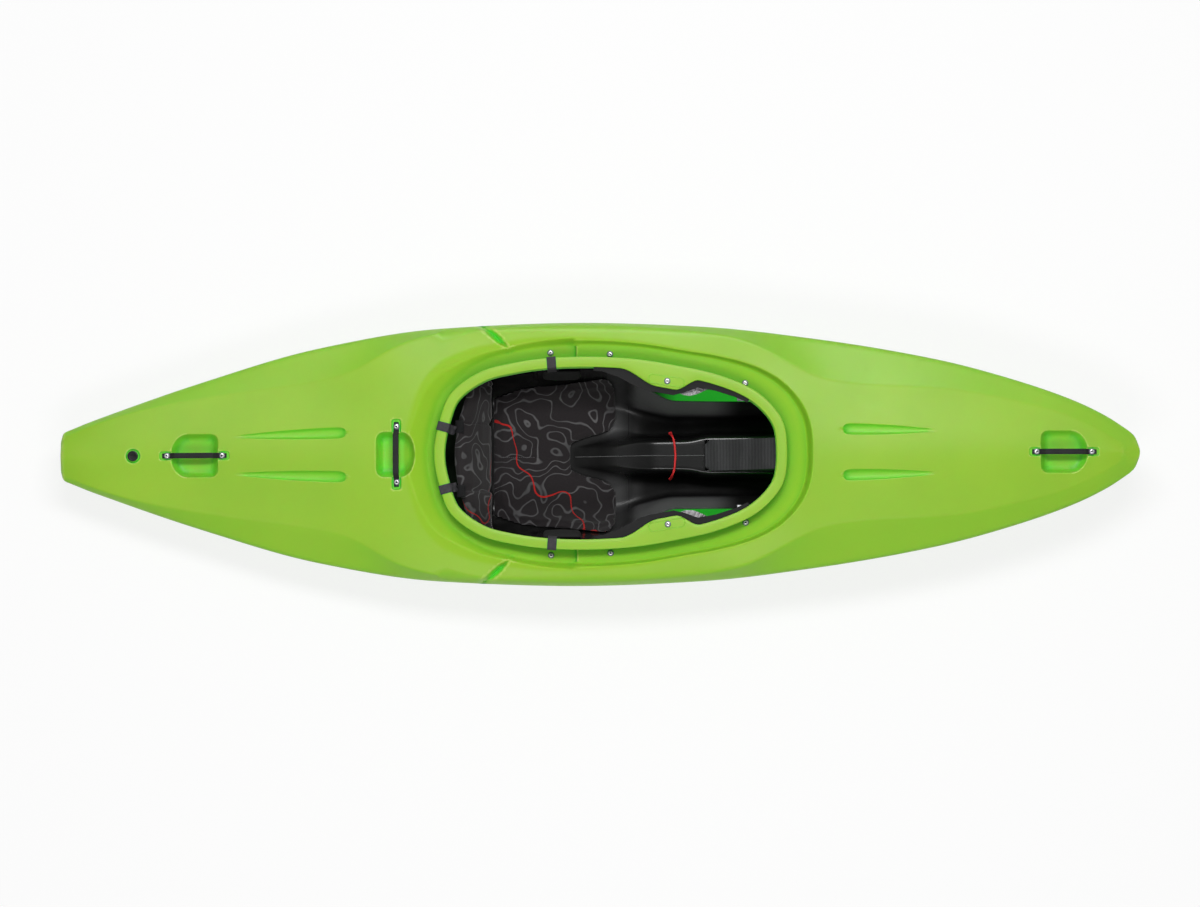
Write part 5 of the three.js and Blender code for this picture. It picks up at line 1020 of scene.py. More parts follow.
def lofted(name, rings):
    """A body through rings of points in millimetres, its ends closed by fans."""
    rings = np.asarray(rings, float)
    count, around = rings.shape[:2]
    points = rings.reshape(-1, 3)
    faces = grid_faces(count, around, True)
    points = np.vstack([points, [rings[0].mean(0), rings[-1].mean(0)]])
    first, last = len(points) - 2, len(points) - 1
    for i in range(around):
        j = (i + 1) % around
        faces.append((first, j, i))
        faces.append((last, (count - 1) * around + i, (count - 1) * around + j))
    piece = new_mesh(name, points, faces)
    outward(piece)
    return piece


def evened(path, count):
    """A smooth path of evenly spaced points through the given ones."""
    path = np.asarray(path, float)
    t = np.concatenate([[0], np.cumsum(np.linalg.norm(np.diff(path, axis=0), axis=1))])
    rows = [smooth_table(list(zip(t, path[:, k]))) for k in range(path.shape[1])]
    fine = np.linspace(0, t[-1], 400)
    dense = np.stack([row(fine) for row in rows], 1)
    run = np.concatenate([[0], np.cumsum(np.linalg.norm(np.diff(dense, axis=0), axis=1))])
    places = np.linspace(0, run[-1], count)
    return np.stack([np.interp(places, run, dense[:, k]) for k in range(path.shape[1])], 1)


def tape(name, path, across, width, thickness, count=60, crumple=None):
    """A flat strap along a path in millimetres, with rolled edges. across is its width's direction."""
    path = evened(path, count)
    run = np.gradient(path, axis=0)
    run /= np.linalg.norm(run, axis=1)[:, None]
    side = np.broadcast_to(np.asarray(across, float), path.shape).copy()
    side -= (side * run).sum(1)[:, None] * run
    side /= np.linalg.norm(side, axis=1)[:, None]
    up = np.cross(run, side)
    u = np.array([-1, -0.97, -0.9, -0.6, -0.3, 0, 0.3, 0.6, 0.9, 0.97, 1])
    h = np.array([0.25, 0.8, 1, 1, 1, 1, 1, 1, 1, 0.8, 0.25])
    rings = []
    for i, point in enumerate(path):
        wave = np.zeros(len(u)) if crumple is None else crumple(i / (count - 1), u)
        centre = point + np.outer(u * width / 2, side[i]) + np.outer(wave, up[i])
        top = centre + np.outer(h * thickness / 2, up[i])
        low = centre - np.outer(h * thickness / 2, up[i])
        rings.append(np.vstack([top, low[::-1]]))
    return lofted(name, rings)


# The cockpit's fittings: places
def beside_rim(x, inset):
    """A place beside the rim on the left: x on its outer edge, and how far inwards from that edge."""
    point = np.array([x, np.interp(x, rim_points[:, 0], rim_points[:, 1])])
    normal = np.array([np.interp(x, rim_points[:, 0], rim_normals[:, k]) for k in (0, 1)])
    return point + normal / np.hypot(*normal) * inset


def stern_rim_x(y):
    rear = rim_points[rim_points[:, 0] < cockpit_centre]
    return float(np.interp(y, rear[:, 1], rear[:, 0]))


def inner_deck(x, y):
    """The height of the deck's underside."""
    return float(deck_height(np.array([x]), np.array([float(y)]), float(hull_wall))[0])


def inner_floor(x, y):
    """The height of the hull's inner floor."""
    lower = section_at(x, hull_wall)[1][::-1]
    return float(np.interp(y, lower[:, 0], lower[:, 1]))


def surface_height(piece, spots, lift=0.0):
    """The highest point of a piece above each (x, y), in millimetres."""
    made = []
    for x, y in spots:
        hit, place, _, _ = piece.ray_cast(Vector((x, y, 600)) * MM, Vector((0, 0, -1)))
        if hit:
            made.append((x, y, place.z / MM + lift))
    return made


# The seat tray
tray_sheet = 4
tray_lines = {
    "hump_height": [(-62, 30), (0, 52), (50, 77), (96, 95), (143, 105), (430, 105)],
    "hump_width": [(-62, 18), (0, 26), (50, 34), (96, 36), (215, 38), (265, 47), (430, 47)],
    "hump_foot": [(-62, 28), (0, 38), (50, 48), (143, 50), (215, 50), (265, 57), (430, 57)],
    "well_floor": [(-10, 30), (50, 21), (96, 12), (143, 9.3)],
    "well_width": [(-10, 132), (50, 126), (96, 112), (143, 100), (180, 94), (430, 92)],
    "waist": [(-10, 178), (50, 168), (96, 138), (143, 112), (180, 103), (430, 101)],
    "waist_height": [
        (-250, 60), (-165, 72), (-140, 75), (-10, 75), (50, 95), (96, 105), (143, 110), (180, 105), (265, 92),
        (430, 85),
    ],
    "lip": [
        (-250, 194), (-165, 198), (-140, 204), (-40, 204), (50, 198), (96, 168), (143, 140), (180, 127),
        (430, 126),
    ],
    "lip_height": [
        (-250, 105), (-165, 132), (-140, 220), (-40, 220), (-10, 199), (50, 190), (96, 180), (143, 165),
        (180, 150), (265, 128), (430, 110),
    ],
}
tray_at = {name: smooth_table(rows) for name, rows in tray_lines.items()}
tray_rear, tray_front, on_hull_x = -264, 430, 298


def tray_corners(x):
    """The corners of the tray's half section, hump to lip, as an array of (y, z)."""
    t = {name: float(at(x)) for name, at in tray_at.items()}
    on_hull = inner_floor(x, t["hump_foot"]) + 0.3 + tray_sheet
    resting = float(smooth_step(on_hull_x - 40, on_hull_x + 8, x))
    floor = t["well_floor"] + (on_hull - t["well_floor"]) * resting
    return np.array([
        (0, t["hump_height"]), (t["hump_width"], t["hump_height"]), (t["hump_foot"], floor),
        (t["well_width"], floor), (t["waist"], t["waist_height"]), (t["lip"], t["lip_height"]),
    ])


tray_rounds = [(9, 8, 26), (13, 8, 40), (18, 9, 18), (24, 9, 24)]


def tray_half(x):
    """The tray's half section with its corners rounded, at even steps along the path."""
    c = tray_corners(x)
    path = [c[:1]]
    for i, (radius, count, by_seat) in enumerate(tray_rounds):
        radius = radius + (by_seat - radius) * float(1 - smooth_step(-20, 110, x))
        path.append(rounded(c[i], c[i + 1], c[i + 2], radius, count, 0.48))
    path.append(c[-1:])
    return np.vstack(path)


# where the tray's points lie along its half section, counted in the corners' points
tray_places = np.concatenate([
    *(np.linspace(low, high, count)[:-1] for low, high, count in (
        (0, 1, 7), (1, 8, 9), (8, 9, 7), (9, 16, 9), (16, 17, 6), (17, 25, 10), (25, 26, 7), (26, 34, 10),
    )),
    np.linspace(34, 35, 8),
])
trough_rear, trough_half = 255.6, 37.3


def seat_tray():
    """The centre moulding: seat pan, hump and leg wells in one sheet."""
    stations = np.unique([*np.arange(tray_rear, tray_front + 1, 9.0), tray_front, -62, -158, -148])
    grid = []
    for x in stations:
        half = tray_half(x)
        across = [np.interp(tray_places, np.arange(len(half)), half[:, k]) for k in (0, 1)]
        grid.append(np.stack([np.full(len(tray_places), x), *across], 1))
    grid = np.array(grid)
    # even the rows along the boat a little, so that the moulding flows
    for _ in range(2):
        grid[1:-1, :, 1:] = grid[1:-1, :, 1:] * 0.5 + (grid[:-2, :, 1:] + grid[2:, :, 1:]) * 0.25
    whole = np.concatenate([grid[:, :0:-1] * (1, -1, 1), grid], 1)
    piece = new_mesh("seat_tray_moulding", whole.reshape(-1, 3), grid_faces(*whole.shape[:2]))
    outward(piece)
    if sum(f.normal.z * f.area for f in piece.data.polygons) < 0:
        piece.data.flip_normals()
    # the foam pillar stands in a trough that is cut out of the front
    editing(piece)
    cut_across(piece, 0, [trough_rear])
    cut_across(piece, 1, [-trough_half, trough_half])
    pick(piece, lambda middle, normal: middle.x > trough_rear and abs(middle.y) < trough_half)
    bpy.ops.mesh.delete(type="FACE")
    done()
    with_modifier(piece, "SOLIDIFY", thickness=tray_sheet * MM, offset=-1, use_rim=True)
    bevelled(piece, 0.9, 2, 50)
    shaded(piece, 35)
    return piece


def hump_seam(tray):
    """A fine pale bead along the hump's middle, ahead of the seat's notch."""
    line = np.array(surface_height(tray, [(x, 0.0) for x in range(-58, 255, 4)]))
    angle = np.linspace(0, 2 * math.pi, 11)[:-1]
    ring = np.stack([0 * angle, 1.0 * np.cos(angle), 0.85 * np.sin(angle)], 1)
    bead = lofted("hump_seam", [point + ring for point in line])
    finished(bead, bead_grey, "moulding", "boat")


def matte_shelves_and_painted_light(piece):
    """Marks where the tray's moulding is matte and grey, on its side shelves, where the grey is partly
    painted light, and near the seat's front, where it is a painted highlight; and where it is dull, in its
    wells.
    """
    place = points_of(piece)
    x, y = place[:, 0], np.abs(place[:, 1])
    edge = np.array([float(tray_at["well_width"](v)) for v in x])
    # the side shelves are really matte, and their grey colour is partly painted light
    shelf_matte_and_painted_light = smooth_step(1, 9, y - edge) * smooth_step(70, 100, x) * (1 - smooth_step(260, 345, x)) * 0.95
    # painted highlight: a soft grey patch across the wells near the seat's front
    painted_highlight_patch = np.exp(-(((x - 45) / 28) ** 2)) * smooth_step(20, 60, y) * 0.3
    marked(piece, "matte", np.clip(shelf_matte_and_painted_light + painted_highlight_patch, 0, 1))
    well = smooth_step(43, 54, y) * smooth_step(60, 120, x)
    throat = (1 - smooth_step(0, 60, x)) * (1 - smooth_step(60, 90, y)) * 0.9
    marked(piece, "dull", np.clip(well + throat, 0, 1))


def tray_supports():
    """The two skids under the seat pan and the tabs that the tray hangs from."""
    for side, sign in (("left", 1), ("right", -1)):
        y = sorted((62 * sign, 76 * sign))
        skid = block("tray_skid_" + side, (-245, y[0], 5.5), (60, y[1], 24))
        editing(skid)
        cut_across(skid, 0, [-200, -150, -100, -50, -10, 20])
        shape = bmesh.from_edit_mesh(skid.data)
        for vert in shape.verts:
            if vert.co.z > 0.01:
                vert.co.z = (float(tray_at["well_floor"](vert.co.x / MM)) - 3.0) * MM
        bmesh.update_edit_mesh(skid.data)
        done()
        eased(skid, 1.5, 3, 30)
        finished(skid, moulding_black, "moulding", "boat")
        _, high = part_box("seat_screw_" + side)
        tab = block("tray_tab_" + side, (-20, -42, -19), (20, 13, -11))
        editing(tab)
        cut_across(tab, 1, [-28, 6])
        cut_across(tab, 0, [-12, 12])
        pick(tab, lambda middle, normal: normal.z < -0.9 and abs(middle.x) < 12 and middle.y < 6)
        inset_by(2)
        extrude_by(0, 0, 2.5)
        done()
        eased(tab, 1.2, 3, 30)
        stand = Matrix.Diagonal((1, sign, 1, 1)) @ tipped(-116, high.z / MM, rim_slope, y=242.3)
        hung = copied(tab, "tray_hanger_" + side, stand)
        bpy.data.objects.remove(tab)
        finished(hung, moulding_black, "moulding", "boat")


# Finishes
def material(name, colour, roughness, metallic=0.0):
    """A new finish with its plain shader set."""
    made = bpy.data.materials.new(name)
    made.use_nodes = True
    shader = made.node_tree.nodes["Principled BSDF"]
    shader.inputs["Base Color"].default_value = (*colour, 1)
    shader.inputs["Roughness"].default_value = roughness
    shader.inputs["Metallic"].default_value = metallic
    return made


def node(finish, kind, **settings):
    """A node of a kind in a finish. A setting is one of its inputs, or else a property."""
    made = finish.node_tree.nodes.new(kind)
    for key, value in settings.items():
        if key in made.inputs:
            made.inputs[key].default_value = value
        else:
            setattr(made, key, value)
    return made


def join(finish, source, target, output=0, entry=0):
    finish.node_tree.links.new(source.outputs[output], target.inputs[entry])


def shared(finish, source, low, high, to_low=0.0, to_high=1.0, output=0):
    """A value spread from one range to another, and held at its ends."""
    made = node(finish, "ShaderNodeMapRange")
    for key, value in (("From Min", low), ("From Max", high), ("To Min", to_low), ("To Max", to_high)):
        made.inputs[key].default_value = value
    join(finish, source, made, output, 0)
    return made


def maths(finish, operation, *entries):
    """A Math node. An entry is a number, a node, or a node and its output."""
    made = node(finish, "ShaderNodeMath", operation=operation)
    for k, entry in enumerate(entries):
        if isinstance(entry, float):
            made.inputs[k].default_value = entry
        else:
            source, output = entry if isinstance(entry, tuple) else (entry, 0)
            join(finish, source, made, output, k)
    return made


def attribute(finish, name):
    return node(finish, "ShaderNodeAttribute", attribute_name=name)


def on_piece(finish, turn=(0, 0, 0), stretch=(1, 1, 1)):
    """The piece's own coordinates in metres, turned and stretched."""
    place = node(finish, "ShaderNodeTexCoord")
    mapping = node(finish, "ShaderNodeMapping", Rotation=turn, Scale=stretch)
    join(finish, place, mapping, "Object", "Vector")
    return mapping


def shader_of(finish):
    return finish.node_tree.nodes["Principled BSDF"]


def ramp(finish, source, stops, output=0):
    """A colour or grey ramp after a value."""
    made = node(finish, "ShaderNodeValToRGB")
    steps = made.color_ramp.elements
    while len(steps) < len(stops):
        steps.new(0.5)
    for step, (place, colour) in zip(steps, stops):
        step.position = place
        step.color = (*colour, 1) if isinstance(colour, tuple) else (colour, colour, colour, 1)
    join(finish, source, made, output, 0)
    return made


def mixed(finish, factor, first, second, kind="MIX", factor_output=0):
    """A mix of two colours. Each is a plain colour, a node or a factor."""
    made = node(finish, "ShaderNodeMix", data_type="RGBA", blend_type=kind)
    if isinstance(factor, float):
        made.inputs["Factor"].default_value = factor
    else:
        join(finish, factor, made, factor_output, "Factor")
    for source, entry in ((first, 6), (second, 7)):
        if isinstance(source, tuple):
            made.inputs[entry].default_value = (*source, 1)
        else:
            output = 2 if source.bl_idname == "ShaderNodeMix" else 0
            finish.node_tree.links.new(source.outputs[output], made.inputs[entry])
    return made


def coloured(finish, source):
    output = 2 if source.bl_idname == "ShaderNodeMix" else 0
    finish.node_tree.links.new(source.outputs[output], shader_of(finish).inputs["Base Color"])


def bumped(finish, source, strength, depth, after=None):
    """A bump of a depth in millimetres. It can follow another bump."""
    made = node(finish, "ShaderNodeBump", Strength=strength, Distance=depth * MM)
    join(finish, source, made, 0, "Height")
    if after:
        join(finish, after, made, 0, "Normal")
    join(finish, made, shader_of(finish), 0, "Normal")
    return made


def noise(finish, place, scale, detail=2.0, roughness=0.5):
    made = node(finish, "ShaderNodeTexNoise", Scale=scale, Detail=detail, Roughness=roughness)
    join(finish, place, made, 0, "Vector")
    return made


def wave(finish, place, scale, distortion=0.0, direction="X", detail_scale=1.0, detail=1.0):
    made = node(finish, "ShaderNodeTexWave", Scale=scale, Distortion=distortion, Detail=detail)
    made.bands_direction = direction
    made.inputs["Detail Scale"].default_value = detail_scale
    join(finish, place, made, 0, "Vector")
    return made


def roughened(finish, source, low, high):
    join(finish, shared(finish, source, 0.0, 1.0, low, high), shader_of(finish), 0, "Roughness")


def weave(finish, place, pitch):
    """Over-and-under threads at a pitch in millimetres, as one height."""
    scale = 0.314 / (pitch * MM)
    warp, weft = wave(finish, place, scale, direction="X"), wave(finish, place, scale, direction="Y")
    return maths(finish, "MULTIPLY", (warp, "Fac"), (weft, "Fac"))


def lime_finish():
    """Rotationally moulded polyethylene: satin and a faint pebble. Its colour holds painted shade, a purer
    green in its hollows and on faces that lean from level, and a darker green on its sunken ledge and in
    concave corners, and a painted highlight, a paler tone on convex edges.
    """
    finish = material("lime_polyethylene", LIME, 0.4)
    place = on_piece(finish)
    # painted shade: where ambient occlusion finds a hollow, the colour turns a purer green
    near = node(finish, "ShaderNodeAmbientOcclusion", Distance=0.05, samples=8)
    deep = ramp(finish, near, [(0.3, 1.0), (0.92, 0.0)], "AO")
    bend, ledge = attribute(finish, "bend"), attribute(finish, "ledge")
    apart = node(finish, "ShaderNodeSeparateXYZ")
    join(finish, node(finish, "ShaderNodeNewGeometry"), apart, "Normal", 0)
    # painted shade: faces that lean away from level take a greener tone
    leaning_shade = shared(finish, apart, 0.97, 0.79, output="Z")
    # painted highlight: sharply bent convex edges turn paler
    edge = shared(finish, bend, 9, 70, 0.0, 0.5, "Fac")
    # painted shade: sharply bent concave corners turn a darker green
    corner = shared(finish, bend, -8, -70, 0.0, 0.45, "Fac")
    speckle = noise(finish, place, 2200, 2)
    drift = noise(finish, place, 5, 3)
    tone = mixed(finish, leaning_shade, ramp(finish, drift, [(0.35, LIME_LOW), (0.68, LIME)]), LIME_SIDE_SHADE)
    grain = ramp(finish, speckle, [(0.38, (0.93, 0.93, 0.93)), (0.62, (1.0, 1.0, 1.0))])
    # painted shade: the sunken ledge takes a slightly darker green
    tone = mixed(finish, ledge, tone, LIME_LEDGE_SHADE, factor_output="Fac")
    plain = mixed(finish, 1.0, tone, grain, "MULTIPLY")
    hollow_shade_tone = mixed(finish, ledge, LIME_HOLLOW_SHADE, LEDGE_HOLLOW_SHADE, factor_output="Fac")
    plain = mixed(finish, corner, mixed(finish, deep, plain, hollow_shade_tone), LIME_CORNER_SHADE)
    shine = shared(finish, ledge, 0.0, 1.0, 0.28, 0.06, "Fac")
    join(finish, shine, shader_of(finish), 0, "Specular IOR Level")
    coloured(finish, mixed(finish, edge, plain, LIME_EDGE_HIGHLIGHT))
    shader_of(finish).inputs["Subsurface Weight"].default_value = 0.3
    shader_of(finish).inputs["Subsurface Radius"].default_value = (0.25, 1.0, 0.2)
    shader_of(finish).inputs["Subsurface Scale"].default_value = 0.006
    roughened(finish, noise(finish, place, 60, 3), 0.34, 0.48)
    pebble = bumped(finish, noise(finish, place, 900, 3), 0.12, 0.12)
    bumped(finish, noise(finish, on_piece(finish, stretch=(0.4, 1, 1)), 11, 2), 0.25, 1.2, pebble)
    return finish


def inner_face_painted_light():
    """The hull's inner face: painted light under the knee hooks, a bright green that also glows, and painted
    shade, near black, behind the seat and near the middle line.
    """
    finish = moulded_finish("lime_inner_face_painted_glow_and_shade", (0.16, 0.72, 0.06), 0.6)
    apart = node(finish, "ShaderNodeSeparateXYZ")
    join(finish, on_piece(finish), apart)
    ahead = shared(finish, apart, 0.13, 0.19)
    beside = shared(finish, maths(finish, "ABSOLUTE", (apart, 1)), 0.095, 0.11)
    # painted light where both masks are set, a bright green with a glow, and painted shade, near black,
    # elsewhere
    painted_light_mask = maths(finish, "MULTIPLY", ahead, beside)
    coloured(finish, mixed(finish, painted_light_mask, (0.006, 0.02, 0.004), (0.18, 0.8, 0.07)))
    join(finish, maths(finish, "MULTIPLY", painted_light_mask, 0.5), shader_of(finish), 0, "Emission Strength")
    shader_of(finish).inputs["Emission Color"].default_value = (0.025, 0.40, 0.035, 1)
    return finish


def tray_finish():
    """Glossy black moulding with a faint haze, matte and grey where its attribute says so: the grey is partly
    painted light on the side shelves and a painted highlight near the seat's front.
    """
    finish = material("black_tray_moulding", (0.004, 0.004, 0.004), 0.22)
    place = on_piece(finish)
    matte, dull = attribute(finish, "matte"), attribute(finish, "dull")
    haze = noise(finish, place, 26, 4, 0.6)
    shade = ramp(finish, haze, [(0.3, 0.0045), (0.7, 0.008)])
    # painted light: the matte places turn grey
    coloured(finish, mixed(finish, matte, shade, (0.105, 0.105, 0.107), factor_output="Fac"))
    shine = shared(finish, dull, 0.0, 1.0, 0.35, 0.1, "Fac")
    join(finish, shine, shader_of(finish), 0, "Specular IOR Level")
    roughened(finish, maths(finish, "MAXIMUM", (matte, "Fac"), (dull, "Fac")), 0.22, 0.62)
    bumped(finish, noise(finish, place, 1500, 2), 0.25, 0.1)
    return finish


def moulded_finish(name, colour, roughness, grain=1300):
    """Grained black plastic or rubber with worn, slightly paler patches."""
    finish = material(name, colour, roughness)
    shader_of(finish).inputs["Specular IOR Level"].default_value = 0.16
    place = on_piece(finish)
    worn = noise(finish, place, 40, 4, 0.65)
    coloured(finish, ramp(finish, worn, [(0.3, colour), (0.8, tuple(c * 1.7 + 0.002 for c in colour))]))
    roughened(finish, worn, roughness - 0.07, roughness + 0.1)
    bumped(finish, noise(finish, place, grain, 3), 0.3, 0.12)
    return finish


def printed_fabric(name, turn, line_turn, slant, red_places):
    """A woven charcoal cover with a print of rippling grey bands and a few red lines."""
    finish = material(name, (0.016, 0.0135, 0.0145), 0.92)
    place = on_piece(finish, turn)
    bands = on_piece(finish, (turn[0], turn[1], turn[2] + line_turn))
    ripple = wave(finish, bands, 2.7, 17.0, "X", 3.9, 1.4)
    lines = ramp(finish, ripple, [(0.32, 0.0), (0.43, 0.9), (0.57, 0.9), (0.68, 0.0)], "Fac")
    thread = noise(finish, place, 900, 2)
    cloth = ramp(finish, thread, [(0.3, (0.0115, 0.0095, 0.0105)), (0.7, (0.0215, 0.0175, 0.019))])
    greys = [(0.3, (0.055, 0.054, 0.056)), (0.7, (0.115, 0.112, 0.115))]
    print_tone = ramp(finish, noise(finish, place, 18, 3), greys)
    printed = mixed(finish, lines, cloth, print_tone)
    apart = node(finish, "ShaderNodeSeparateXYZ")
    join(finish, place, apart)
    sway = noise(finish, place, 8.5, 1.0)
    for offset in red_places:
        level = maths(finish, "MULTIPLY_ADD", apart, slant, offset)
        swing = maths(finish, "MULTIPLY_ADD", (sway, "Fac"), 0.34, level)
        near = maths(finish, "ABSOLUTE", maths(finish, "SUBTRACT", (apart, 1), swing))
        stripe = shared(finish, near, 0.0036, 0.0026)
        printed = mixed(finish, stripe, printed, (0.42, 0.012, 0.010))
    coloured(finish, printed)
    shader_of(finish).inputs["Sheen Weight"].default_value = 0.12
    shader_of(finish).inputs["Sheen Roughness"].default_value = 0.5
    shader_of(finish).inputs["Specular IOR Level"].default_value = 0.25
    soft = bumped(finish, noise(finish, place, 30, 3), 0.35, 2.2)
    bumped(finish, weave(finish, place, 1.5), 0.35, 0.3, soft)
    return finish


def foam_finish(name, colour, ridge_scale=0.0, direction="X"):
    """Closed-cell foam: fine cells, and saw ridges where it was cut."""
    finish = material(name, colour, 0.85)
    place = on_piece(finish)
    cells = noise(finish, place, 700, 3, 0.7)
    low, high = tuple(c * 0.6 for c in colour), tuple(c * 1.35 for c in colour)
    toned = ramp(finish, cells, [(0.3, low), (0.7, high)])
    if ridge_scale:
        ridges = wave(finish, place, ridge_scale, 1.6, direction, 1.5, 3.0)
        swell = wave(finish, place, ridge_scale / 7.3, 3.0, direction, 2.0, 3.0)
        broad = ramp(finish, swell, [(0.1, 0.72), (0.9, 1.0)], "Fac")
        sawn = ramp(finish, ridges, [(0.2, low), (0.8, high)], "Fac")
        coloured(finish, mixed(finish, 1.0, mixed(finish, 0.4, toned, sawn), broad, "MULTIPLY"))
        bumped(finish, cells, 0.3, 0.3, bumped(finish, ridges, 0.35, 0.8))
    else:
        coloured(finish, toned)
        bumped(finish, cells, 0.4, 0.35)
    shader_of(finish).inputs["Specular IOR Level"].default_value = 0.3
    return finish


def webbing_finish(name, low, high, pitch):
    """Woven nylon webbing with ribs across it and a frayed tone."""
    finish = material(name, high, 0.75)
    place = on_piece(finish)
    threads = weave(finish, place, pitch)
    tone = ramp(finish, threads, [(0.1, low), (0.6, high)])
    patches = ramp(finish, noise(finish, place, 90, 4, 0.7), [(0.3, 0.55), (0.65, 1.0)])
    coloured(finish, mixed(finish, 1.0, tone, patches, "MULTIPLY"))
    bumped(finish, threads, 0.7, 0.6)
    return finish


def braid_finish():
    """Braided cord: two crossing spirals of strands."""
    finish = material("red_braid", (0.62, 0.012, 0.016), 0.6)
    first = wave(finish, on_piece(finish, (0.3, 0.2, 0.9)), 150, direction="X")
    second = wave(finish, on_piece(finish, (-0.3, 0.5, -0.9)), 150, direction="X")
    strands = maths(finish, "MAXIMUM", (first, "Fac"), (second, "Fac"))
    coloured(finish, ramp(finish, strands, [(0.35, (0.33, 0.004, 0.006)), (0.9, (0.74, 0.016, 0.02))]))
    bumped(finish, strands, 0.6, 0.4)
    return finish


def metal_finish(name, colour, roughness, scale):
    """Turned or brushed metal with fine lines and dull patches."""
    finish = material(name, colour, roughness, 1.0)
    place = on_piece(finish, stretch=(1, 1, 0.15))
    scratches = noise(finish, place, scale, 3, 0.7)
    coloured(finish, ramp(finish, scratches, [(0.25, tuple(c * 0.75 for c in colour)), (0.75, colour)]))
    roughened(finish, scratches, roughness - 0.08, roughness + 0.12)
    bumped(finish, scratches, 0.15, 0.05)
    return finish


# lime tones; the _SHADE tones are painted shade and the _HIGHLIGHT tone is a painted highlight
LIME, LIME_LOW = (0.318, 0.57, 0.032), (0.288, 0.54, 0.03)
LIME_SIDE_SHADE, LIME_LEDGE_SHADE = (0.268, 0.582, 0.03), (0.305, 0.565, 0.03)
LIME_HOLLOW_SHADE, LIME_EDGE_HIGHLIGHT = (0.035, 0.76, 0.04), (0.58, 0.7, 0.17)
LEDGE_HOLLOW_SHADE, LIME_CORNER_SHADE = (0.05, 0.42, 0.026), (0.03, 0.42, 0.025)
lime = lime_finish()
lime_inside_painted_light = inner_face_painted_light()
gasket_green = moulded_finish("green_rubber", (0.09, 0.4, 0.03), 0.5)
plug_black = moulded_finish("glossy_black_cap", (0.012, 0.012, 0.013), 0.3)
tray_black = tray_finish()
moulding_black = moulded_finish("black_moulding", (0.005, 0.005, 0.005), 0.55)
rubber_black = moulded_finish("black_rubber", (0.012, 0.012, 0.013), 0.62)
pad_print = printed_fabric("seat_print", (0, 0, 0), 1.35, -1.0, (-0.357,))
band_print = printed_fabric("band_print", (0, 1.05, 0), 1.1, -2.2, (-0.30,))
pillar_foam = foam_finish("pillar_foam", (0.045, 0.045, 0.047), 42, "X")
pad_foam = foam_finish("pad_foam", (0.006, 0.006, 0.006))
strap_dark = webbing_finish("dark_webbing", (0.018, 0.016, 0.02), (0.06, 0.056, 0.066), 1.6)
strap_pale = webbing_finish("pale_webbing", (0.34, 0.33, 0.34), (0.85, 0.83, 0.85), 2.4)
red_braid = braid_finish()
stainless = metal_finish("stainless", (0.72, 0.72, 0.74), 0.26, 500)
washer_dark = metal_finish("washer_edge", (0.13, 0.11, 0.15), 0.45, 500)
aluminium = metal_finish("satin_aluminium", (0.6, 0.61, 0.63), 0.38, 300)
socket_painted_shadow = moulded_finish("socket_shadow", (0.02, 0.014, 0.03), 0.5)
bead_grey = moulded_finish("bead_edge", (0.07, 0.07, 0.071), 0.45)
thread_dark = moulded_finish("dark_thread", (0.09, 0.085, 0.09), 0.8)
thread_pale = moulded_finish("pale_thread", (0.25, 0.24, 0.25), 0.8)


# The cord over the hump
cord_radius, cord_x, cord_bow = 2.7, 171, 13
cord_top = float(tray_at["hump_height"](cord_x)) + 0.3 + cord_radius
cord_half = [
    (cord_x + cord_bow, 0, cord_top), (182.7, 20, cord_top), (180.1, 38, cord_top),
    (176.85, 46, cord_top - 4.08), (173.6, 53, cord_top - 17), (171, 56, cord_top - 34),
]
knot_radius, knot_thickness = 3.0, 1.9


def hump_cord():
    """The red cord across the hump, with a knot at each of its ends."""
    route = np.array([(x, -y, z) for x, y, z in cord_half[:0:-1]] + cord_half)
    route = evened(route, 39)
    angle = np.linspace(0, 2 * math.pi, 17)[:-1]
    run = np.gradient(route, axis=0)
    run /= np.linalg.norm(run, axis=1)[:, None]
    side = np.cross(run, (1, 0, 0))
    side /= np.linalg.norm(side, axis=1)[:, None]
    up = np.cross(side, run)
    rings = []
    for k, (point, a, b) in enumerate(zip(route, side, up)):
        radius = cord_radius * (1 - 0.04 * (k % 2))
        rings.append(point + radius * (np.outer(np.cos(angle), a) + np.outer(np.sin(angle), b)))
    piece = lofted("hump_cord", rings)
    finished(piece, red_braid, "cord", "boat", "safety_cord")
    # the knots that keep its ends in their holes
    for k, (x, y, z) in enumerate((route[2], route[-3])):
        bpy.ops.object.select_all(action="DESELECT")
        bpy.ops.mesh.primitive_torus_add(
            location=(x * MM, y * MM, z * MM), rotation=(0.9, 0.35, 0), major_segments=20, minor_segments=10,
            major_radius=knot_radius * MM, minor_radius=knot_thickness * MM,
        )
        knot = start("cord_knot_" + "ab"[k])
        shaded(knot)
        finished(knot, red_braid, "cord", "boat")


# Soft pads
filling_pressure, filling_frames = 4.0, 20


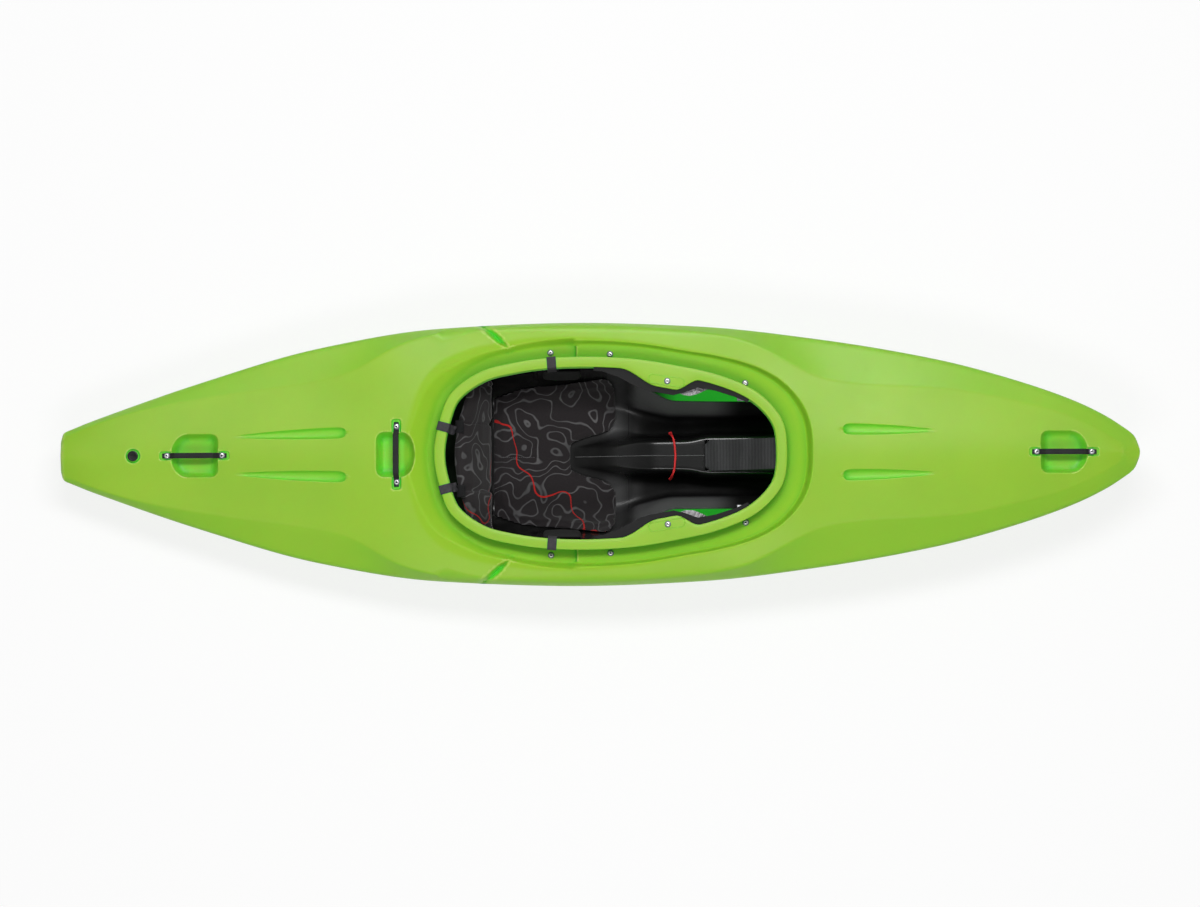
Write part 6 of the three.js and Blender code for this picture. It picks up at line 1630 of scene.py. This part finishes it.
def cushion(name, source, voxel, shrink, cap, keeps):
    """A stuffed copy of a solid pad: remeshed, blown up as cloth by no more than a cap, then subdivided."""
    piece = bpy.data.objects.new(name, nodes[source].data.copy())
    bpy.context.scene.collection.objects.link(piece)
    piece.data.materials.clear()
    editing(piece)
    bpy.ops.mesh.select_all(action="SELECT")
    bpy.ops.mesh.remove_doubles(threshold=1e-5)
    bpy.ops.transform.shrink_fatten(value=-shrink * MM)
    done()
    with_modifier(piece, "REMESH", mode="VOXEL", voxel_size=voxel * MM)
    with_modifier(piece, "SMOOTH", factor=0.5, iterations=4)
    rest = np.array([v.co for v in piece.data.vertices])
    normal = np.array([v.normal for v in piece.data.vertices])
    only(piece)
    cloth = piece.modifiers.new("Cloth", "CLOTH")
    cloth.settings.use_pressure = True
    cloth.settings.uniform_pressure_force = filling_pressure
    cloth.settings.quality = 5
    cloth.settings.effector_weights.gravity = 0
    cloth.point_cache.frame_start, cloth.point_cache.frame_end = 1, filling_frames
    for step in range(1, filling_frames + 1):
        bpy.context.scene.frame_set(step)
    bpy.ops.object.modifier_apply(modifier="Cloth")
    bpy.context.scene.frame_set(1)
    moved = np.array([v.co for v in piece.data.vertices]) - rest
    length = np.linalg.norm(moved, axis=1)
    hold = keeps(rest / MM, normal) * cap * MM
    moved *= (np.minimum(length, hold) / np.maximum(length, 1e-9))[:, None]
    piece.data.vertices.foreach_set("co", (rest + moved).ravel())
    piece.data.update()
    with_modifier(piece, "SUBSURF", levels=1, render_levels=1)
    shaded(piece, 180)
    return piece


def pressed(piece, move):
    """Moves a piece's points by a rule on their places and normals, in millimetres."""
    place = points_of(piece)
    normal = np.array([v.normal for v in piece.data.vertices])
    piece.data.vertices.foreach_set("co", ((place + move(place, normal)) * MM).ravel())
    piece.data.update()


def stitches(name, path, step, size, finish, slot, body):
    """A row of thread stitches along a path, all in one mesh."""
    if len(path) < 3:
        return
    path = np.asarray(path, float)
    run = np.concatenate([[0], np.cumsum(np.linalg.norm(np.diff(path, axis=0), axis=1))])
    places = np.arange(step / 2, run[-1], step)
    points, faces = [], []
    for at in places:
        a = np.array([np.interp(at - step * 0.32, run, path[:, k]) for k in range(3)])
        b = np.array([np.interp(at + step * 0.32, run, path[:, k]) for k in range(3)])
        along = (b - a) / max(np.linalg.norm(b - a), 1e-9)
        side = np.cross(along, (0.1, 0.2, 1))
        side /= np.linalg.norm(side)
        up = np.cross(side, along)
        first = len(points)
        for centre, radius in ((a, 0.3), (a * 0.75 + b * 0.25, 1), (a * 0.25 + b * 0.75, 1), (b, 0.3)):
            for k in range(6):
                turn = k * math.pi / 3
                points.append(centre + size * radius * (side * math.cos(turn) + up * math.sin(turn)))
        faces += grid_faces(4, 6, True, first)
        faces += [tuple(first + k for k in range(6))[::-1], tuple(first + 18 + k for k in range(6))]
    piece = new_mesh(name, points, faces)
    outward(piece)
    return finished(piece, finish, slot, body)


def seat_pad():
    """The seat's cushion, with its seam, its folds and its rear pushed under the band."""
    def keeps(place, normal):
        return np.clip(0.15 + normal[:, 2] * 1.2, 0.1, 1)

    piece = cushion("seat_cushion", "seat_pad", 5.0, 1.6, 6.0, keeps)

    def sewn(place, normal):
        x, y, _ = place.T
        up = np.clip(normal[:, 2], 0, 1)
        # the seam that joins the two halves behind the notch, and soft folds that run out from it
        middle = np.exp(-((y / 2.6) ** 2)) * (1 - smooth_step(-120, -96, x)) * 2.2
        fold = np.exp(-(((x + 205 + 0.10 * y) / 4.0) ** 2)) * (1 - smooth_step(60, 95, np.abs(y))) * 1.4
        beside = np.exp(-(((np.abs(y) - 52 - 0.35 * (x + 66)) / 6.0) ** 2))
        tuck = beside * smooth_step(-150, -80, x) * (1 - smooth_step(-60, -20, x)) * 1.8
        waves = 0.8 * np.sin(x / 17 + np.sin(y / 23) * 1.6) * np.sin(y / 21 + 1.1)
        return -normal * ((middle + fold + tuck + waves * 0.6) * up)[:, None]

    pressed(piece, sewn)
    pressed(piece, lambda place, normal: np.outer(1 - smooth_step(-247, -205, place[:, 0]), (-11, 0, 0)))
    finished(piece, pad_print, "fabric", "boat", "seat_pad")
    return piece


def back_band():
    """The back band's cushion, with a seam on each side and stitched ends."""
    def keeps(place, normal):
        return np.clip(0.2 + normal[:, 0] + normal[:, 2] * 0.6, 0.08, 1)

    piece = cushion("back_band_cushion", "back_band_pad", 4.5, 1.4, 4.0, keeps)

    def sewn(place, normal):
        y = place[:, 1]
        front = np.clip(normal[:, 0] * 1.4 + normal[:, 2] * 0.5, 0, 1)
        seams = sum(np.exp(-(((y - at) / 3.0) ** 2)) for at in (77, -84)) * 3.2
        ends = sum(np.exp(-(((y - at) / 4.0) ** 2)) for at in (168, -168)) * 1.6
        waves = 0.9 * np.sin(y / 15 + place[:, 2] / 23)
        return -normal * ((seams + ends + waves * 0.5) * front)[:, None]

    pressed(piece, sewn)
    finished(piece, band_print, "fabric", "back_band", "back_band_pad")
    return piece


def small_pads():
    """The hip, thigh and foot pads. Each swells on the side that it is leant against."""
    def facing(axis, sign, least):
        return lambda place, normal: np.clip(normal[:, axis] * sign, least, 1)

    for side, sign in (("left", 1), ("right", -1)):
        hip = cushion("hip_cushion_" + side, "hip_pad_" + side, 3.5, 1.0, 2.0, facing(1, -sign, 0.1))
        finished(hip, pad_foam, "foam", "boat", "hip_pad_" + side)
        thigh = cushion("thigh_cushion_" + side, "thigh_pad_" + side, 3.0, 0.6, 0.8, facing(2, -1, 0.05))
        finished(thigh, pad_foam, "foam", "boat", "thigh_pad_" + side)
    foot = cushion("foot_cushion", "foot_plate_pad", 3.5, 0.6, 1.2, facing(0, -1, 0.05))
    finished(foot, pad_foam, "foam", "footrest", "foot_plate_pad")


# Straps
web_width, web_thickness = 22, 1.4
web_off = 0.6 + web_thickness / 2


def over_rim(inner, tail):
    """A strap's path across the rim, as (inset, height over the rim's plane)."""
    off, t = web_off, rim_thickness
    return [
        (rim_overhang - off * 2, -t - off), (-off * 0.6, -t - off), (-off * 1.5, -t + 1),
        (-off * 1.6, -t / 2), (-off * 1.2, off * 0.2), (1.5, off + 0.4), (inner / 2, off + 0.7),
        (inner - 2, off + 0.4), (inner + off, -off), *tail,
    ]


def rim_strap(name, x, side, inner, tail, crumple):
    """A strap that hooks under the rim's outer edge, crosses it at a place and hangs down inside."""
    base, next_to = beside_rim(x, 0), beside_rim(x, 1)
    inward = next_to - base
    path = []
    for inset, rise in over_rim(inner, tail):
        px = base[0] + inward[0] * inset
        path.append((px, (base[1] + inward[1] * inset) * side, rim_at(px) + rise))
    return tape(name, path, (-inward[1] * side, inward[0], 0), web_width, web_thickness, 90, crumple)


def creased(start, size, seed):
    """A rule for how a strap's end crumples after a share of its length."""
    def rule(t, u):
        grow = float(smooth_step(start, 1, t)) * size
        twist = 0.8 * math.sin(9.0 * t * 6 + seed) * u
        return grow * (twist + 0.6 * np.sin(u * 5.5 + t * 31 + seed) + 0.4 * np.sin(u * 11 - t * 47))

    return rule


band_low, band_high = np.array([-252.0, 72.0]), np.array([-333.0, 214.0])
rear_straps = (("left", 68, 1), ("right", 87, -1))
loose_end = [
    (186, 168, 279), (193, 158, 276), (203, 151, 273), (216, 149, 271), (229, 152, 269), (241, 157, 266),
    (252, 162, 261),
]


def band_top_face(y):
    """The band's top edge at a place: rearwards along it, and up off it."""
    share = min(abs(y) / 184, 1) ** 2
    low, high = band_low + (6 * share, 58 * share), band_high + (39 * share, -28 * share)
    run = (high - low) / np.hypot(*(high - low))
    back = np.array([-run[1], run[0]])
    front = low + (high - low) * 0.95
    return lambda along, off: front + back * along + run * off


def frayed(name, end, run, across, width, count):
    """Loose threads at a pale strap's cut end."""
    end, run, across = (np.array(v, float) for v in (end, run, across))
    for k in range(count):
        u, swing = (k + 0.5) / count - 0.5, math.sin(k * 2.4 + width)
        root = end + across * u * width - run * 4
        bend = root + run * 5 + across * 1.5 * swing + (0, 0, 1.5)
        tip = root + run * (9 + 3 * swing) + across * (3 * swing + 6 * u) + (0, 0, 1 + 2 * swing)
        thread = tape("%s_%d" % (name, k), [root, bend, tip], across, 1.4, 0.7, 8)
        finished(thread, strap_pale, "pale_webbing", "boat")


def straps():
    """The two rear straps, the two hip straps and the pale ends of the thigh straps."""
    for side, y, sign in rear_straps:
        face = band_top_face(y)
        x = stern_rim_x(y)
        inward = (beside_rim(x, 1) - beside_rim(x, 0))[0]
        tail = []
        for along, off in ((20.7, 32), (20.4, 16), (20.0, 8.9)):
            px, pz = face(along, off)
            tail.append(((px - x) / inward, pz - rim_at(px)))
        strap = rim_strap("rear_strap_" + side, x, sign, rim_flange, tail, creased(0.58, 3.2, y))
        finished(strap, strap_dark, "webbing", "boat", "back_band_webbing_" + side)
        tail = [(29, -8), (30.5, -30), (31.5, -56)]
        hip = rim_strap("hip_strap_over_rim_" + side, -114, sign, rim_flange, tail, None)
        finished(hip, strap_dark, "webbing", "boat", "hip_strap_" + side)
        # the pale strap ends come out from under the knee hooks and lie forwards, crumpled and frayed
        path = [(px, py * sign, pz) for px, py, pz in loose_end]
        crumple = creased(0.1, 4.4, 2 + y)
        loose = tape("thigh_strap_end_" + side, path, (-0.35, sign, 0), 25, 1.3, 130, crumple)
        finished(loose, strap_pale, "pale_webbing", "boat", "thigh_strap_" + side)
        frayed("pale_thread_" + side, path[-1], (1, 0.3 * sign, -0.2), (-0.3, sign, 0), 26, 11)


# Foam pillars
def front_pillar():
    """A sawn foam block: its rear rises in a curve to the deck, and its rear corners are cut off."""
    half = 37
    top_at = smooth_table([
        (256, 104), (280, 116), (320, 143), (360, 180), (400, 222), (430, 250), (445, 256), (520, 257),
    ])
    piece = block("front_pillar_foam", (256, -half, 60), (640, half, 255))
    editing(piece)
    cut_across(piece, 0, [266, *range(280, 446, 15), 470, 495, 519, 541, 570, 600])
    cut_across(piece, 1, [-27, 27])
    shape = bmesh.from_edit_mesh(piece.data)
    for vert in shape.verts:
        x, y, z = vert.co / MM
        if z < 100:
            vert.co.z = (inner_floor(x, half) + 0.4) * MM
        else:
            vert.co.z = min(float(top_at(x)) if x < 540 else 300, inner_deck(x, half) - 0.8) * MM
        if x < 257 and abs(y) > 30:
            vert.co.x += 0.010
    bmesh.update_edit_mesh(piece.data)
    done()
    eased(piece, 1.6, 3, 25)
    return finished(piece, pillar_foam, "foam", "boat", "front_pillar")


def rear_pillar():
    """The foam block between the stern's deck and its floor, which the closed hull hides."""
    low_x, high_x, half = -875, -568, 28
    piece = block("rear_pillar_foam", (low_x, -half, 60), (high_x, half, 200))
    editing(piece)
    cut_across(piece, 0, list(range(low_x + 20, high_x - 10, 20)))
    shape = bmesh.from_edit_mesh(piece.data)
    for vert in shape.verts:
        x, y, z = vert.co / MM
        # Marks the sunken ledge round the cockpit, which is duller than the deck and takes a painted shade in
        # its colour.
        if z < 100:
            vert.co.z = (inner_floor(x, half) + 0.5) * MM
        else:
            vert.co.z = (inner_deck(x, half) - 1.0) * MM
    bmesh.update_edit_mesh(piece.data)
    done()
    eased(piece, 1.6, 2, 25)
    return finished(piece, pillar_foam, "foam", "boat", "rear_pillar")


# Handles, screws, buckles and drain plug
def tipped(x, z, slope, turned=False, y=0.0):
    """The frame of a piece that stands on a sloping deck."""
    up = Vector((-slope, 0, 1)).normalized()
    along = Vector((1, 0, slope)).normalized()
    across = Vector((0, 1, 0))
    if turned:
        along, across = across, -along
    matrix = Matrix.Identity(4)
    for k, axis in enumerate((along, across, up)):
        for i in range(3):
            matrix[i][k] = axis[i]
    matrix.translation = Vector((x, y, z)) * MM
    return matrix


def handle_bar():
    """One grab handle at the origin: flat tabs at its ends and a raised, eased grip between them."""
    bar = block("grab_handle", (-77.5, -6.5, -2.7), (77.5, 6.5, 2.3))
    editing(bar)
    cut_across(bar, 0, [-58, -52, -46.5, -30, -12, 12, 30, 46.5, 52, 58])
    shape = bmesh.from_edit_mesh(bar.data)
    for vert in shape.verts:
        x, _, z = vert.co / MM
        rise = float(smooth_step(57, 45.5, abs(x))) if abs(x) > 45 else 1.0
        crown = 0.8 * math.cos(x / 30) if z > 0 and abs(x) < 46 else 0
        vert.co.z += ((14.0 if z > 0 else 9.0) * rise + crown) * MM
        if abs(x) > 70:
            vert.co.y *= 0.82
    bmesh.update_edit_mesh(bar.data)
    # a shallow panel under each screw
    pick(bar, lambda middle, normal: normal.z > 0.9 and abs(middle.x) > 58)
    inset_by(1.6)
    extrude_by(0, 0, -0.35)
    done()
    eased(bar, 2.0, 4, 28)
    return bar


def at_top(middle, normal):
    """Whether a face lies level at a round piece's middle."""
    return normal.z > 0.9 and math.hypot(middle.x, middle.y) < 0.5


def washer_screw():
    """One screw at the origin, head up: washer face, domed head and a hexagon socket."""
    screw = disc("washer_screw", 7.5, 1.3, 48, -4.0)
    editing(screw)
    steps = ((1.1, 0.25), (0.9, 0.0), (0.35, 1.2), (0.7, 0.8), (1.0, 0.35), (1.25, 0.1), (0.12, -2.2))
    for width, rise in steps:
        pick(screw, at_top)
        inset_by(width, rise)
    pick(screw, lambda middle, normal: normal.z < -0.9 and math.hypot(middle.x, middle.y) < 0.5)
    inset_by(4.6)
    extrude_by(0, 0, -16)
    done()
    for finish in (stainless, socket_painted_shadow, washer_dark):
        screw.data.materials.append(finish)
    for face in screw.data.polygons:
        middle = face.center / MM
        out = max(math.hypot(*(screw.data.vertices[v].co.xy / MM)) for v in face.vertices)
        # the socket's faces take a dark painted shadow
        if out < 2.6 and middle.z > -3.2:
            face.material_index = 1
        elif out > 6.2 or middle.z < -3.2:
            face.material_index = 2
    eased(screw, 0.22, 2, 40)
    return screw


def fastened(pattern, name, matrix, node_name):
    """A copy of a pattern that keeps its own finishes, in place of a node."""
    piece = copied(pattern, name, matrix)
    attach(piece, "boat")
    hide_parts(node_name)


def screw_frame(name, slope):
    """The frame of a screw that stands on a sloping face where its node is."""
    low, high = (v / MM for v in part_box(name))
    lean = slope / math.hypot(1, slope)
    return tipped((low.x + high.x) / 2, high.z - 7.5 * abs(lean), slope, y=(low.y + high.y) / 2)


def deck_fittings():
    """The three grab handles, their screws, and the screws on the ledge and the knee hooks."""
    bar, screw = handle_bar(), washer_screw()
    bar.data.materials.append(rubber_black)
    for handle in handles:
        top, slope = deck_plane(handle["x"], handle["drop"])
        stand = tipped(handle["x"], top, slope, handle["turned"])
        fastened(bar, handle["name"] + "_bar", stand, handle["name"])
        for name in (handle["name"] + "_screw_a", handle["name"] + "_screw_b"):
            fastened(screw, name + "_head", screw_frame(name, slope), name)
    for kind in ("seat_screw", "thigh_screw_rear", "thigh_screw_middle", "thigh_screw_front"):
        for name in (kind + "_left", kind + "_right"):
            fastened(screw, name + "_head", screw_frame(name, rim_slope), name)
    for pattern in (bar, screw):
        bpy.data.objects.remove(pattern)


def drain_plug():
    """The drain plug: a ribbed rim, a dished top with a coin slot, and a stem."""
    top, slope = deck_plane(drain_x)
    sides, every = 60, 3
    slot_x, slot_y = 7.2, 1.5
    plug = disc("drain_plug_cap", 12.5, 5.0, sides, -0.5)
    editing(plug)
    for k in range(0, sides, every):
        angle = 2 * math.pi * (k + 0.5) / sides
        spot = Vector((math.cos(angle), math.sin(angle), 0))
        pick(plug, lambda middle, normal: normal.dot(spot) > 0.999 and abs(normal.z) < 0.1)
        inset_by(0.25)
        extrude_by(*(-spot * 0.7))
    for width, rise in ((1.4, 0.9), (1.6, 0.1), (0.8, -0.6), (0.6, 0.0)):
        pick(plug, at_top)
        inset_by(width, rise)
    cut_across(plug, 1, (-slot_y, slot_y))
    cut_across(plug, 0, (-slot_x, slot_x))
    pick(plug, lambda at, normal: normal.z > 0.9 and at.z > 3 and abs(at.x) < slot_x and abs(at.y) < slot_y)
    extrude_by(0, 0, -3.2)
    # the stem grows from the cap's underside, and not from the small lower faces of its ribs
    pick(plug, lambda middle, normal: normal.z < -0.9 and middle.z < -0.4)
    inset_by(4.5)
    extrude_by(0, 0, -10.5)
    done()
    eased(plug, 0.35, 2, 40)
    piece = copied(plug, "drain_plug_head", tipped(drain_x, top, slope))
    bpy.data.objects.remove(plug)
    finished(piece, plug_black, "rubber", "drain_cap", "drain_plug")


def buckles():
    """A ladder buckle on the band's top edge under each rear strap."""
    for side, _, _ in rear_straps:
        low, high = (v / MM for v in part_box("back_band_buckle_" + side))
        piece = block("band_buckle_" + side, low + Vector((1, 0, 2)), Vector((high.x - 1, high.y, low.z + 9)))
        editing(piece)
        x_cuts, y_cuts = (low.x + 6, high.x - 6), (low.y + 4, high.y - 4)
        cut_across(piece, 0, x_cuts)
        cut_across(piece, 1, y_cuts)

        def beside_bar(middle, normal):
            within = y_cuts[0] < middle.y < y_cuts[1]
            return normal.z > 0.9 and within and not x_cuts[0] < middle.x < x_cuts[1]

        pick(piece, beside_bar)
        inset_by(1)
        extrude_by(0, 0, -3)
        shape = bmesh.from_edit_mesh(piece.data)
        for vert in shape.verts:
            vert.co.z += (vert.co.x / MM - (low.x + high.x) / 2) * 0.57 * MM + 4.5 * MM
        bmesh.update_edit_mesh(piece.data)
        done()
        eased(piece, 0.9, 3, 30)
        finished(piece, rubber_black, "rubber", "back_band", "back_band_buckle_" + side)


def rounded_box(half_x, half_y, corner, count):
    """A rectangle's outline with round corners."""
    path = []
    for k, (sx, sy) in enumerate(((1, 1), (-1, 1), (-1, -1), (1, -1))):
        for t in np.linspace(0, math.pi / 2, count):
            angle = t + k * math.pi / 2
            x, y = corner * math.cos(angle), corner * math.sin(angle)
            path.append((sx * (half_x - corner) + x, sy * (half_y - corner) + y))
    return path


rib_section = ((-1.7, -0.5), (-0.9, 0.7), (0, 1.15), (0.9, 0.7), (1.7, -0.5), (0, -0.9))
rib_centre, rib_turn = (161.0, 172.0), math.radians(-9)


def hook_ribs():
    """The thin raised outline round the screw on each knee hook."""
    cos, sin = math.cos(rib_turn), math.sin(rib_turn)
    for side, sign in (("left", 1), ("right", -1)):
        path = []
        for x, y in rounded_box(43, 10.5, 9, 9):
            px, py = rib_centre[0] + x * cos - y * sin, rib_centre[1] + x * sin + y * cos
            path.append((px, py * sign, rim_at(px) + 0.25))
        path = np.array(path)
        out = np.roll(path, -1, 0) - np.roll(path, 1, 0)
        out = np.stack([out[:, 1], -out[:, 0], 0 * out[:, 0]], 1)
        out /= np.linalg.norm(out, axis=1)[:, None]
        points = np.stack([path + out * a + (0, 0, b) for a, b in rib_section], 1)
        count, around = points.shape[:2]
        faces = grid_faces(count + 1, around, True)
        faces = [tuple(v % (count * around) for v in face) for face in faces]
        piece = new_mesh("hook_rib_" + side, points.reshape(-1, 3), faces)
        outward(piece)
        finished(piece, lime, "hull", "boat")


# Making the boat
make_camera()
hump_cord()

hull = finished(hull_piece(), lime, "hull", "boat", "hull_shell")
hull.data.materials.append(lime_inside_painted_light)
bending(hull)
ledge_shares(hull)
hook_ribs()
tray = seat_tray()
matte_shelves_and_painted_light(tray)
finished(tray, tray_black, "moulding", "boat", "seat_tray")
tray_supports()
bpy.context.view_layer.update()
hump_seam(tray)
seat = seat_pad()
band = back_band()
bpy.context.view_layer.update()
for side, sign in (("left", 1), ("right", -1)):
    # just behind the band's front edge, wherever the filling has left it
    rows = [[(x, y * sign) for x in range(-250, -280, -2)] for y in range(150, 182, 2)]
    end = [found[0] for row in rows if (found := surface_height(band, row, 0.2))]
    stitches("band_end_stitches_" + side, end, 5.5, 0.55, thread_pale, "fabric", "back_band")
seam = surface_height(seat, [(x, -1 + 0.4 * math.sin(x)) for x in range(-238, -150, 4)], 0.1)
stitches("seat_seam_stitches", seam, 5.0, 0.5, thread_dark, "fabric", "boat")
small_pads()
straps()
front_pillar()
rear_pillar()
deck_fittings()
drain_plug()
buckles()


def both(*names):
    return [name + side for name in names for side in ("_left", "_right")]


kept = {
    moulding_black: [
        "back_band_shell", "foot_plate",
        *both("thigh_brace", "foot_rail_mount", "ladder_strap", "ratchet_base"),
    ],
    aluminium: both("foot_rail", "ratchet_lever"),
    gasket_green: ["drain_gasket"],
    lime: ["drain_fitting"],
}
# the solids that stay in view get their finishes
for finish, names in kept.items():
    for name in names:
        for holder in nodes[name].material_slots:
            holder.material = finish


# Lamps, floor and background
def lamp(name, place, size, power, lights_matte=True):
    """A rectangular lamp that points at the boat. Without matte light, only glossy surfaces show it."""
    data = bpy.data.lights.new(name, "AREA")
    data.shape, data.size, data.size_y, data.energy = "RECTANGLE", *size, power
    made = bpy.data.objects.new(name, data)
    made.location = place
    made.visible_diffuse = lights_matte
    made.rotation_euler = (Vector((0, 0, 0.2)) - Vector(place)).to_track_quat("-Z", "Y").to_euler()
    bpy.context.scene.collection.objects.link(made)


lamp("key", (0.15, 2.1, 6.1), (3.2, 1.2), 251)
lamp("side_sheen", (0.1, 5.3, 3.4), (3.6, 1.0), 245, False)
lamp("fill", (-0.15, -2.9, 5.8), (3.2, 1.5), 108)


def studio_floor():
    """A pale floor that reads as white and keeps a soft part of the shadow."""
    bpy.ops.object.select_all(action="DESELECT")
    bpy.ops.mesh.primitive_plane_add(size=24, location=(0, 0, -0.0005))
    floor = start("studio_floor")
    finish = bpy.data.materials.new("pale_floor")
    finish.use_nodes = True
    finish.node_tree.nodes.clear()
    matte = node(finish, "ShaderNodeBsdfDiffuse", Color=(0.92, 0.92, 0.92, 1))
    white = node(finish, "ShaderNodeEmission", Color=(1, 1, 1, 1), Strength=1.0)
    path = node(finish, "ShaderNodeLightPath")
    seen = maths(finish, "MAXIMUM", (path, "Is Camera Ray"), (path, "Is Glossy Ray"))
    share = maths(finish, "MULTIPLY", seen, 0.8)
    blend = node(finish, "ShaderNodeMixShader")
    join(finish, share, blend, 0, 0)
    join(finish, matte, blend, 0, 1)
    join(finish, white, blend, 0, 2)
    out = node(finish, "ShaderNodeOutputMaterial")
    join(finish, blend, out, 0, 0)
    floor.data.materials.append(finish)


studio_floor()
AMBIENT = 0.24
world = bpy.data.worlds.new("studio")
bpy.context.scene.world = world
world.use_nodes = True
sky = world.node_tree
background = sky.nodes["Background"]
background.inputs["Color"].default_value = (1, 1, 1, 1)
light_path = sky.nodes.new("ShaderNodeLightPath")
# the ceiling of the studio is darker than its walls, which only reflections show
facing = sky.nodes.new("ShaderNodeTexCoord")
parts = sky.nodes.new("ShaderNodeSeparateXYZ")
sky.links.new(facing.outputs["Generated"], parts.inputs[0])
ceiling = sky.nodes.new("ShaderNodeMapRange")
for key, value in (("From Min", 0.45), ("From Max", 0.92), ("To Min", 1.0), ("To Max", 0.12)):
    ceiling.inputs[key].default_value = value
sky.links.new(parts.outputs["Z"], ceiling.inputs["Value"])
reflected = sky.nodes.new("ShaderNodeMix")
reflected.inputs[2].default_value = AMBIENT
sky.links.new(light_path.outputs["Is Glossy Ray"], reflected.inputs[0])
sky.links.new(ceiling.outputs[0], reflected.inputs[3])
strength = sky.nodes.new("ShaderNodeMix")
strength.inputs[3].default_value = 1.0
sky.links.new(light_path.outputs["Is Camera Ray"], strength.inputs[0])
sky.links.new(reflected.outputs[0], strength.inputs[2])
sky.links.new(strength.outputs[0], background.inputs["Strength"])

bpy.context.scene.view_settings.view_transform = "Standard"
